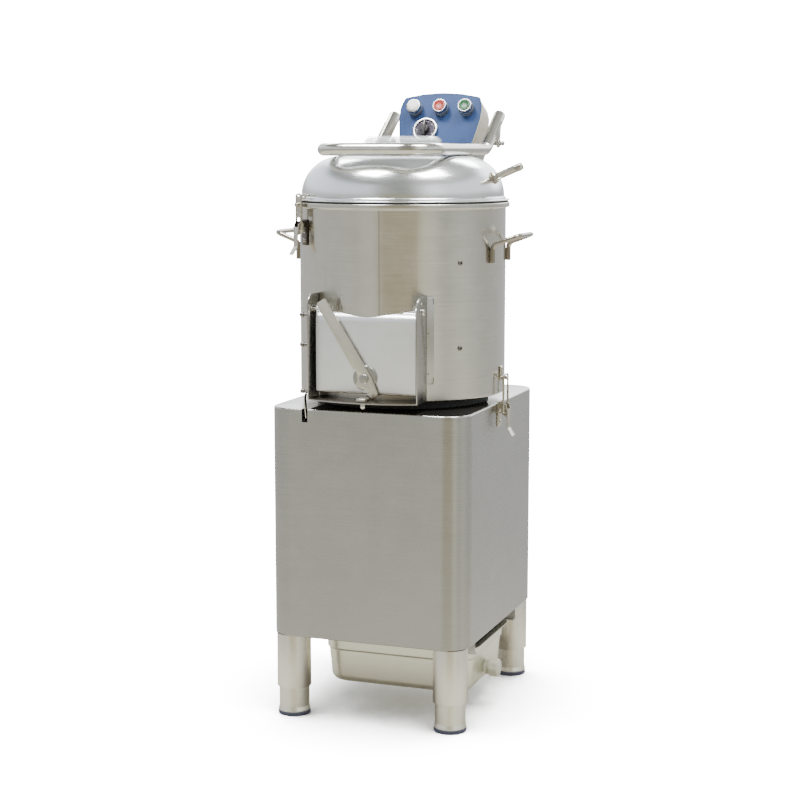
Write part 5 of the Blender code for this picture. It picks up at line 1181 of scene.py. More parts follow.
def build_rear_panel():
    face = CABINET_DEPTH / 2 + SEAT_GAP
    half = SERVICE_WIDTH / 2 + PANEL_OVERLAP
    low = SERVICE_BOTTOM - PANEL_OVERLAP
    high = SERVICE_TOP + PANEL_OVERLAP
    panel = front_prism(rounded_rectangle(-half, half, low, high, PANEL_OVERLAP / 2, 6), face,
                        face + PANEL_SHEET)
    spots = [(side * LOUVRE_OFFSET, LOUVRE_TOP - row * LOUVRE_PITCH)
             for side in (-1, 1) for row in range(LOUVRE_COUNT)]
    steps = [cut(box(x - LOUVRE_LENGTH / 2, x + LOUVRE_LENGTH / 2, face - CUT_OVERRUN,
                     face + CUT_OVERRUN, z - LOUVRE_HEIGHT / 2, z + LOUVRE_HEIGHT / 2))
             for x, z in spots]
    steps.append(cut(along_y(disc(GLAND_BORE + SEAT_GAP * 2, -CUT_OVERRUN, CUT_OVERRUN)),
                     place(GLAND_X, face, GLAND_Z)))
    stand_in("rear_panel", eased(worked(panel, *steps), FINE_EDGE, 2), sharp=20)
    outer = face + PANEL_SHEET
    bulge = LOUVRE_BULGE
    rise = LOUVRE_HEIGHT / 2
    for index, (x, z) in enumerate(spots):
        heart = (outer - bulge * 0.2, z + rise)
        lid = arc(heart, bulge * 1.2, QUARTER, 0, 8)
        drop = [(outer + bulge, z - rise), (outer + bulge - LOUVRE_SKIN, z - rise)]
        under = arc(heart, bulge * 1.2 - LOUVRE_SKIN, 0, QUARTER, 8)
        hood = side_prism(lid + drop + under, x - LOUVRE_LENGTH / 2, x + LOUVRE_LENGTH / 2)
        fitting(f"louvre_hood_{index:02d}", eased(hood, LOUVRE_EDGE, 2), "brushed")
    inset = PANEL_OVERLAP / 2
    for index, (x, z) in enumerate([(side * (half - inset), z) for side in (-1, 1)
                                    for z in (low + inset, (low + high) / 2, high - inset)]):
        fitting(f"panel_screw_{index}", pan_head(*PANEL_SCREW), "polished",
                place(x, outer, z) @ turned("X", -QUARTER))

    seat = outer + SEAT_GAP
    bore = GLAND_BORE * 0.7
    length = GLAND_LENGTH
    crown = revolve([(0, -length), (GLAND_RADIUS * 1.2, -length), (GLAND_RADIUS, length * 0.27),
                     (GLAND_RADIUS * 0.86, length / 3), (0, length / 3)], 36)
    nut = worked(disc(GLAND_RADIUS, 0, length / 3, HEX_SIDES), ("INTERSECT", crown))
    profile = [(bore, -PANEL_SHEET - length / 4), (GLAND_BORE, -PANEL_SHEET - length / 4),
               (GLAND_BORE, length / 3 - SEAT_GAP), (GLAND_RADIUS * 0.8, length / 3 - SEAT_GAP),
               (GLAND_RADIUS * 0.8, length * 0.8), (GLAND_RADIUS * 0.55, length), (bore, length)]
    cap = turned_solid(profile, [0, 0, 0, 0, 0.0015, 0.0015, 0.0005], ROUND_STEPS)
    whole = worked(nut, cut(disc(GLAND_BORE, -CUT_OVERRUN, length)), join(cap))
    stand_in("cable_gland", along_y(whole, 1), place(GLAND_X, seat, GLAND_Z))


def build_legs():
    top = CABINET_BOTTOM - SEAT_GAP
    inner = LEG_RADIUS - LEG_WALL
    sleeve_bore = FOOT_RADIUS - FOOT_SLEEVE_WALL
    leg = [(LEG_RADIUS, LEG_BOTTOM), (LEG_RADIUS, top), (0, top), (0, top - LEG_CAP),
           (inner, top - LEG_CAP), (inner, LEG_BOTTOM)]
    leg_ease = [0.0011, 0.0005, 0, 0, 0, 0.0008]
    pad_top = FOOT_PAD_HEIGHT
    foot = [(0, pad_top), (FOOT_FLARE, pad_top), (FOOT_FLARE, pad_top + 0.002),
            (FOOT_RADIUS, FOOT_FLARE_TOP), (FOOT_RADIUS, FOOT_SLEEVE_TOP),
            (sleeve_bore, FOOT_SLEEVE_TOP), (sleeve_bore, FOOT_FLOOR), (STEM_RADIUS, FOOT_FLOOR),
            (STEM_RADIUS, STEM_TOP), (0, STEM_TOP)]
    foot_ease = [0, 0.0006, 0.0012, 0.004, 0.0005, 0.0005, 0, 0, 0.0008, 0]
    pad = [(0, 0), (FOOT_PAD_RADIUS, 0), (FOOT_PAD_RADIUS, pad_top), (FOOT_FLARE * 0.9, pad_top),
           (0, pad_top)]
    pad_ease = [0, FOOT_CHAMFER * 1.2, 0.0014, 0, 0]
    bead = [(radius, top + rise) for radius, rise in LEG_WELD]
    for depth, y in (("front", -LEG_Y), ("rear", LEG_Y)):
        for side, x in (("left", -LEG_X), ("right", LEG_X)):
            corner = f"{depth}_{side}"
            at = place(x, y)
            stand_in(f"leg_{corner}", turned_solid(leg, leg_ease, LEG_STEPS), at, "leg_steel")
            stand_in(f"foot_{corner}", turned_solid(foot, foot_ease, LEG_STEPS), at,
                     "sleeve_steel")
            piece(f"foot_pad_{corner}", turned_solid(pad, pad_ease, LEG_STEPS), "foot_blue",
                  f"foot_{corner}", at, ())
            fitting(f"leg_weld_{corner}", revolve(bead, LEG_STEPS), "weld", at)


def build_drum():
    inner = DRUM_RADIUS - DRUM_WALL
    roll = RIM_ROLL
    under_rim = DRUM_TOP - RIM_HEIGHT
    profile = [(HUB_BORE, DRUM_BOTTOM), (DRUM_RADIUS, DRUM_BOTTOM), (DRUM_RADIUS, under_rim),
               (RIM_RADIUS, under_rim), (RIM_RADIUS, DRUM_TOP), (inner, DRUM_TOP),
               (inner, DRUM_BOTTOM + DRUM_FLOOR), (HUB_RING, DRUM_BOTTOM + DRUM_FLOOR),
               (HUB_RING, HUB_RING_TOP), (HUB_BORE, HUB_RING_TOP)]
    eases = [0, DRUM_EDGE, roll, roll * 1.3, roll * 1.3, 0.0006, DRUM_EDGE, 0.001, 0.001, 0.0005]
    rounded = flat(filleted(profile, eases, 6, closed=True))
    mouth = (-MOUTH_HALF_WIDTH, MOUTH_HALF_WIDTH, -DRUM_RADIUS - CUT_OVERRUN * 3, -DRUM_RADIUS / 2,
             MOUTH_BOTTOM, MOUTH_TOP)
    drum = worked(revolve(rounded, DRUM_STEPS), cut(box(*mouth)),
                  cut(disc(PIPE_RADIUS - PIPE_WALL, DRUM_BOTTOM - CUT_OVERRUN,
                           DRUM_BOTTOM + DRUM_FLOOR + CUT_OVERRUN), place(PIPE_X)))
    bmesh.ops.transform(drum, verts=drum.verts, matrix=place(0, DRUM_Y))
    stand_in("drum_shell", drum, None, "drum_steel")

    outer = inner - LINER_GAP
    sleeve = [(outer - LINER_WALL, LINER_BOTTOM), (outer, LINER_BOTTOM), (outer, LINER_TOP),
              (outer - LINER_WALL, LINER_TOP)]
    liner = worked(revolve(sleeve, DRUM_STEPS), cut(box(*mouth)))
    stand_in("drum_liner", liner, place(0, DRUM_Y))

    # The rolled sheet's butt weld, from the rim to the top of the door
    bead = SEAM_BEAD
    strip = [(DRUM_RADIUS - bead * 0.6, -bead), (DRUM_RADIUS + bead * 0.22, -bead * 0.5),
             (DRUM_RADIUS + bead * 0.32, 0), (DRUM_RADIUS + bead * 0.22, bead * 0.5),
             (DRUM_RADIUS - bead * 0.6, bead)]
    fitting("drum_seam_weld", prism(strip, MOUTH_TOP, under_rim - roll), "weld",
            place(0, DRUM_Y) @ turned("Z", SEAM_ANGLE - QUARTER))

    # Bolts that hold the liner to the shell
    for index, (angle, z) in enumerate(LINER_BOLTS):
        at = (place(0, DRUM_Y) @ turned("Z", math.radians(angle))
              @ place(DRUM_RADIUS - SUNK, 0, z) @ turned("Y", QUARTER))
        fitting(f"liner_bolt_{index}", pan_head(*LINER_BOLT), "bolt_dark", at)


def build_abrasive_plate():
    """The wavy disc, with three smooth swells and a grit-coated top."""
    top = PLATE_BOTTOM + PLATE_THICKNESS
    rim = PLATE_THICKNESS / 4
    under = PLATE_BOTTOM + rim
    bore = SHAFT_NECK_RADIUS + SEAT_GAP
    shares = [PLATE_RING_START - PLATE_RING_SPAN * k / PLATE_RINGS for k in range(PLATE_RINGS + 1)]
    profile = [(bore, under), (PLATE_RADIUS - rim, under), (PLATE_RADIUS, under + rim),
               (PLATE_RADIUS, top - rim), (PLATE_RADIUS - rim * 0.3, top - rim * 0.3)]
    profile += [(PLATE_RADIUS * share, top) for share in shares]
    profile += [(HUB_RADIUS, top + CAP_NUT_HEIGHT / 2), (bore, top + CAP_NUT_HEIGHT / 2)]
    bm = revolve(profile, PLATE_STEPS)
    knots = [(1.0, 0.0), *zip(PLATE_RING_SHARES, PLATE_WAVE_SHARES), (PLATE_CALM, 0.0)]
    for vert in bm.verts:
        share = math.hypot(vert.co.x, vert.co.y) / PLATE_RADIUS
        if vert.co.z < top - SEAT_GAP or share < 0.2:
            continue
        for (far, high), (near, low) in zip(knots, knots[1:]):
            if near <= share <= far:
                mixed = (far - share) / (far - near)
                swell = high + (low - high) * (mixed * mixed * (3 - 2 * mixed))
                turn = math.atan2(vert.co.y, vert.co.x)
                vert.co.z += PLATE_WAVE_HEIGHT * swell * max(0.0, math.cos(PLATE_WAVES * turn)) ** 2
                break
    stand_in("abrasive_plate", shape(bm), place(0, DRUM_Y))


def build_chute():
    inner = CHUTE_HALF_WIDTH
    outer = inner + CHUTE_SHEET
    back = DRUM_Y - math.sqrt(DRUM_RADIUS ** 2 - inner ** 2) - RUNNING_GAP
    side = [(back, CHUTE_BOTTOM), (CHUTE_FRONT, CHUTE_BOTTOM), (CHUTE_FRONT, CHUTE_TOP),
            (back, CHUTE_TOP)]
    side = flat(filleted(side, [0, 0, CHUTE_NOSE, 0], CORNER_STEPS, closed=True))
    reach = math.hypot(inner, CHUTE_FRONT - DRUM_Y)
    spread = math.atan2(inner + SEAT_GAP, DRUM_Y - CHUTE_FRONT)
    down = -QUARTER
    throat = DRUM_RADIUS + SEAT_GAP
    narrow = math.asin((inner + SEAT_GAP) / throat)
    floor = arc((0, DRUM_Y), reach, down - spread, down + spread, CORNER_STEPS * 4)
    floor += arc((0, DRUM_Y), throat, down + narrow, down - narrow, CORNER_STEPS * 4)
    steps = [join(side_prism(side, -outer, -inner)),
             join(prism(floor, CHUTE_BOTTOM, CHUTE_BOTTOM + CHUTE_SHEET))]
    start = math.asin((inner + CHUTE_SHEET / 2) / throat)
    end = math.asin(outer / throat) + CHUTE_FLANGE_ANGLE
    for sign in (-1, 1):
        near, far = down + sign * start, down + sign * end
        strip = arc((0, DRUM_Y), throat, near, far, CORNER_STEPS)
        strip += arc((0, DRUM_Y), throat + CHUTE_SHEET, far, near, CORNER_STEPS)
        steps.append(join(prism(strip, CHUTE_FLANGE_BOTTOM, CHUTE_TOP - CHUTE_SHEET)))
    bolt_hole = DOOR_BOLT_RADIUS + SEAT_GAP
    steps.append(cut(along_x(disc(bolt_hole, -outer - CUT_OVERRUN, outer + CUT_OVERRUN)),
                     place(0, DOOR_AXIS_Y, DOOR_AXIS_Z)))
    catch_y = CATCH_FRONT + CATCH_DEPTH / 2
    steps.append(cut(disc(CATCH_BOLT_RADIUS + SEAT_GAP, CHUTE_BOTTOM - CUT_OVERRUN,
                          CHUTE_BOTTOM + CUT_OVERRUN), place(CATCH_X, catch_y)))
    body = eased(worked(side_prism(side, inner, outer), *steps), SHEET_EDGE, 2)
    chute = stand_in("outlet_chute", body, None, "chute_steel")
    floor_top = CHUTE_BOTTOM + CHUTE_SHEET * 1.5
    # The chute's floor faces get a dark brown finish, a painted shade of its shadowed floor
    repaint(chute, "chute_floor", lambda polygon: (
        polygon.normal.z > 0.9 and polygon.center.z < floor_top and abs(polygon.center.x) < inner))

    block_low = CHUTE_BOTTOM + CHUTE_SHEET + SEAT_GAP
    block = eased(box(-CATCH_WIDTH / 2, CATCH_WIDTH / 2, -CATCH_DEPTH / 2, CATCH_DEPTH / 2,
                      block_low, block_low + CATCH_HEIGHT), BLOCK_EDGE)
    half = CATCH_BOLT_RADIUS
    round_tip = arc((0, CATCH_BOLT_TIP + half), half, 0, -QUARTER, 8)[1:-1]
    tip = [(0, CATCH_BOLT_TIP), *reversed(round_tip), (half, CATCH_BOLT_TIP + half),
           (half, block_low + CATCH_HEIGHT / 2), (0, block_low + CATCH_HEIGHT / 2)]
    stand_in("door_catch", worked(block, join(revolve(tip, ROUND_STEPS))), place(CATCH_X, catch_y))
    inset = CATCH_WELD_INSET
    fitting("catch_weld_dot", revolve(CATCH_WELD, 20), "weld",
            place(CATCH_X - inset, catch_y - inset, block_low + CATCH_HEIGHT - SUNK))

    head = outer + SEAT_GAP
    shank = DOOR_HALF_WIDTH - DOOR_SHEET
    rise = DOOR_BOLT_HEAD_HEIGHT * 0.5
    bolt = [(0, shank), (DOOR_BOLT_RADIUS, shank), (DOOR_BOLT_RADIUS, head),
            (DOOR_BOLT_HEAD, head), (DOOR_BOLT_HEAD, head + rise)]
    bolt += [(DOOR_BOLT_HEAD * math.cos(QUARTER * k / 7),
              head + rise + rise * math.sin(QUARTER * k / 7)) for k in range(1, 7)]
    bolt.append((0, head + rise * 2))
    for sign, side_name in SIDES:
        turn = turned("Z", 0 if sign > 0 else math.pi)
        stand_in(f"door_bolt_{side_name}", along_x(revolve(bolt, ROUND_STEPS)),
                 place(0, DOOR_AXIS_Y, DOOR_AXIS_Z) @ turn)

    # Dark wires along the flanges' corners as painted shadow lines, studs of the flanges, rivets by
    # the hinge and pins in the left side
    skin = throat + CHUTE_SHEET
    for sign, side_name in SIDES:
        hook = []
        tip = end - SHADOW_LINE_FAR
        for turn, z in ((start + SHADOW_LINE_NEAR, 0), (tip, 0), (tip, SHADOW_LINE_RISE)):
            around = down + sign * turn
            hook.append((math.cos(around) * skin, math.sin(around) * skin, z))
        for index, (z, up) in enumerate(SHADOW_LINE_LEVELS):
            line = filleted([(x, y, z + rise * up) for x, y, rise in hook], SHADOW_LINE_BEND, 8)
            # A thin dark wire: painted shadow line of the flange's corner
            fitting(f"flange_hook_{side_name}_{index}", tube(line, SHADOW_LINE_WIRE, 10), "bolt_dark",
                    place(0, DRUM_Y))
        for index, z in enumerate(FLANGE_STUDS):
            at = (place(0, DRUM_Y) @ turned("Z", down + sign * (start + STUD_NEAR))
                  @ place(skin - SUNK, 0, z) @ turned("Y", QUARTER))
            fitting(f"flange_stud_{side_name}_{index}", pan_head(*FLANGE_STUD), "bolt_dark",
                    at)
        for index, (y, z) in enumerate(PLATE_RIVETS):
            at = place(sign * (outer - SUNK), y, z) @ turned("Y", sign * QUARTER)
            fitting(f"plate_rivet_{side_name}_{index}", pan_head(*PLATE_RIVET), "polished",
                    at)
    for index, z in enumerate(SIDE_PINS):
        at = place(-outer + SUNK, SIDE_PIN_Y, z) @ turned("Y", -QUARTER)
        fitting(f"side_pin_{index}", turned_solid(SIDE_PIN, SIDE_PIN_EASE, ROUND_STEPS),
                "bolt_dark", at)


def build_door():
    face = DOOR_FACE - DOOR_AXIS_Y
    low = DOOR_BOTTOM - DOOR_AXIS_Z
    bend = DOOR_BEND - DOOR_AXIS_Z
    back = face + DOOR_DEPTH

    def pan(inset, extra):
        radius = DOOR_BEND_RADIUS - inset
        corner = DOOR_CORNER - inset / 2
        turn = QUARTER - DOOR_SLOPE
        crown = arc((face + DOOR_BEND_RADIUS, bend), radius, math.pi, math.pi - turn, CORNER_STEPS)
        run = back + extra - crown[-1][0]
        crest = (back + extra, crown[-1][1] + run * math.tan(DOOR_SLOPE))
        foot = arc((face + inset + corner, low + inset + corner), corner, math.pi * 3 / 2,
                   math.pi, 6)
        outline = [(back + extra, low + inset), *foot, *crown, crest]
        half = DOOR_HALF_WIDTH - inset
        bm = side_prism(outline, -half, half)
        ends = [edge for edge in bm.edges if edge.verts[0].co.x == edge.verts[1].co.x]
        soft = [edge for edge in ends
                if any(vert.co.y < back + extra - SEAT_GAP for vert in edge.verts)
                and any(vert.co.z > low + inset + SEAT_GAP for vert in edge.verts)]
        bmesh.ops.bevel(bm, geom=soft, offset=DOOR_EDGE - inset / 2, segments=6, profile=0.5,
                        affect="EDGES", clamp_overlap=True)
        return shape(bm)

    ear = arc((0, 0), DOOR_EAR_RADIUS, 0, math.pi, CORNER_STEPS)
    ear += [(-DOOR_EAR_RADIUS, bend), (DOOR_EAR_RADIUS, bend)]
    steps = [join(side_prism(ear, *mirrored(sign, DOOR_HALF_WIDTH - DOOR_SHEET, DOOR_HALF_WIDTH)))
             for sign in (-1, 1)]
    steps.append(cut(pan(DOOR_SHEET, CUT_OVERRUN)))
    steps.append(cut(disc(DRUM_RADIUS + DOOR_DRUM_GAP, low - CUT_OVERRUN,
                          DOOR_EAR_RADIUS + CUT_OVERRUN * 2, DRUM_STEPS),
                     place(0, DRUM_Y - DOOR_AXIS_Y)))
    steps.append(cut(along_x(disc(DOOR_BOLT_RADIUS + RUNNING_GAP, -DOOR_HALF_WIDTH - CUT_OVERRUN,
                                  DOOR_HALF_WIDTH + CUT_OVERRUN))))
    stand_in("chute_door", worked(pan(0, 0), *steps), place(0, DOOR_AXIS_Y, DOOR_AXIS_Z), None, 30)

    slot = BOSS_HEIGHT + LEVER_SHEET + SEAT_GAP * 2
    pin_top = slot + LEVER_PIN_HEAD_HEIGHT
    pin = [(0, SEAT_GAP), (BOSS_RADIUS, SEAT_GAP), (BOSS_RADIUS, BOSS_HEIGHT),
           (LEVER_PIN_RADIUS, BOSS_HEIGHT), (LEVER_PIN_RADIUS, slot), (LEVER_PIN_HEAD, slot),
           (LEVER_PIN_HEAD, pin_top), (0, pin_top)]
    boss = turned_solid(pin, [0, 0.0008, 0.0016, 0, 0, 0.0006, 0.0025, 0], CONTROL_STEPS * 2)
    stand_in("lever_boss", along_y(boss), place(0, DOOR_FACE, LEVER_Z), "chute_steel")

    along = Vector((-math.sin(LEVER_TILT), math.cos(LEVER_TILT), 0))
    across = Vector((math.cos(LEVER_TILT), math.sin(LEVER_TILT), 0))
    half = across * LEVER_WIDTH / 2
    end = along * LEVER_LENGTH
    outline = [end - half, end + half]
    outline += [Vector((*point, 0)) for point in (LEVER_HIP, *LEVER_TAIL, LEVER_EAR, *LEVER_NECK)]
    outline.append(along * LEVER_SHOULDER - half)
    corner = LEVER_WIDTH / 5
    eases = [corner] * 4 + [corner / 2] * 4 + [corner / 4, corner / 4, corner / 2]
    lever = front_prism(flat(filleted(outline, eases, 6, closed=True)), -LEVER_SHEET, 0)
    eye = disc(LEVER_PIN_RADIUS + RUNNING_GAP, -CUT_OVERRUN, CUT_OVERRUN)
    lever = worked(lever, cut(along_y(eye)))
    lever_y = DOOR_FACE - BOSS_HEIGHT - SEAT_GAP
    stand_in("door_lever", eased(lever, BAR_EDGE), place(0, lever_y, LEVER_Z), "lever_steel")


def build_tongue():
    start = -CHUTE_HALF_WIDTH - CHUTE_SHEET - SEAT_GAP
    lead = TONGUE_LENGTH
    middle = start - TONGUE_SHEET / 2
    centre = [(middle, TONGUE_TOP), (middle, TONGUE_TOP - lead / 5),
              (middle - TONGUE_BULGE, TONGUE_TOP - lead / 2),
              (middle - TONGUE_SWAY, TONGUE_TOP - lead)]
    path = filleted(centre, lead / 3, CORNER_STEPS)
    half = TONGUE_SHEET / 2
    left = [(point.x - half, point.y) for point in path]
    right = [(point.x + half, point.y) for point in reversed(path)]
    front = CHUTE_FRONT + TONGUE_SETBACK
    tongue = front_prism(left + right, front, front + TONGUE_WIDTH)
    stand_in("interlock_tongue", eased(tongue, FINE_EDGE, 2))


def dome_point(angle, inset=0.0):
    """A point (radius, height) on the dome's shoulder, a quarter of an ellipse."""
    wide = DOME_RADIUS - DOME_FLAT_RADIUS - inset
    tall = DOME_HEIGHT - inset
    return DOME_FLAT_RADIUS + wide * math.cos(angle), DOME_FOOT + tall * math.sin(angle)


def build_dome():
    seal_low = DRUM_TOP + SEAT_GAP
    seal_high = seal_low + SEAL_HEIGHT
    seal_in = DRUM_RADIUS - DRUM_WALL
    seal_out = seal_in + SEAL_WIDTH
    seal = [(seal_in, seal_low), (seal_out, seal_low), (seal_out, seal_high), (seal_in, seal_high)]
    stand_in("dome_seal", turned_solid(seal, SEAL_EDGE, DRUM_STEPS), place(0, DRUM_Y))

    low = seal_high + SEAT_GAP
    outside = [dome_point(QUARTER * k / DOME_ARC_STEPS) for k in range(1, DOME_ARC_STEPS + 1)]
    inside = [dome_point(QUARTER * k / DOME_ARC_STEPS, DOME_SHEET)
              for k in range(DOME_ARC_STEPS, 0, -1)]
    wall = DOME_RADIUS
    inner = wall - DOME_SHEET
    mouth = DOME_MOUTH_RADIUS
    crown = DOME_BEAD + wall
    top = FLANGE_TOP
    edge = DOME_FLANGE * 0.45
    bead = [(RIM_RADIUS - edge, low),
            *arc((RIM_RADIUS - edge, low + edge), edge, -QUARTER, 0, 4)[1:],
            *arc((RIM_RADIUS - edge, top - edge), edge, 0, QUARTER, 4),
            *((crown + out, top + up) for out, up in BEAD_ROLL), (wall, DOME_FOOT)]
    turn_in = DOME_MOUTH_EASE
    profile = [(inner, low), *bead, *outside, (mouth + turn_in, DOME_TOP),
               *[(mouth + turn_in * (1 - math.sin(t)), DOME_TOP - turn_in * (1 - math.cos(t)))
                 for t in (QUARTER * k / 4 for k in range(1, 5))],
               (mouth, DOME_TOP - DOME_MOUTH_LIP), (mouth + DOME_SHEET, DOME_TOP - DOME_MOUTH_LIP),
               (mouth + DOME_SHEET, DOME_TOP - DOME_SHEET), *inside]
    radius, height = dome_point(INLET_ARC, INLET_INSET)
    slope = math.atan2(math.sin(INLET_ARC) / DOME_HEIGHT,
                       math.cos(INLET_ARC) / (DOME_RADIUS - DOME_FLAT_RADIUS)) - INLET_DROOP
    tip = INLET_LENGTH
    where = (place(0, DRUM_Y) @ turned("Z", INLET_ANGLE) @ place(radius, 0, height)
             @ turned("Y", QUARTER - slope) @ place(0, 0, INLET_LIFT))
    dome = worked(revolve(profile, DRUM_STEPS),
                  cut(disc(INLET_BORE, -CUT_OVERRUN, CUT_OVERRUN), place(0, -DRUM_Y) @ where))
    stand_in("dome", dome, place(0, DRUM_Y), "dome_steel", 30)

    bore = INLET_BORE
    ridge = INLET_THREAD_RADIUS
    root = ridge - THREAD_DEPTH
    pitch = THREAD_PITCH
    turns = int((INLET_THREAD - 0.002) / pitch)
    pipe = [(bore, 0), (INLET_RADIUS, 0), (INLET_RADIUS, tip - INLET_THREAD)]
    for k in range(turns):
        start = tip - INLET_THREAD + k * pitch
        pipe += [(root, start + pitch * 0.15), (ridge, start + pitch * 0.6),
                 (ridge, start + pitch * 0.75)]
    pipe += [(root, tip - 0.0012), (root, tip - 0.0004), (root - 0.0005, tip), (bore + 0.0003, tip),
             (bore, tip - 0.0004)]
    nut = worked(disc(INLET_NUT_RADIUS, 0, INLET_NUT_HEIGHT, HEX_SIDES), cut(disc(bore, -tip, tip)),
                 ("INTERSECT", revolve([(0, -tip), (INLET_NUT_RADIUS * 1.2, -tip),
                                        (INLET_NUT_RADIUS * 1.02, INLET_NUT_HEIGHT * 0.72),
                                        (INLET_NUT_RADIUS * 0.82, INLET_NUT_HEIGHT),
                                        (0, INLET_NUT_HEIGHT)], 36)))
    stand_in("water_inlet", worked(revolve(pipe, ROUND_STEPS * 2), join(nut)), where, "pipe_steel")
    bead = revolve([(INLET_NUT_RADIUS * 0.8, -0.0015), (INLET_NUT_RADIUS + 0.0022, -0.0006),
                    (INLET_NUT_RADIUS + 0.0010, 0.0012), (INLET_NUT_RADIUS * 0.8, 0.0018)], 40)
    fitting("inlet_weld", bead, "weld", where)


def build_lid():
    level = DOME_TOP + SEAT_GAP + TUBE_RADIUS - LID_PIN_Z
    bend = LID_BEND_Y - LID_PIN_Y
    rise = LID_ARM_LENGTH * math.sin(LID_ARM_ANGLE)
    run = LID_ARM_LENGTH * math.cos(LID_ARM_ANGLE)
    front = LID_FRONT_Y - LID_PIN_Y
    side = LID_SIDE_X
    route = [(-side, bend + run, level + rise), (-side, bend, level), (-side, front, level),
             (side, front, level), (side, bend, level), (side, bend + run, level + rise)]
    path = filleted(route, [0, LID_BEND, LID_CORNER, LID_CORNER, LID_BEND, 0], 18)
    hinge = place(0, LID_PIN_Y, LID_PIN_Z)
    plate_low = DOME_TOP + SEAT_GAP * 2 + COVER_SHEET - LID_PIN_Z
    centre = DRUM_Y - LID_PIN_Y
    steps = []
    for sign in (-1, 1):
        strap = box(*mirrored(sign, STRAP_REACH, side), centre - STRAP_WIDTH / 2,
                    centre + STRAP_WIDTH / 2, plate_low, plate_low + STRAP_THICKNESS)
        steps.append(join(eased(strap, BAR_EDGE)))
    slope = math.tan(LID_ARM_ANGLE)
    lug_top = level - bend * slope + LUG_RISE
    lug = arc((0, 0), LUG_RADIUS, math.pi, 2 * math.pi, CORNER_STEPS)
    lug += [(LUG_SPREAD, lug_top + LUG_SPREAD * slope), (-LUG_SPREAD, lug_top - LUG_SPREAD * slope)]
    for sign in (-1, 1):
        ear = side_prism(lug, *mirrored(sign, LUG_X, LUG_X + LUG_SHEET))
        steps.append(join(eased(ear, SHEET_EDGE, 2)))
    steps.append(cut(along_x(disc(LID_PIN_RADIUS + RUNNING_GAP, -side - TUBE_RADIUS * 2,
                                  side + TUBE_RADIUS * 2))))
    stand_in("lid_frame", worked(tube(path, TUBE_RADIUS, 48, 0.0016), *steps), hinge, "tube_steel")
    screw_z = plate_low + STRAP_THICKNESS + LID_PIN_Z - HEAD_SUNK
    for sign, side_name in SIDES:
        piece(f"cover_screw_{side_name}", pan_head(*COVER_SCREW), "polished", "lid",
              place(sign * (STRAP_REACH + STRAP_SCREW), DRUM_Y, screw_z))

    low = DOME_TOP + SEAT_GAP
    crown = low + COVER_HEIGHT
    sheet = COVER_SHEET
    cover = [(0, crown - sheet), (COVER_CROWN_RADIUS - sheet, crown - sheet),
             (COVER_RISE_RADIUS - sheet, crown - sheet * 3), (COVER_RISE_RADIUS - sheet, low),
             (COVER_RADIUS, low), (COVER_RADIUS, low + sheet), (COVER_RISE_RADIUS, low + sheet),
             (COVER_RISE_RADIUS, crown - sheet * 2), (COVER_CROWN_RADIUS, crown), (0, crown)]
    eases = [0, 0.004, 0.004, 0.0008, 0.0011, 0.0011, 0.003, 0.007, 0.006, 0]
    stand_in("lid_cover", turned_solid(cover, eases, COVER_STEPS), place(0, DRUM_Y))


def build_hinge_bracket():
    inner = EAR_X
    outer = inner + EAR_SHEET
    first, last = EAR_ARC
    saddle = []
    for k in range(CORNER_STEPS + 1):
        radius, height = dome_point(first + (last - first) * k / CORNER_STEPS)
        depth = math.sqrt(radius ** 2 - inner ** 2)
        saddle.append((DRUM_Y + depth + RUNNING_GAP, height + RUNNING_GAP))
    round_top = arc((LID_PIN_Y, LID_PIN_Z), EAR_RADIUS, math.pi * 0.85, -math.pi * 0.15,
                    CORNER_STEPS)
    ear = [*saddle, *round_top, EAR_HEEL]
    steps = [join(eased(side_prism(ear, *mirrored(sign, inner, outer)), BAR_EDGE))
             for sign in (-1, 1)]
    root = inner + EAR_SHEET / 2
    bar = eased(box(-root, root, BRIDGE_FACE, BRIDGE_FACE + EAR_SHEET, BRIDGE_BOTTOM, BRIDGE_TOP),
                BAR_EDGE, 2)
    for sign in (-1, 1):
        pin = [(0, root), (LID_PIN_RADIUS, root), (LID_PIN_RADIUS, PIN_END), (0, PIN_END)]
        pin = turned_solid(pin, [0, 0, 0.001, 0], ROUND_STEPS)
        turn = turned("Z", 0 if sign > 0 else math.pi)
        steps.append(join(along_x(pin), place(0, LID_PIN_Y, LID_PIN_Z) @ turn))
    stand_in("hinge_bracket", worked(bar, *steps))
    edge = LID_PIN_RADIUS + WASHER_WIDTH
    ring = [(LID_PIN_RADIUS, 0), (edge, 0), (edge, WASHER_SHEET), (LID_PIN_RADIUS, WASHER_SHEET)]
    for sign, side_name in SIDES:
        at = (place(sign * (LUG_X + LUG_SHEET + WASHER_GAP), LID_PIN_Y, LID_PIN_Z)
              @ turned("Y", sign * QUARTER))
        fitting(f"pin_washer_{side_name}", turned_solid(ring, FINE_EDGE, ROUND_STEPS), "plated", at)


def box_frame():
    """The fascia's frame: X across, Y up the slope, Z out of the face."""
    return place(*BOX_CENTRE) @ turned("X", QUARTER - BOX_TILT)


def box_outline(grow=0.0):
    """The control box's outline, with its corners rounded."""
    foot = BOX_FOOT_HALF + grow
    waist = BOX_WAIST_HALF + grow
    shoulder = BOX_SHOULDER_HALF + grow
    low = BOX_BOTTOM - grow
    rise = BOX_CREST - BOX_SHOULDER
    crest_radius = (shoulder ** 2 + rise ** 2) / (2 * rise)
    spread = math.asin(shoulder / crest_radius)
    crest = arc((0, BOX_CREST + grow - crest_radius), crest_radius, QUARTER - spread,
                QUARTER + spread, 4)
    right = [(foot, low), (BOX_HIP_HALF + grow, BOX_HIP), *((waist, y) for y in BOX_WAIST)]
    left = [(-x, y) for x, y in reversed(right)]
    bends = [BOX_CORNER, 0.03, 0.03, 0.03, 0.006]
    radii = [*bends, 0.10, 0.10, 0.10, *reversed(bends)]
    return flat(filleted(right + crest + left, radii, 7, closed=True))


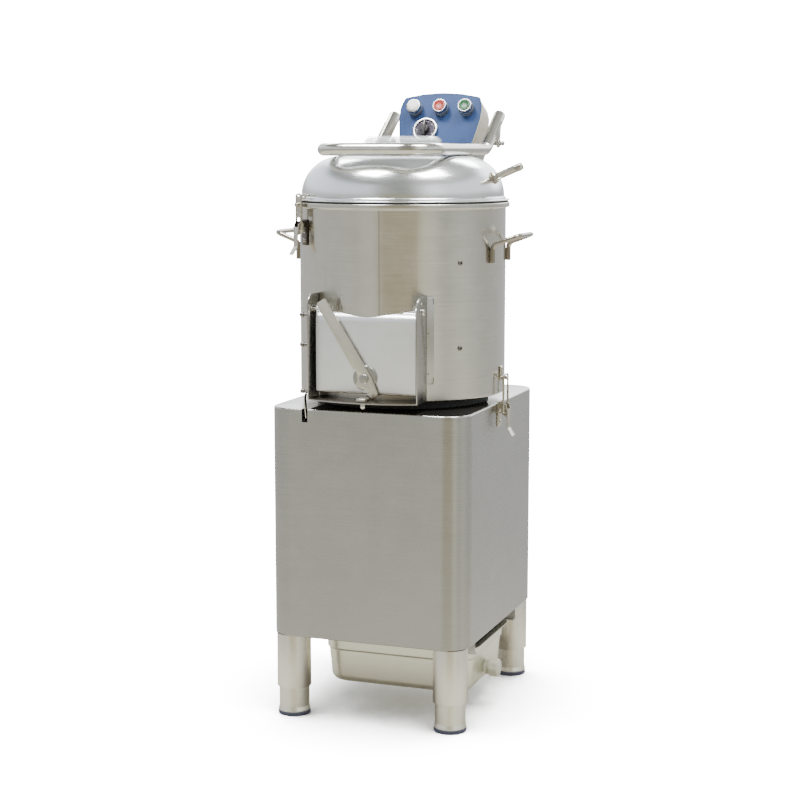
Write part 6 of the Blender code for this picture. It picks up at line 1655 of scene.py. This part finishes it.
def build_control_box():
    where = box_frame()
    case = eased(prism(box_outline(), -BOX_DEPTH, 0), BOX_EDGE, 4)
    case = worked(case, cut(prism(box_outline(-BOX_WALL), -BOX_DEPTH + BOX_WALL, CUT_OVERRUN)))
    stand_in("control_box", case, where)
    low = SEAT_GAP
    high = low + FASCIA_SHEET
    steps = [cut(disc(NECK_RADIUS + SEAT_GAP, -CUT_OVERRUN, high + CUT_OVERRUN), place(*spot))
             for spot in (LAMP_PLACE, STOP_PLACE, START_PLACE)]
    steps.append(cut(disc(TIMER_BORE + RUNNING_GAP * 2, -CUT_OVERRUN, high + CUT_OVERRUN),
                     place(*TIMER_PLACE)))
    fascia = worked(eased(prism(box_outline(FASCIA_LIP), low, high), FASCIA_EDGE, 4), *steps)
    panel = stand_in("control_panel", fascia, where)
    face = (where.to_3x3() @ Vector((0, 0, 1))).normalized()
    # The fascia's side faces are painted pale cream, a painted highlight along its edge
    repaint(panel, "edge_grey", lambda polygon: polygon.normal.dot(face) < 0.75)
    for index, spot in enumerate(FASCIA_SCREWS):
        fitting(f"fascia_screw_{index}", pan_head(*FASCIA_SCREW), "polished",
                where @ place(*spot, high - HEAD_SUNK))
    for index, spot in enumerate(CASE_SCREWS):
        fitting(f"case_screw_{index}", pan_head(*CASE_SCREW), "polished",
                where @ place(*spot, -BOX_DEPTH + HEAD_SUNK) @ turned("X", math.pi))

    seat = high + SEAT_GAP
    top = seat + BEZEL_HEIGHT
    # A dark collar stands under each bright ring
    outer_top, inner_top = (seat + BEZEL_HEIGHT * share for share in COLLAR_SHARES)
    collar = [(COLLAR_BORE, seat), (COLLAR_RADIUS, seat), (COLLAR_RADIUS, outer_top),
              (COLLAR_BORE, inner_top)]
    for name, spot in (("lamp", LAMP_PLACE), ("stop", STOP_PLACE), ("start", START_PLACE)):
        fitting(f"{name}_collar", turned_solid(collar, [0, 0.0004, 0.0005, 0], CONTROL_STEPS),
                "collar", where @ place(*spot))
    bezel = [(0, seat - NECK_DEPTH), (NECK_RADIUS, seat - NECK_DEPTH), (NECK_RADIUS, seat),
             (BEZEL_RADIUS, seat), (BEZEL_RADIUS, top), (BEZEL_BORE, top),
             (BEZEL_BORE, seat + BEZEL_FLOOR), (0, seat + BEZEL_FLOOR)]
    eases = [0, 0, 0, 0.0005, BEZEL_CHAMFER, 0.0006, 0, 0]
    rest = seat + BEZEL_FLOOR + BUTTON_TRAVEL + SEAT_GAP
    proud = top + BUTTON_PROUD
    button = [(0, rest), (BUTTON_RADIUS, rest), (BUTTON_RADIUS, proud),
              (BUTTON_RADIUS - BUTTON_CROWN, proud),
              (BUTTON_RADIUS * 0.55, proud - BUTTON_CROWN * 0.55), (0, proud - BUTTON_CROWN * 0.8)]
    press = [0, 0.0003, 0.0009, 0.0012, 0.003, 0]
    for name, spot in (("stop", STOP_PLACE), ("start", START_PLACE)):
        at = where @ place(*spot)
        stand_in(f"{name}_bezel", turned_solid(bezel, eases, CONTROL_STEPS * 2), at, "chrome")
        stand_in(f"{name}_button", turned_solid(button, press, CONTROL_STEPS * 2), at)
    lamp = [*bezel[:4], (BEZEL_RADIUS, top), (BEZEL_BORE + 0.0006, top),
            (BEZEL_BORE, top + SEAT_GAP), (BEZEL_BORE * 0.86, top + LENS_HEIGHT * 0.7),
            (BEZEL_RADIUS * 0.4, top + LENS_HEIGHT), (0, top + LENS_HEIGHT)]
    lamp_eases = [0, 0, 0, 0.0005, BEZEL_CHAMFER, 0.0003, 0, 0.003, 0.008, 0]
    at = where @ place(*LAMP_PLACE)
    lamp = stand_in("pilot_lamp", turned_solid(lamp, lamp_eases, CONTROL_STEPS * 2), at)
    back = at.inverted()

    def out_of_lens(polygon):
        local = back @ polygon.center
        return local.z < top - SEAT_GAP or math.hypot(local.x, local.y) > BEZEL_BORE + PICK_MARGIN
    repaint(lamp, "chrome", out_of_lens)

    at = where @ place(*TIMER_PLACE)
    rim = seat + TIMER_HEIGHT
    dial = rim - TIMER_FACE_SINK
    ring = [(TIMER_BORE, seat), (TIMER_RADIUS, seat), (TIMER_RADIUS, rim),
            (TIMER_FACE_RADIUS, rim), (TIMER_FACE_RADIUS, dial), (TIMER_BORE, dial)]
    ring = turned_solid(ring, [0, 0.0005, 0.0016, 0.0008, 0, 0], CONTROL_STEPS * 2)
    timer = stand_in("timer_dial", ring, at)
    centre = at.inverted()

    def on_rim(polygon):
        local = centre @ polygon.center
        return math.hypot(local.x, local.y) > TIMER_FACE_RADIUS - PICK_MARGIN
    repaint(timer, "chrome", on_rim)
    ticks = bmesh.new()
    low, high = (dial + lift for lift in TICK_LEVELS)
    for k in range(TICK_COUNT):
        length, half = TICK_LONG if k % 5 == 0 else TICK_SHORT
        mark = box(TIMER_FACE_RADIUS - length, TIMER_FACE_RADIUS - TICK_GAP, -half, half, low, high)
        turn = math.radians(TICK_START - TICK_TURN * k)
        bmesh.ops.transform(mark, verts=mark.verts, matrix=turned("Z", turn))
        sheet = mesh_of("tick", mark)
        ticks.from_mesh(sheet)
        bpy.data.meshes.remove(sheet)
    fitting("timer_ticks", ticks, "white", at)
    base = dial + SEAT_GAP
    knob = [(0, seat - NECK_DEPTH / 2), (KNOB_STEM, seat - NECK_DEPTH / 2), (KNOB_STEM, base),
            (KNOB_RADIUS, base), (KNOB_RADIUS * 0.9, base + KNOB_HEIGHT), (0, base + KNOB_HEIGHT)]
    half = POINTER_WIDTH / 2
    reach = POINTER_LENGTH / 2
    pointer = [(-half, -reach * 0.9), (half, -reach * 0.9), (half * 0.8, reach * 0.8), (0, reach),
               (-half * 0.8, reach * 0.8)]
    crest = base + POINTER_HEIGHT + KNOB_HEIGHT / 2
    bar = eased(prism(pointer, base, crest), BLOCK_EDGE)
    body = turned_solid(knob, [0, 0, 0, 0.0005, 0.0012, 0], CONTROL_STEPS)
    stand_in("timer_knob", worked(body, join(bar)), at)
    line = box(-KNOB_LINE, KNOB_LINE, reach * 0.35, reach * 0.86, 0, PAINT)
    piece("knob_line", line, "white", "timer_knob", at @ place(0, 0, crest), ())


def build_handles():
    spread = HANDLE_HALF_SPREAD
    wall = DRUM_RADIUS + HANDLE_RADIUS + SEAT_GAP
    stand = math.sqrt(wall ** 2 - spread ** 2)
    route = [(stand, -spread, HANDLE_FOOT), (stand, -spread, HANDLE_KNEE),
             (HANDLE_REACH, -spread * 0.9, HANDLE_LOOP_Z),
             (HANDLE_REACH, spread * 0.9, HANDLE_LOOP_Z),
             (stand, spread, HANDLE_KNEE), (stand, spread, HANDLE_FOOT)]
    radii = [0, HANDLE_KNEE_BEND, HANDLE_LOOP_BEND, HANDLE_LOOP_BEND, HANDLE_KNEE_BEND, 0]
    for side, angle in (("right", 0), ("left", math.pi)):
        at = place(0, DRUM_Y) @ turned("Z", angle)
        wire = tube(filleted(route, radii, 10), HANDLE_RADIUS, 28, HANDLE_END_EASE)
        stand_in(f"carry_handle_{side}", wire, at, "handle_steel")
        for index, sign in enumerate((-1, 1)):
            turn = angle + math.atan2(sign * spread, stand)
            seam = [(DRUM_RADIUS + HANDLE_WELD_OUT, 0, level) for level in HANDLE_WELD_SPAN]
            fitting(f"handle_weld_{side}_{index}", tube(seam, HANDLE_WELD, 16, HANDLE_WELD_EASE),
                    "weld", place(0, DRUM_Y) @ turned("Z", turn))


def build_latch(prefix, where, bail_route, base_finish, extra=()):
    """The smooth base, lever and wire bail of a toggle latch, in the frame of its wall."""
    out = LATCH_PIVOT_OUT
    plate = eased(box(0, LATCH_PLATE, -LATCH_HALF_WIDTH, LATCH_HALF_WIDTH, -LATCH_DROP, LATCH_HEAD),
                  LATCH_EDGE)
    cheek = [(LATCH_PLATE / 2, -LATCH_CHEEK_RADIUS)]
    cheek += arc((out, 0), LATCH_CHEEK_RADIUS, -QUARTER, QUARTER, CORNER_STEPS)
    cheek += [(LATCH_PLATE / 2, LATCH_CHEEK_RADIUS)]
    pin_end = LEVER_CHEEK_INNER + LEVER_CHEEK + SEAT_GAP
    steps = []
    for sign in (-1, 1):
        steps.append(join(front_prism(cheek, *mirrored(sign, LATCH_CHEEK_INNER,
                                                       LATCH_CHEEK_INNER + LATCH_CHEEK))))
        root, tip = mirrored(sign, LATCH_CHEEK_INNER + LATCH_CHEEK / 2, pin_end)
        steps.append(join(along_y(disc(LATCH_PIN_RADIUS, -tip, -root)), place(out)))
    stand_in(f"{prefix}_base", worked(plate, *steps), where, base_finish)
    for index, z in enumerate(LATCH_RIVETS):
        at = where @ place(LATCH_PLATE - HEAD_SUNK, 0, z) @ turned("Y", QUARTER)
        fitting(f"{prefix}_rivet_{index}", pan_head(*LATCH_RIVET), "plated", at)

    pivot = place(out)
    shell_in = LEVER_SHELL_OUT
    shell_out = shell_in + LEVER_SHELL
    lip = -LEVER_REACH - LEVER_LIP_DROP
    top = -LATCH_CHEEK_RADIUS
    strip = [(shell_in, top), (shell_in, -LEVER_REACH), (shell_in + LEVER_LIP_OUT, lip),
             (shell_out + LEVER_LIP_OUT, lip), (shell_out, -LEVER_REACH), (shell_out, top)]
    strip = flat(filleted(strip, [0, 0.006, 0.0003, 0.0003, 0.005, 0], 8, closed=True))
    width = LEVER_CHEEK_INNER + LEVER_CHEEK
    round_end = LATCH_CHEEK_RADIUS - SEAT_GAP
    wing = arc((0, 0), round_end, QUARTER, math.pi, CORNER_STEPS)
    wing += arc((0, -LATCH_THROW), round_end, math.pi, math.pi * 3 / 2, CORNER_STEPS)
    middle = shell_in + LEVER_SHELL / 2
    wing += [(middle, -LATCH_THROW * 1.8), (middle, top), (round_end, 0)]
    eye = LATCH_PIN_RADIUS + RUNNING_GAP
    steps = [join(front_prism(wing, *mirrored(sign, LEVER_CHEEK_INNER, width))) for sign in (-1, 1)]
    steps += [cut(along_y(disc(eye, -width - CUT_OVERRUN, width + CUT_OVERRUN)), place(0, 0, drop))
              for drop in (0, -LATCH_THROW)]
    lever = worked(front_prism(strip, -width, width), *steps)
    stand_in(f"{prefix}_lever", eased(lever, FINE_EDGE, 2), where @ pivot, "plated")
    hook = LEVER_CHEEK_INNER - SEAT_GAP / 2
    spread = BAIL_HALF_SPREAD
    half = [(0, hook, 0), (0, spread, 0)] + [(x, spread, z) for x, z in bail_route]
    route = half + [(x, -y, z) for x, y, z in reversed(half)]
    radii = [0, BAIL_EYE_BEND] + [BAIL_BEND] * (len(route) - 4) + [BAIL_EYE_BEND, 0]
    wire = tube(filleted(route, radii, 8), BAIL_RADIUS, 20)
    stand_in(f"{prefix}_bail", worked(wire, *extra),
             where @ pivot @ place(0, 0, -LATCH_THROW), "plated")


def build_latches():
    side = CABINET_WIDTH / 2 + SEAT_GAP
    bar = KEEPER_PIN_Z + KEEPER_PIN_RADIUS + BAIL_GAP + BAIL_RADIUS
    reach = bar - DRUM_LATCH_PIVOT_Z + LATCH_THROW
    build_latch("drum_latch", place(side, DRUM_Y, DRUM_LATCH_PIVOT_Z), [(0, reach)], "plated")
    wall = DRUM_RADIUS + SEAT_GAP
    hook_z = FLANGE_TOP + DOME_HOOK_GAP + BAIL_RADIUS
    rise = hook_z - DOME_LATCH_PIVOT_Z + LATCH_THROW
    crook = rise + DOME_HOOK_ARCH
    inset = RIM_RADIUS - DOME_HOOK_INSET - wall - LATCH_PIVOT_OUT
    where = place(0, DRUM_Y) @ turned("Z", DOME_LATCH_ANGLE) @ place(wall, 0, DOME_LATCH_PIVOT_Z)
    leaf = STRAP_LEAF / 2
    strap = eased(box(-leaf, leaf, -BAIL_HALF_SPREAD, BAIL_HALF_SPREAD, STRAP_LEAF_FOOT,
                      crook - BAIL_BEND), SHEET_EDGE, 2)
    stud = turned_solid([(0, 0), (STRAP_STUD_RADIUS, 0), (STRAP_STUD_RADIUS, STRAP_STUD_LENGTH),
                         (0, STRAP_STUD_LENGTH)], [0, 0, 0.0014, 0], ROUND_STEPS)
    build_latch("dome_latch", where, [(0, crook), (inset, crook), (inset, rise)], "latch_dark",
                (join(strap), join(along_x(stud), place(0, 0, rise - LATCH_THROW))))

    low = KEEPER_PIN_Z - KEEPER_MARGIN
    high = KEEPER_PIN_Z + KEEPER_BOSS_RISE + KEEPER_MARGIN
    plate = eased(box(wall, wall + KEEPER_PLATE, -KEEPER_HALF_WIDTH, KEEPER_HALF_WIDTH, low, high),
                  BLOCK_EDGE)
    inside = wall + KEEPER_PLATE / 2
    tip = wall + KEEPER_PIN_LENGTH
    pin = [(0, inside), (KEEPER_PIN_RADIUS, inside), (KEEPER_PIN_RADIUS, tip), (0, tip)]
    pin = turned_solid(pin, [0, 0, 0.0012, 0], ROUND_STEPS)
    crest = wall + KEEPER_BOSS_LENGTH
    boss = [(0, inside), (KEEPER_BOSS_RADIUS, inside),
            (KEEPER_BOSS_RADIUS, wall + KEEPER_BOSS_LENGTH * 0.55), (0, crest)]
    stand_in("drum_latch_keeper",
             worked(plate, join(along_x(pin), place(0, 0, KEEPER_PIN_Z)),
                    join(along_x(turned_solid(boss, [0, 0, 0.0022, 0], ROUND_STEPS)),
                         place(0, 0, KEEPER_PIN_Z + KEEPER_BOSS_RISE))), place(0, DRUM_Y), "plated")


def tray_loop(inset, z, corner):
    half_l = TRAY_LENGTH / 2 - inset
    half_d = TRAY_DEPTH / 2 - inset
    outline = rounded_rectangle(-half_l, half_l, -half_d, half_d, corner, TRAY_STEPS)
    return [(x, y, z) for x, y in outline]


def build_tray():
    sheet = TRAY_SHEET
    top = TRAY_TOP
    step = TRAY_RIM + TRAY_SHOULDER_STEP
    foot = step + TRAY_TAPER
    toe = TRAY_TOE
    outer = [(0, top), (0, top - sheet), (TRAY_RIM, top - sheet), (TRAY_RIM, top - TRAY_SHOULDER),
             (step, top - TRAY_SHOULDER - TRAY_SHOULDER_STEP), (foot, TRAY_BOTTOM),
             (foot + toe * 3, TRAY_BOTTOM)]
    wall = flat(filleted(outer, [0, 0, 0.001, 0.003, 0.003, toe, 0], 8))
    hollow = flat(filleted(outer[3:], [0, 0.003, toe - sheet, 0], 8))[1:]
    path = [*reversed(wall), (TRAY_RIM + sheet, top), *((x + sheet, z + sheet) for x, z in hollow)]
    loops = [tray_loop(inset, z, max(TRAY_CORNER - inset * 0.6, toe)) for inset, z in path]
    at = place(TRAY_X, DRUM_Y)
    drain = place(TRAY_LENGTH / 2 - step, DRAIN_Y - DRUM_Y, DRAIN_Z)
    hole = disc(DRAIN_RADIUS + SEAT_GAP, -toe, toe)
    tray = worked(loft(loops), cut(along_x(hole), drain))
    stand_in("waste_tray", tray, at, "tray_steel", 30)

    seat = RUNNING_GAP
    grip = seat + DRAIN_FLANGE
    end = grip + DRAIN_BODY
    body = [(0, -DRAIN_INNER - TRAY_TAPER), (DRAIN_RADIUS, -DRAIN_INNER - TRAY_TAPER),
            (DRAIN_RADIUS, seat), (DRAIN_FLANGE_RADIUS, seat), (DRAIN_FLANGE_RADIUS, grip),
            (DRAIN_RADIUS, grip), (DRAIN_RADIUS, end), (0, end)]
    body_ease = [0, 0, 0, 0.0008, 0.0014, 0.0008, 0.0006, 0]
    stand_in("drain_valve", along_x(turned_solid(body, body_ease, ROUND_STEPS * 2)), at @ drain)
    start = end - DRAIN_CAP_SOCKET + SEAT_GAP
    socket = start + DRAIN_CAP_SOCKET
    end = start + DRAIN_CAP_LENGTH
    bore = DRAIN_RADIUS + RUNNING_GAP
    soft = []
    count = DRAIN_SIDES * 10
    for z, size, ribs in ((start, 0.93, 0.0), (start + 0.0012, 0.985, 0.6),
                          (start + 0.0028, 1.0, 1.0), (end - 0.0045, 1.0, 1.0),
                          (end - 0.0020, 0.975, 0.7), (end - 0.0007, 0.92, 0.2), (end, 0.85, 0.0)):
        loop = []
        for k in range(count):
            turn = 2 * math.pi * k / count
            hollow = (0.5 - 0.5 * math.cos(DRAIN_SIDES * turn)) ** DRAIN_LOBE_FALL
            lobe = 1 - DRAIN_LOBE * ribs * hollow
            loop.append((DRAIN_CAP_RADIUS * size * lobe * math.cos(turn),
                         DRAIN_CAP_RADIUS * size * lobe * math.sin(turn), z))
        soft.append(loop)
    cap = worked(loft(soft), cut(disc(bore, start - CUT_OVERRUN, socket)))
    stand_in("drain_cap", along_x(cap), at @ drain)


def build_plain_nodes():
    """Nodes whose CAD shape is right: their edges are eased, or they only get their finish."""
    for node, width, finish in (
            ("base_frame", 0.0006, "zinc"), ("tray_runner", 0.0004, "zinc"),
            ("rear_column", 0.0012, "brushed"), ("waste_pipe", 0.0004, "black"),
            ("bearing_housing", 0.0010, "cast"), ("motor", 0.0008, "cast"),
            ("driven_pulley", 0.0006, "cast"), ("motor_pulley", 0.0006, "cast"),
            ("drive_shaft", 0.0004, "polished"), ("drive_belt", 0.0008, "rubber")):
        eased_copy(node, width, 2, finish)


def build_floor():
    """A plain white floor: it shows only where the machine keeps the light off it."""
    finish = Finish("studio_floor")
    paper = finish.noise(finish.place(), 40.0, 4.0)
    finish.shader.inputs["Specular IOR Level"].default_value = 0.1
    # Reflections and bounce light see the floor dark brown, a painted shade under the machine; the
    # camera sees it white
    direct = Signal(finish, finish.node("ShaderNodeLightPath").outputs["Is Camera Ray"])
    tone = finish.mix(paper, (0.85, 0.85, 0.84), (0.89, 0.89, 0.88))
    finish.dress(base_color=finish.mix(direct, (0.16, 0.14, 0.11), tone), roughness=0.8)
    open_sky = finish.number("ShaderNodeAmbientOcclusion", {"samples": 12},
                             {"Distance": SHADOW_REACH}, "AO")
    clear = finish.node("ShaderNodeBsdfTransparent")
    blend = finish.node("ShaderNodeMixShader", {},
                        {0: open_sky.between(0.28, 0.99) ** SHADOW_FALL,
                         1: finish.shader.outputs[0], 2: clear.outputs[0]})
    output = finish.tree.nodes["Material Output"]
    finish.feed(output.inputs["Surface"], blend.outputs[0])
    bm = bmesh.new()
    bmesh.ops.create_circle(bm, cap_ends=True, segments=96, radius=FLOOR_RADIUS)
    floor = bpy.data.objects.new("studio_floor", mesh_of("studio_floor", bm))
    floor.data.materials.append(finish.material)
    bpy.context.scene.collection.objects.link(floor)


def build_room():
    """Soft studio surroundings: white to look at, banded greys in the metal."""
    world = bpy.data.worlds.new("studio")
    bpy.context.scene.world = world
    world.use_nodes = True
    tree = world.node_tree
    room = Finish("room", tree=tree)
    way = room.node("ShaderNodeTexCoord").outputs["Generated"]
    parts = room.node("ShaderNodeSeparateXYZ", {}, {0: way})
    x, y, z = (Signal(room, parts.outputs[k]) for k in range(3))
    turn = x.math("ARCTAN2", x, 0 - y) / (2 * math.pi) + 0.5

    def around(bands):
        stops = [(angle / 360 + 0.5, colour) for angle, colour in bands]
        return room.node("ShaderNodeValToRGB", {"stops": stops}, {0: turn}).outputs["Color"]
    seen = room.mix(z.between(*WALL_RISE), around(LOW_BANDS), around(HIGH_BANDS))
    seen = room.mix(z.between(*CEILING_RISE), seen, around(CEILING))
    seen = room.mix((0 - z).between(*FLOOR_DROP), seen, FLOOR_GLOW)
    camera = Signal(room, room.node("ShaderNodeLightPath").outputs["Is Camera Ray"])
    backdrop = room.node("ShaderNodeBackground", {}, {"Color": (1.0, 1.0, 1.0, 1.0),
                                                      "Strength": BACKDROP})
    ambience = tree.nodes["Background"]
    room.feed(ambience.inputs["Color"], seen)
    blend = room.node("ShaderNodeMixShader", {}, {0: camera, 1: ambience.outputs[0],
                                                  2: backdrop.outputs[0]})
    room.feed(tree.nodes["World Output"].inputs["Surface"], blend.outputs[0])


def soft_light(name, azimuth, elevation, width, height, power, colour=(1.0, 1.0, 1.0)):
    """A softbox that faces the machine's middle from a direction, 0 degrees being the front."""
    data = bpy.data.lights.new(name, "AREA")
    data.shape = "RECTANGLE"
    data.size = width
    data.size_y = height
    data.energy = power
    data.color = colour
    turn, lift = math.radians(azimuth), math.radians(elevation)
    away = Vector((math.sin(turn) * math.cos(lift), -math.cos(turn) * math.cos(lift),
                   math.sin(lift)))
    item = bpy.data.objects.new(name, data)
    item.location = Vector((0, 0, LIGHT_AIM)) + away * LIGHT_DISTANCE
    item.rotation_euler = away.to_track_quat("Z", "Y").to_euler()
    bpy.context.scene.collection.objects.link(item)


def build_camera():
    data = bpy.data.cameras.new("photo_camera")
    data.lens = CAMERA_LENS
    data.sensor_width = CAMERA_SENSOR
    yaw, pitch = math.radians(CAMERA_YAW), math.radians(CAMERA_PITCH)
    ahead = Vector((-math.sin(yaw) * math.cos(pitch), math.cos(yaw) * math.cos(pitch),
                    -math.sin(pitch)))
    item = bpy.data.objects.new("photo_camera", data)
    item.location = CAMERA_PLACE
    item.rotation_euler = ahead.to_track_quat("-Z", "Y").to_euler()
    bpy.context.scene.collection.objects.link(item)
    bpy.context.scene.camera = item


CAMERA_PLACE = (1.17146, -3.24359, 1.08498)
CAMERA_YAW = 20.077
CAMERA_PITCH = 8.060
CAMERA_LENS = 79.04
CAMERA_SENSOR = 36.0
SHADOW_REACH = 0.38          # how far the machine darkens the floor
SHADOW_FALL = 1.5
FLOOR_RADIUS = 2.4
LIGHT_AIM = 0.85             # height that the softboxes face
LIGHT_DISTANCE = 1.9
BACKDROP = 20.0
WALL_RISE = (0.02, 0.22)     # where each layer of the room blends into the next
CEILING_RISE = (0.48, 0.66)
FLOOR_DROP = (0.22, 0.36)
# Colours of the room round the machine, in degrees from the front, in three layers of height
LOW_BANDS = [(-180, (0.80, 0.80, 0.80)), (-150, (0.64, 0.64, 0.63)), (-110, (0.78, 0.78, 0.76)),
             (-60, (0.66, 0.66, 0.63)), (-34, (0.62, 0.62, 0.56)), (-12, (0.74, 0.745, 0.66)),
             (-3, (0.47, 0.41, 0.27)), (34, (0.51, 0.435, 0.275)), (45, (0.91, 0.89, 0.71)),
             (54, (0.76, 0.755, 0.65)), (66, (0.49, 0.505, 0.46)), (90, (0.75, 0.77, 0.73)),
             (120, (0.61, 0.61, 0.58)), (140, (0.66, 0.66, 0.62)), (165, (0.74, 0.74, 0.74))]
HIGH_BANDS = [(-180, (4.6, 4.7, 4.8)), (-150, (4.0, 4.1, 4.2)), (-137, (1.7, 1.8, 1.9)),
              (-60, (1.20, 1.26, 1.36)), (-20, (1.12, 1.16, 1.22)), (-6, (0.62, 0.61, 0.58)),
              (14, (0.40, 0.41, 0.36)), (28, (0.45, 0.46, 0.42)), (40, (1.0, 1.02, 1.02)),
              (55, (1.9, 1.95, 1.95)), (75, (1.35, 1.42, 1.45)), (140, (1.4, 1.5, 1.52)),
              (154, (3.6, 3.7, 3.8))]
CEILING = [(-180, (0.56, 0.57, 0.56)), (-120, (0.38, 0.39, 0.36)), (-20, (0.38, 0.39, 0.36)),
           (20, (0.36, 0.37, 0.34)), (45, (0.74, 0.74, 0.70)), (140, (0.72, 0.73, 0.70)),
           (170, (0.60, 0.61, 0.60))]
FLOOR_GLOW = (1.55, 1.50, 1.28)

build_cabinet()
build_painted_shade_sheet()
build_rear_panel()
build_legs()
build_drum()
build_abrasive_plate()
build_chute()
build_door()
build_tongue()
build_dome()
build_lid()
build_hinge_bracket()
build_control_box()
build_handles()
build_latches()
build_tray()
build_plain_nodes()
build_floor()
build_room()
soft_light("softbox_left", -38, 66, 0.62, 0.60, 50)
soft_light("softbox_right", 69, 65, 0.74, 0.66, 46, (1.0, 0.98, 0.95))
soft_light("softbox_rear_left", -133, 43, 0.42, 0.30, 8)
soft_light("softbox_rear_right", 170, 42, 0.60, 0.34, 12)
build_camera()
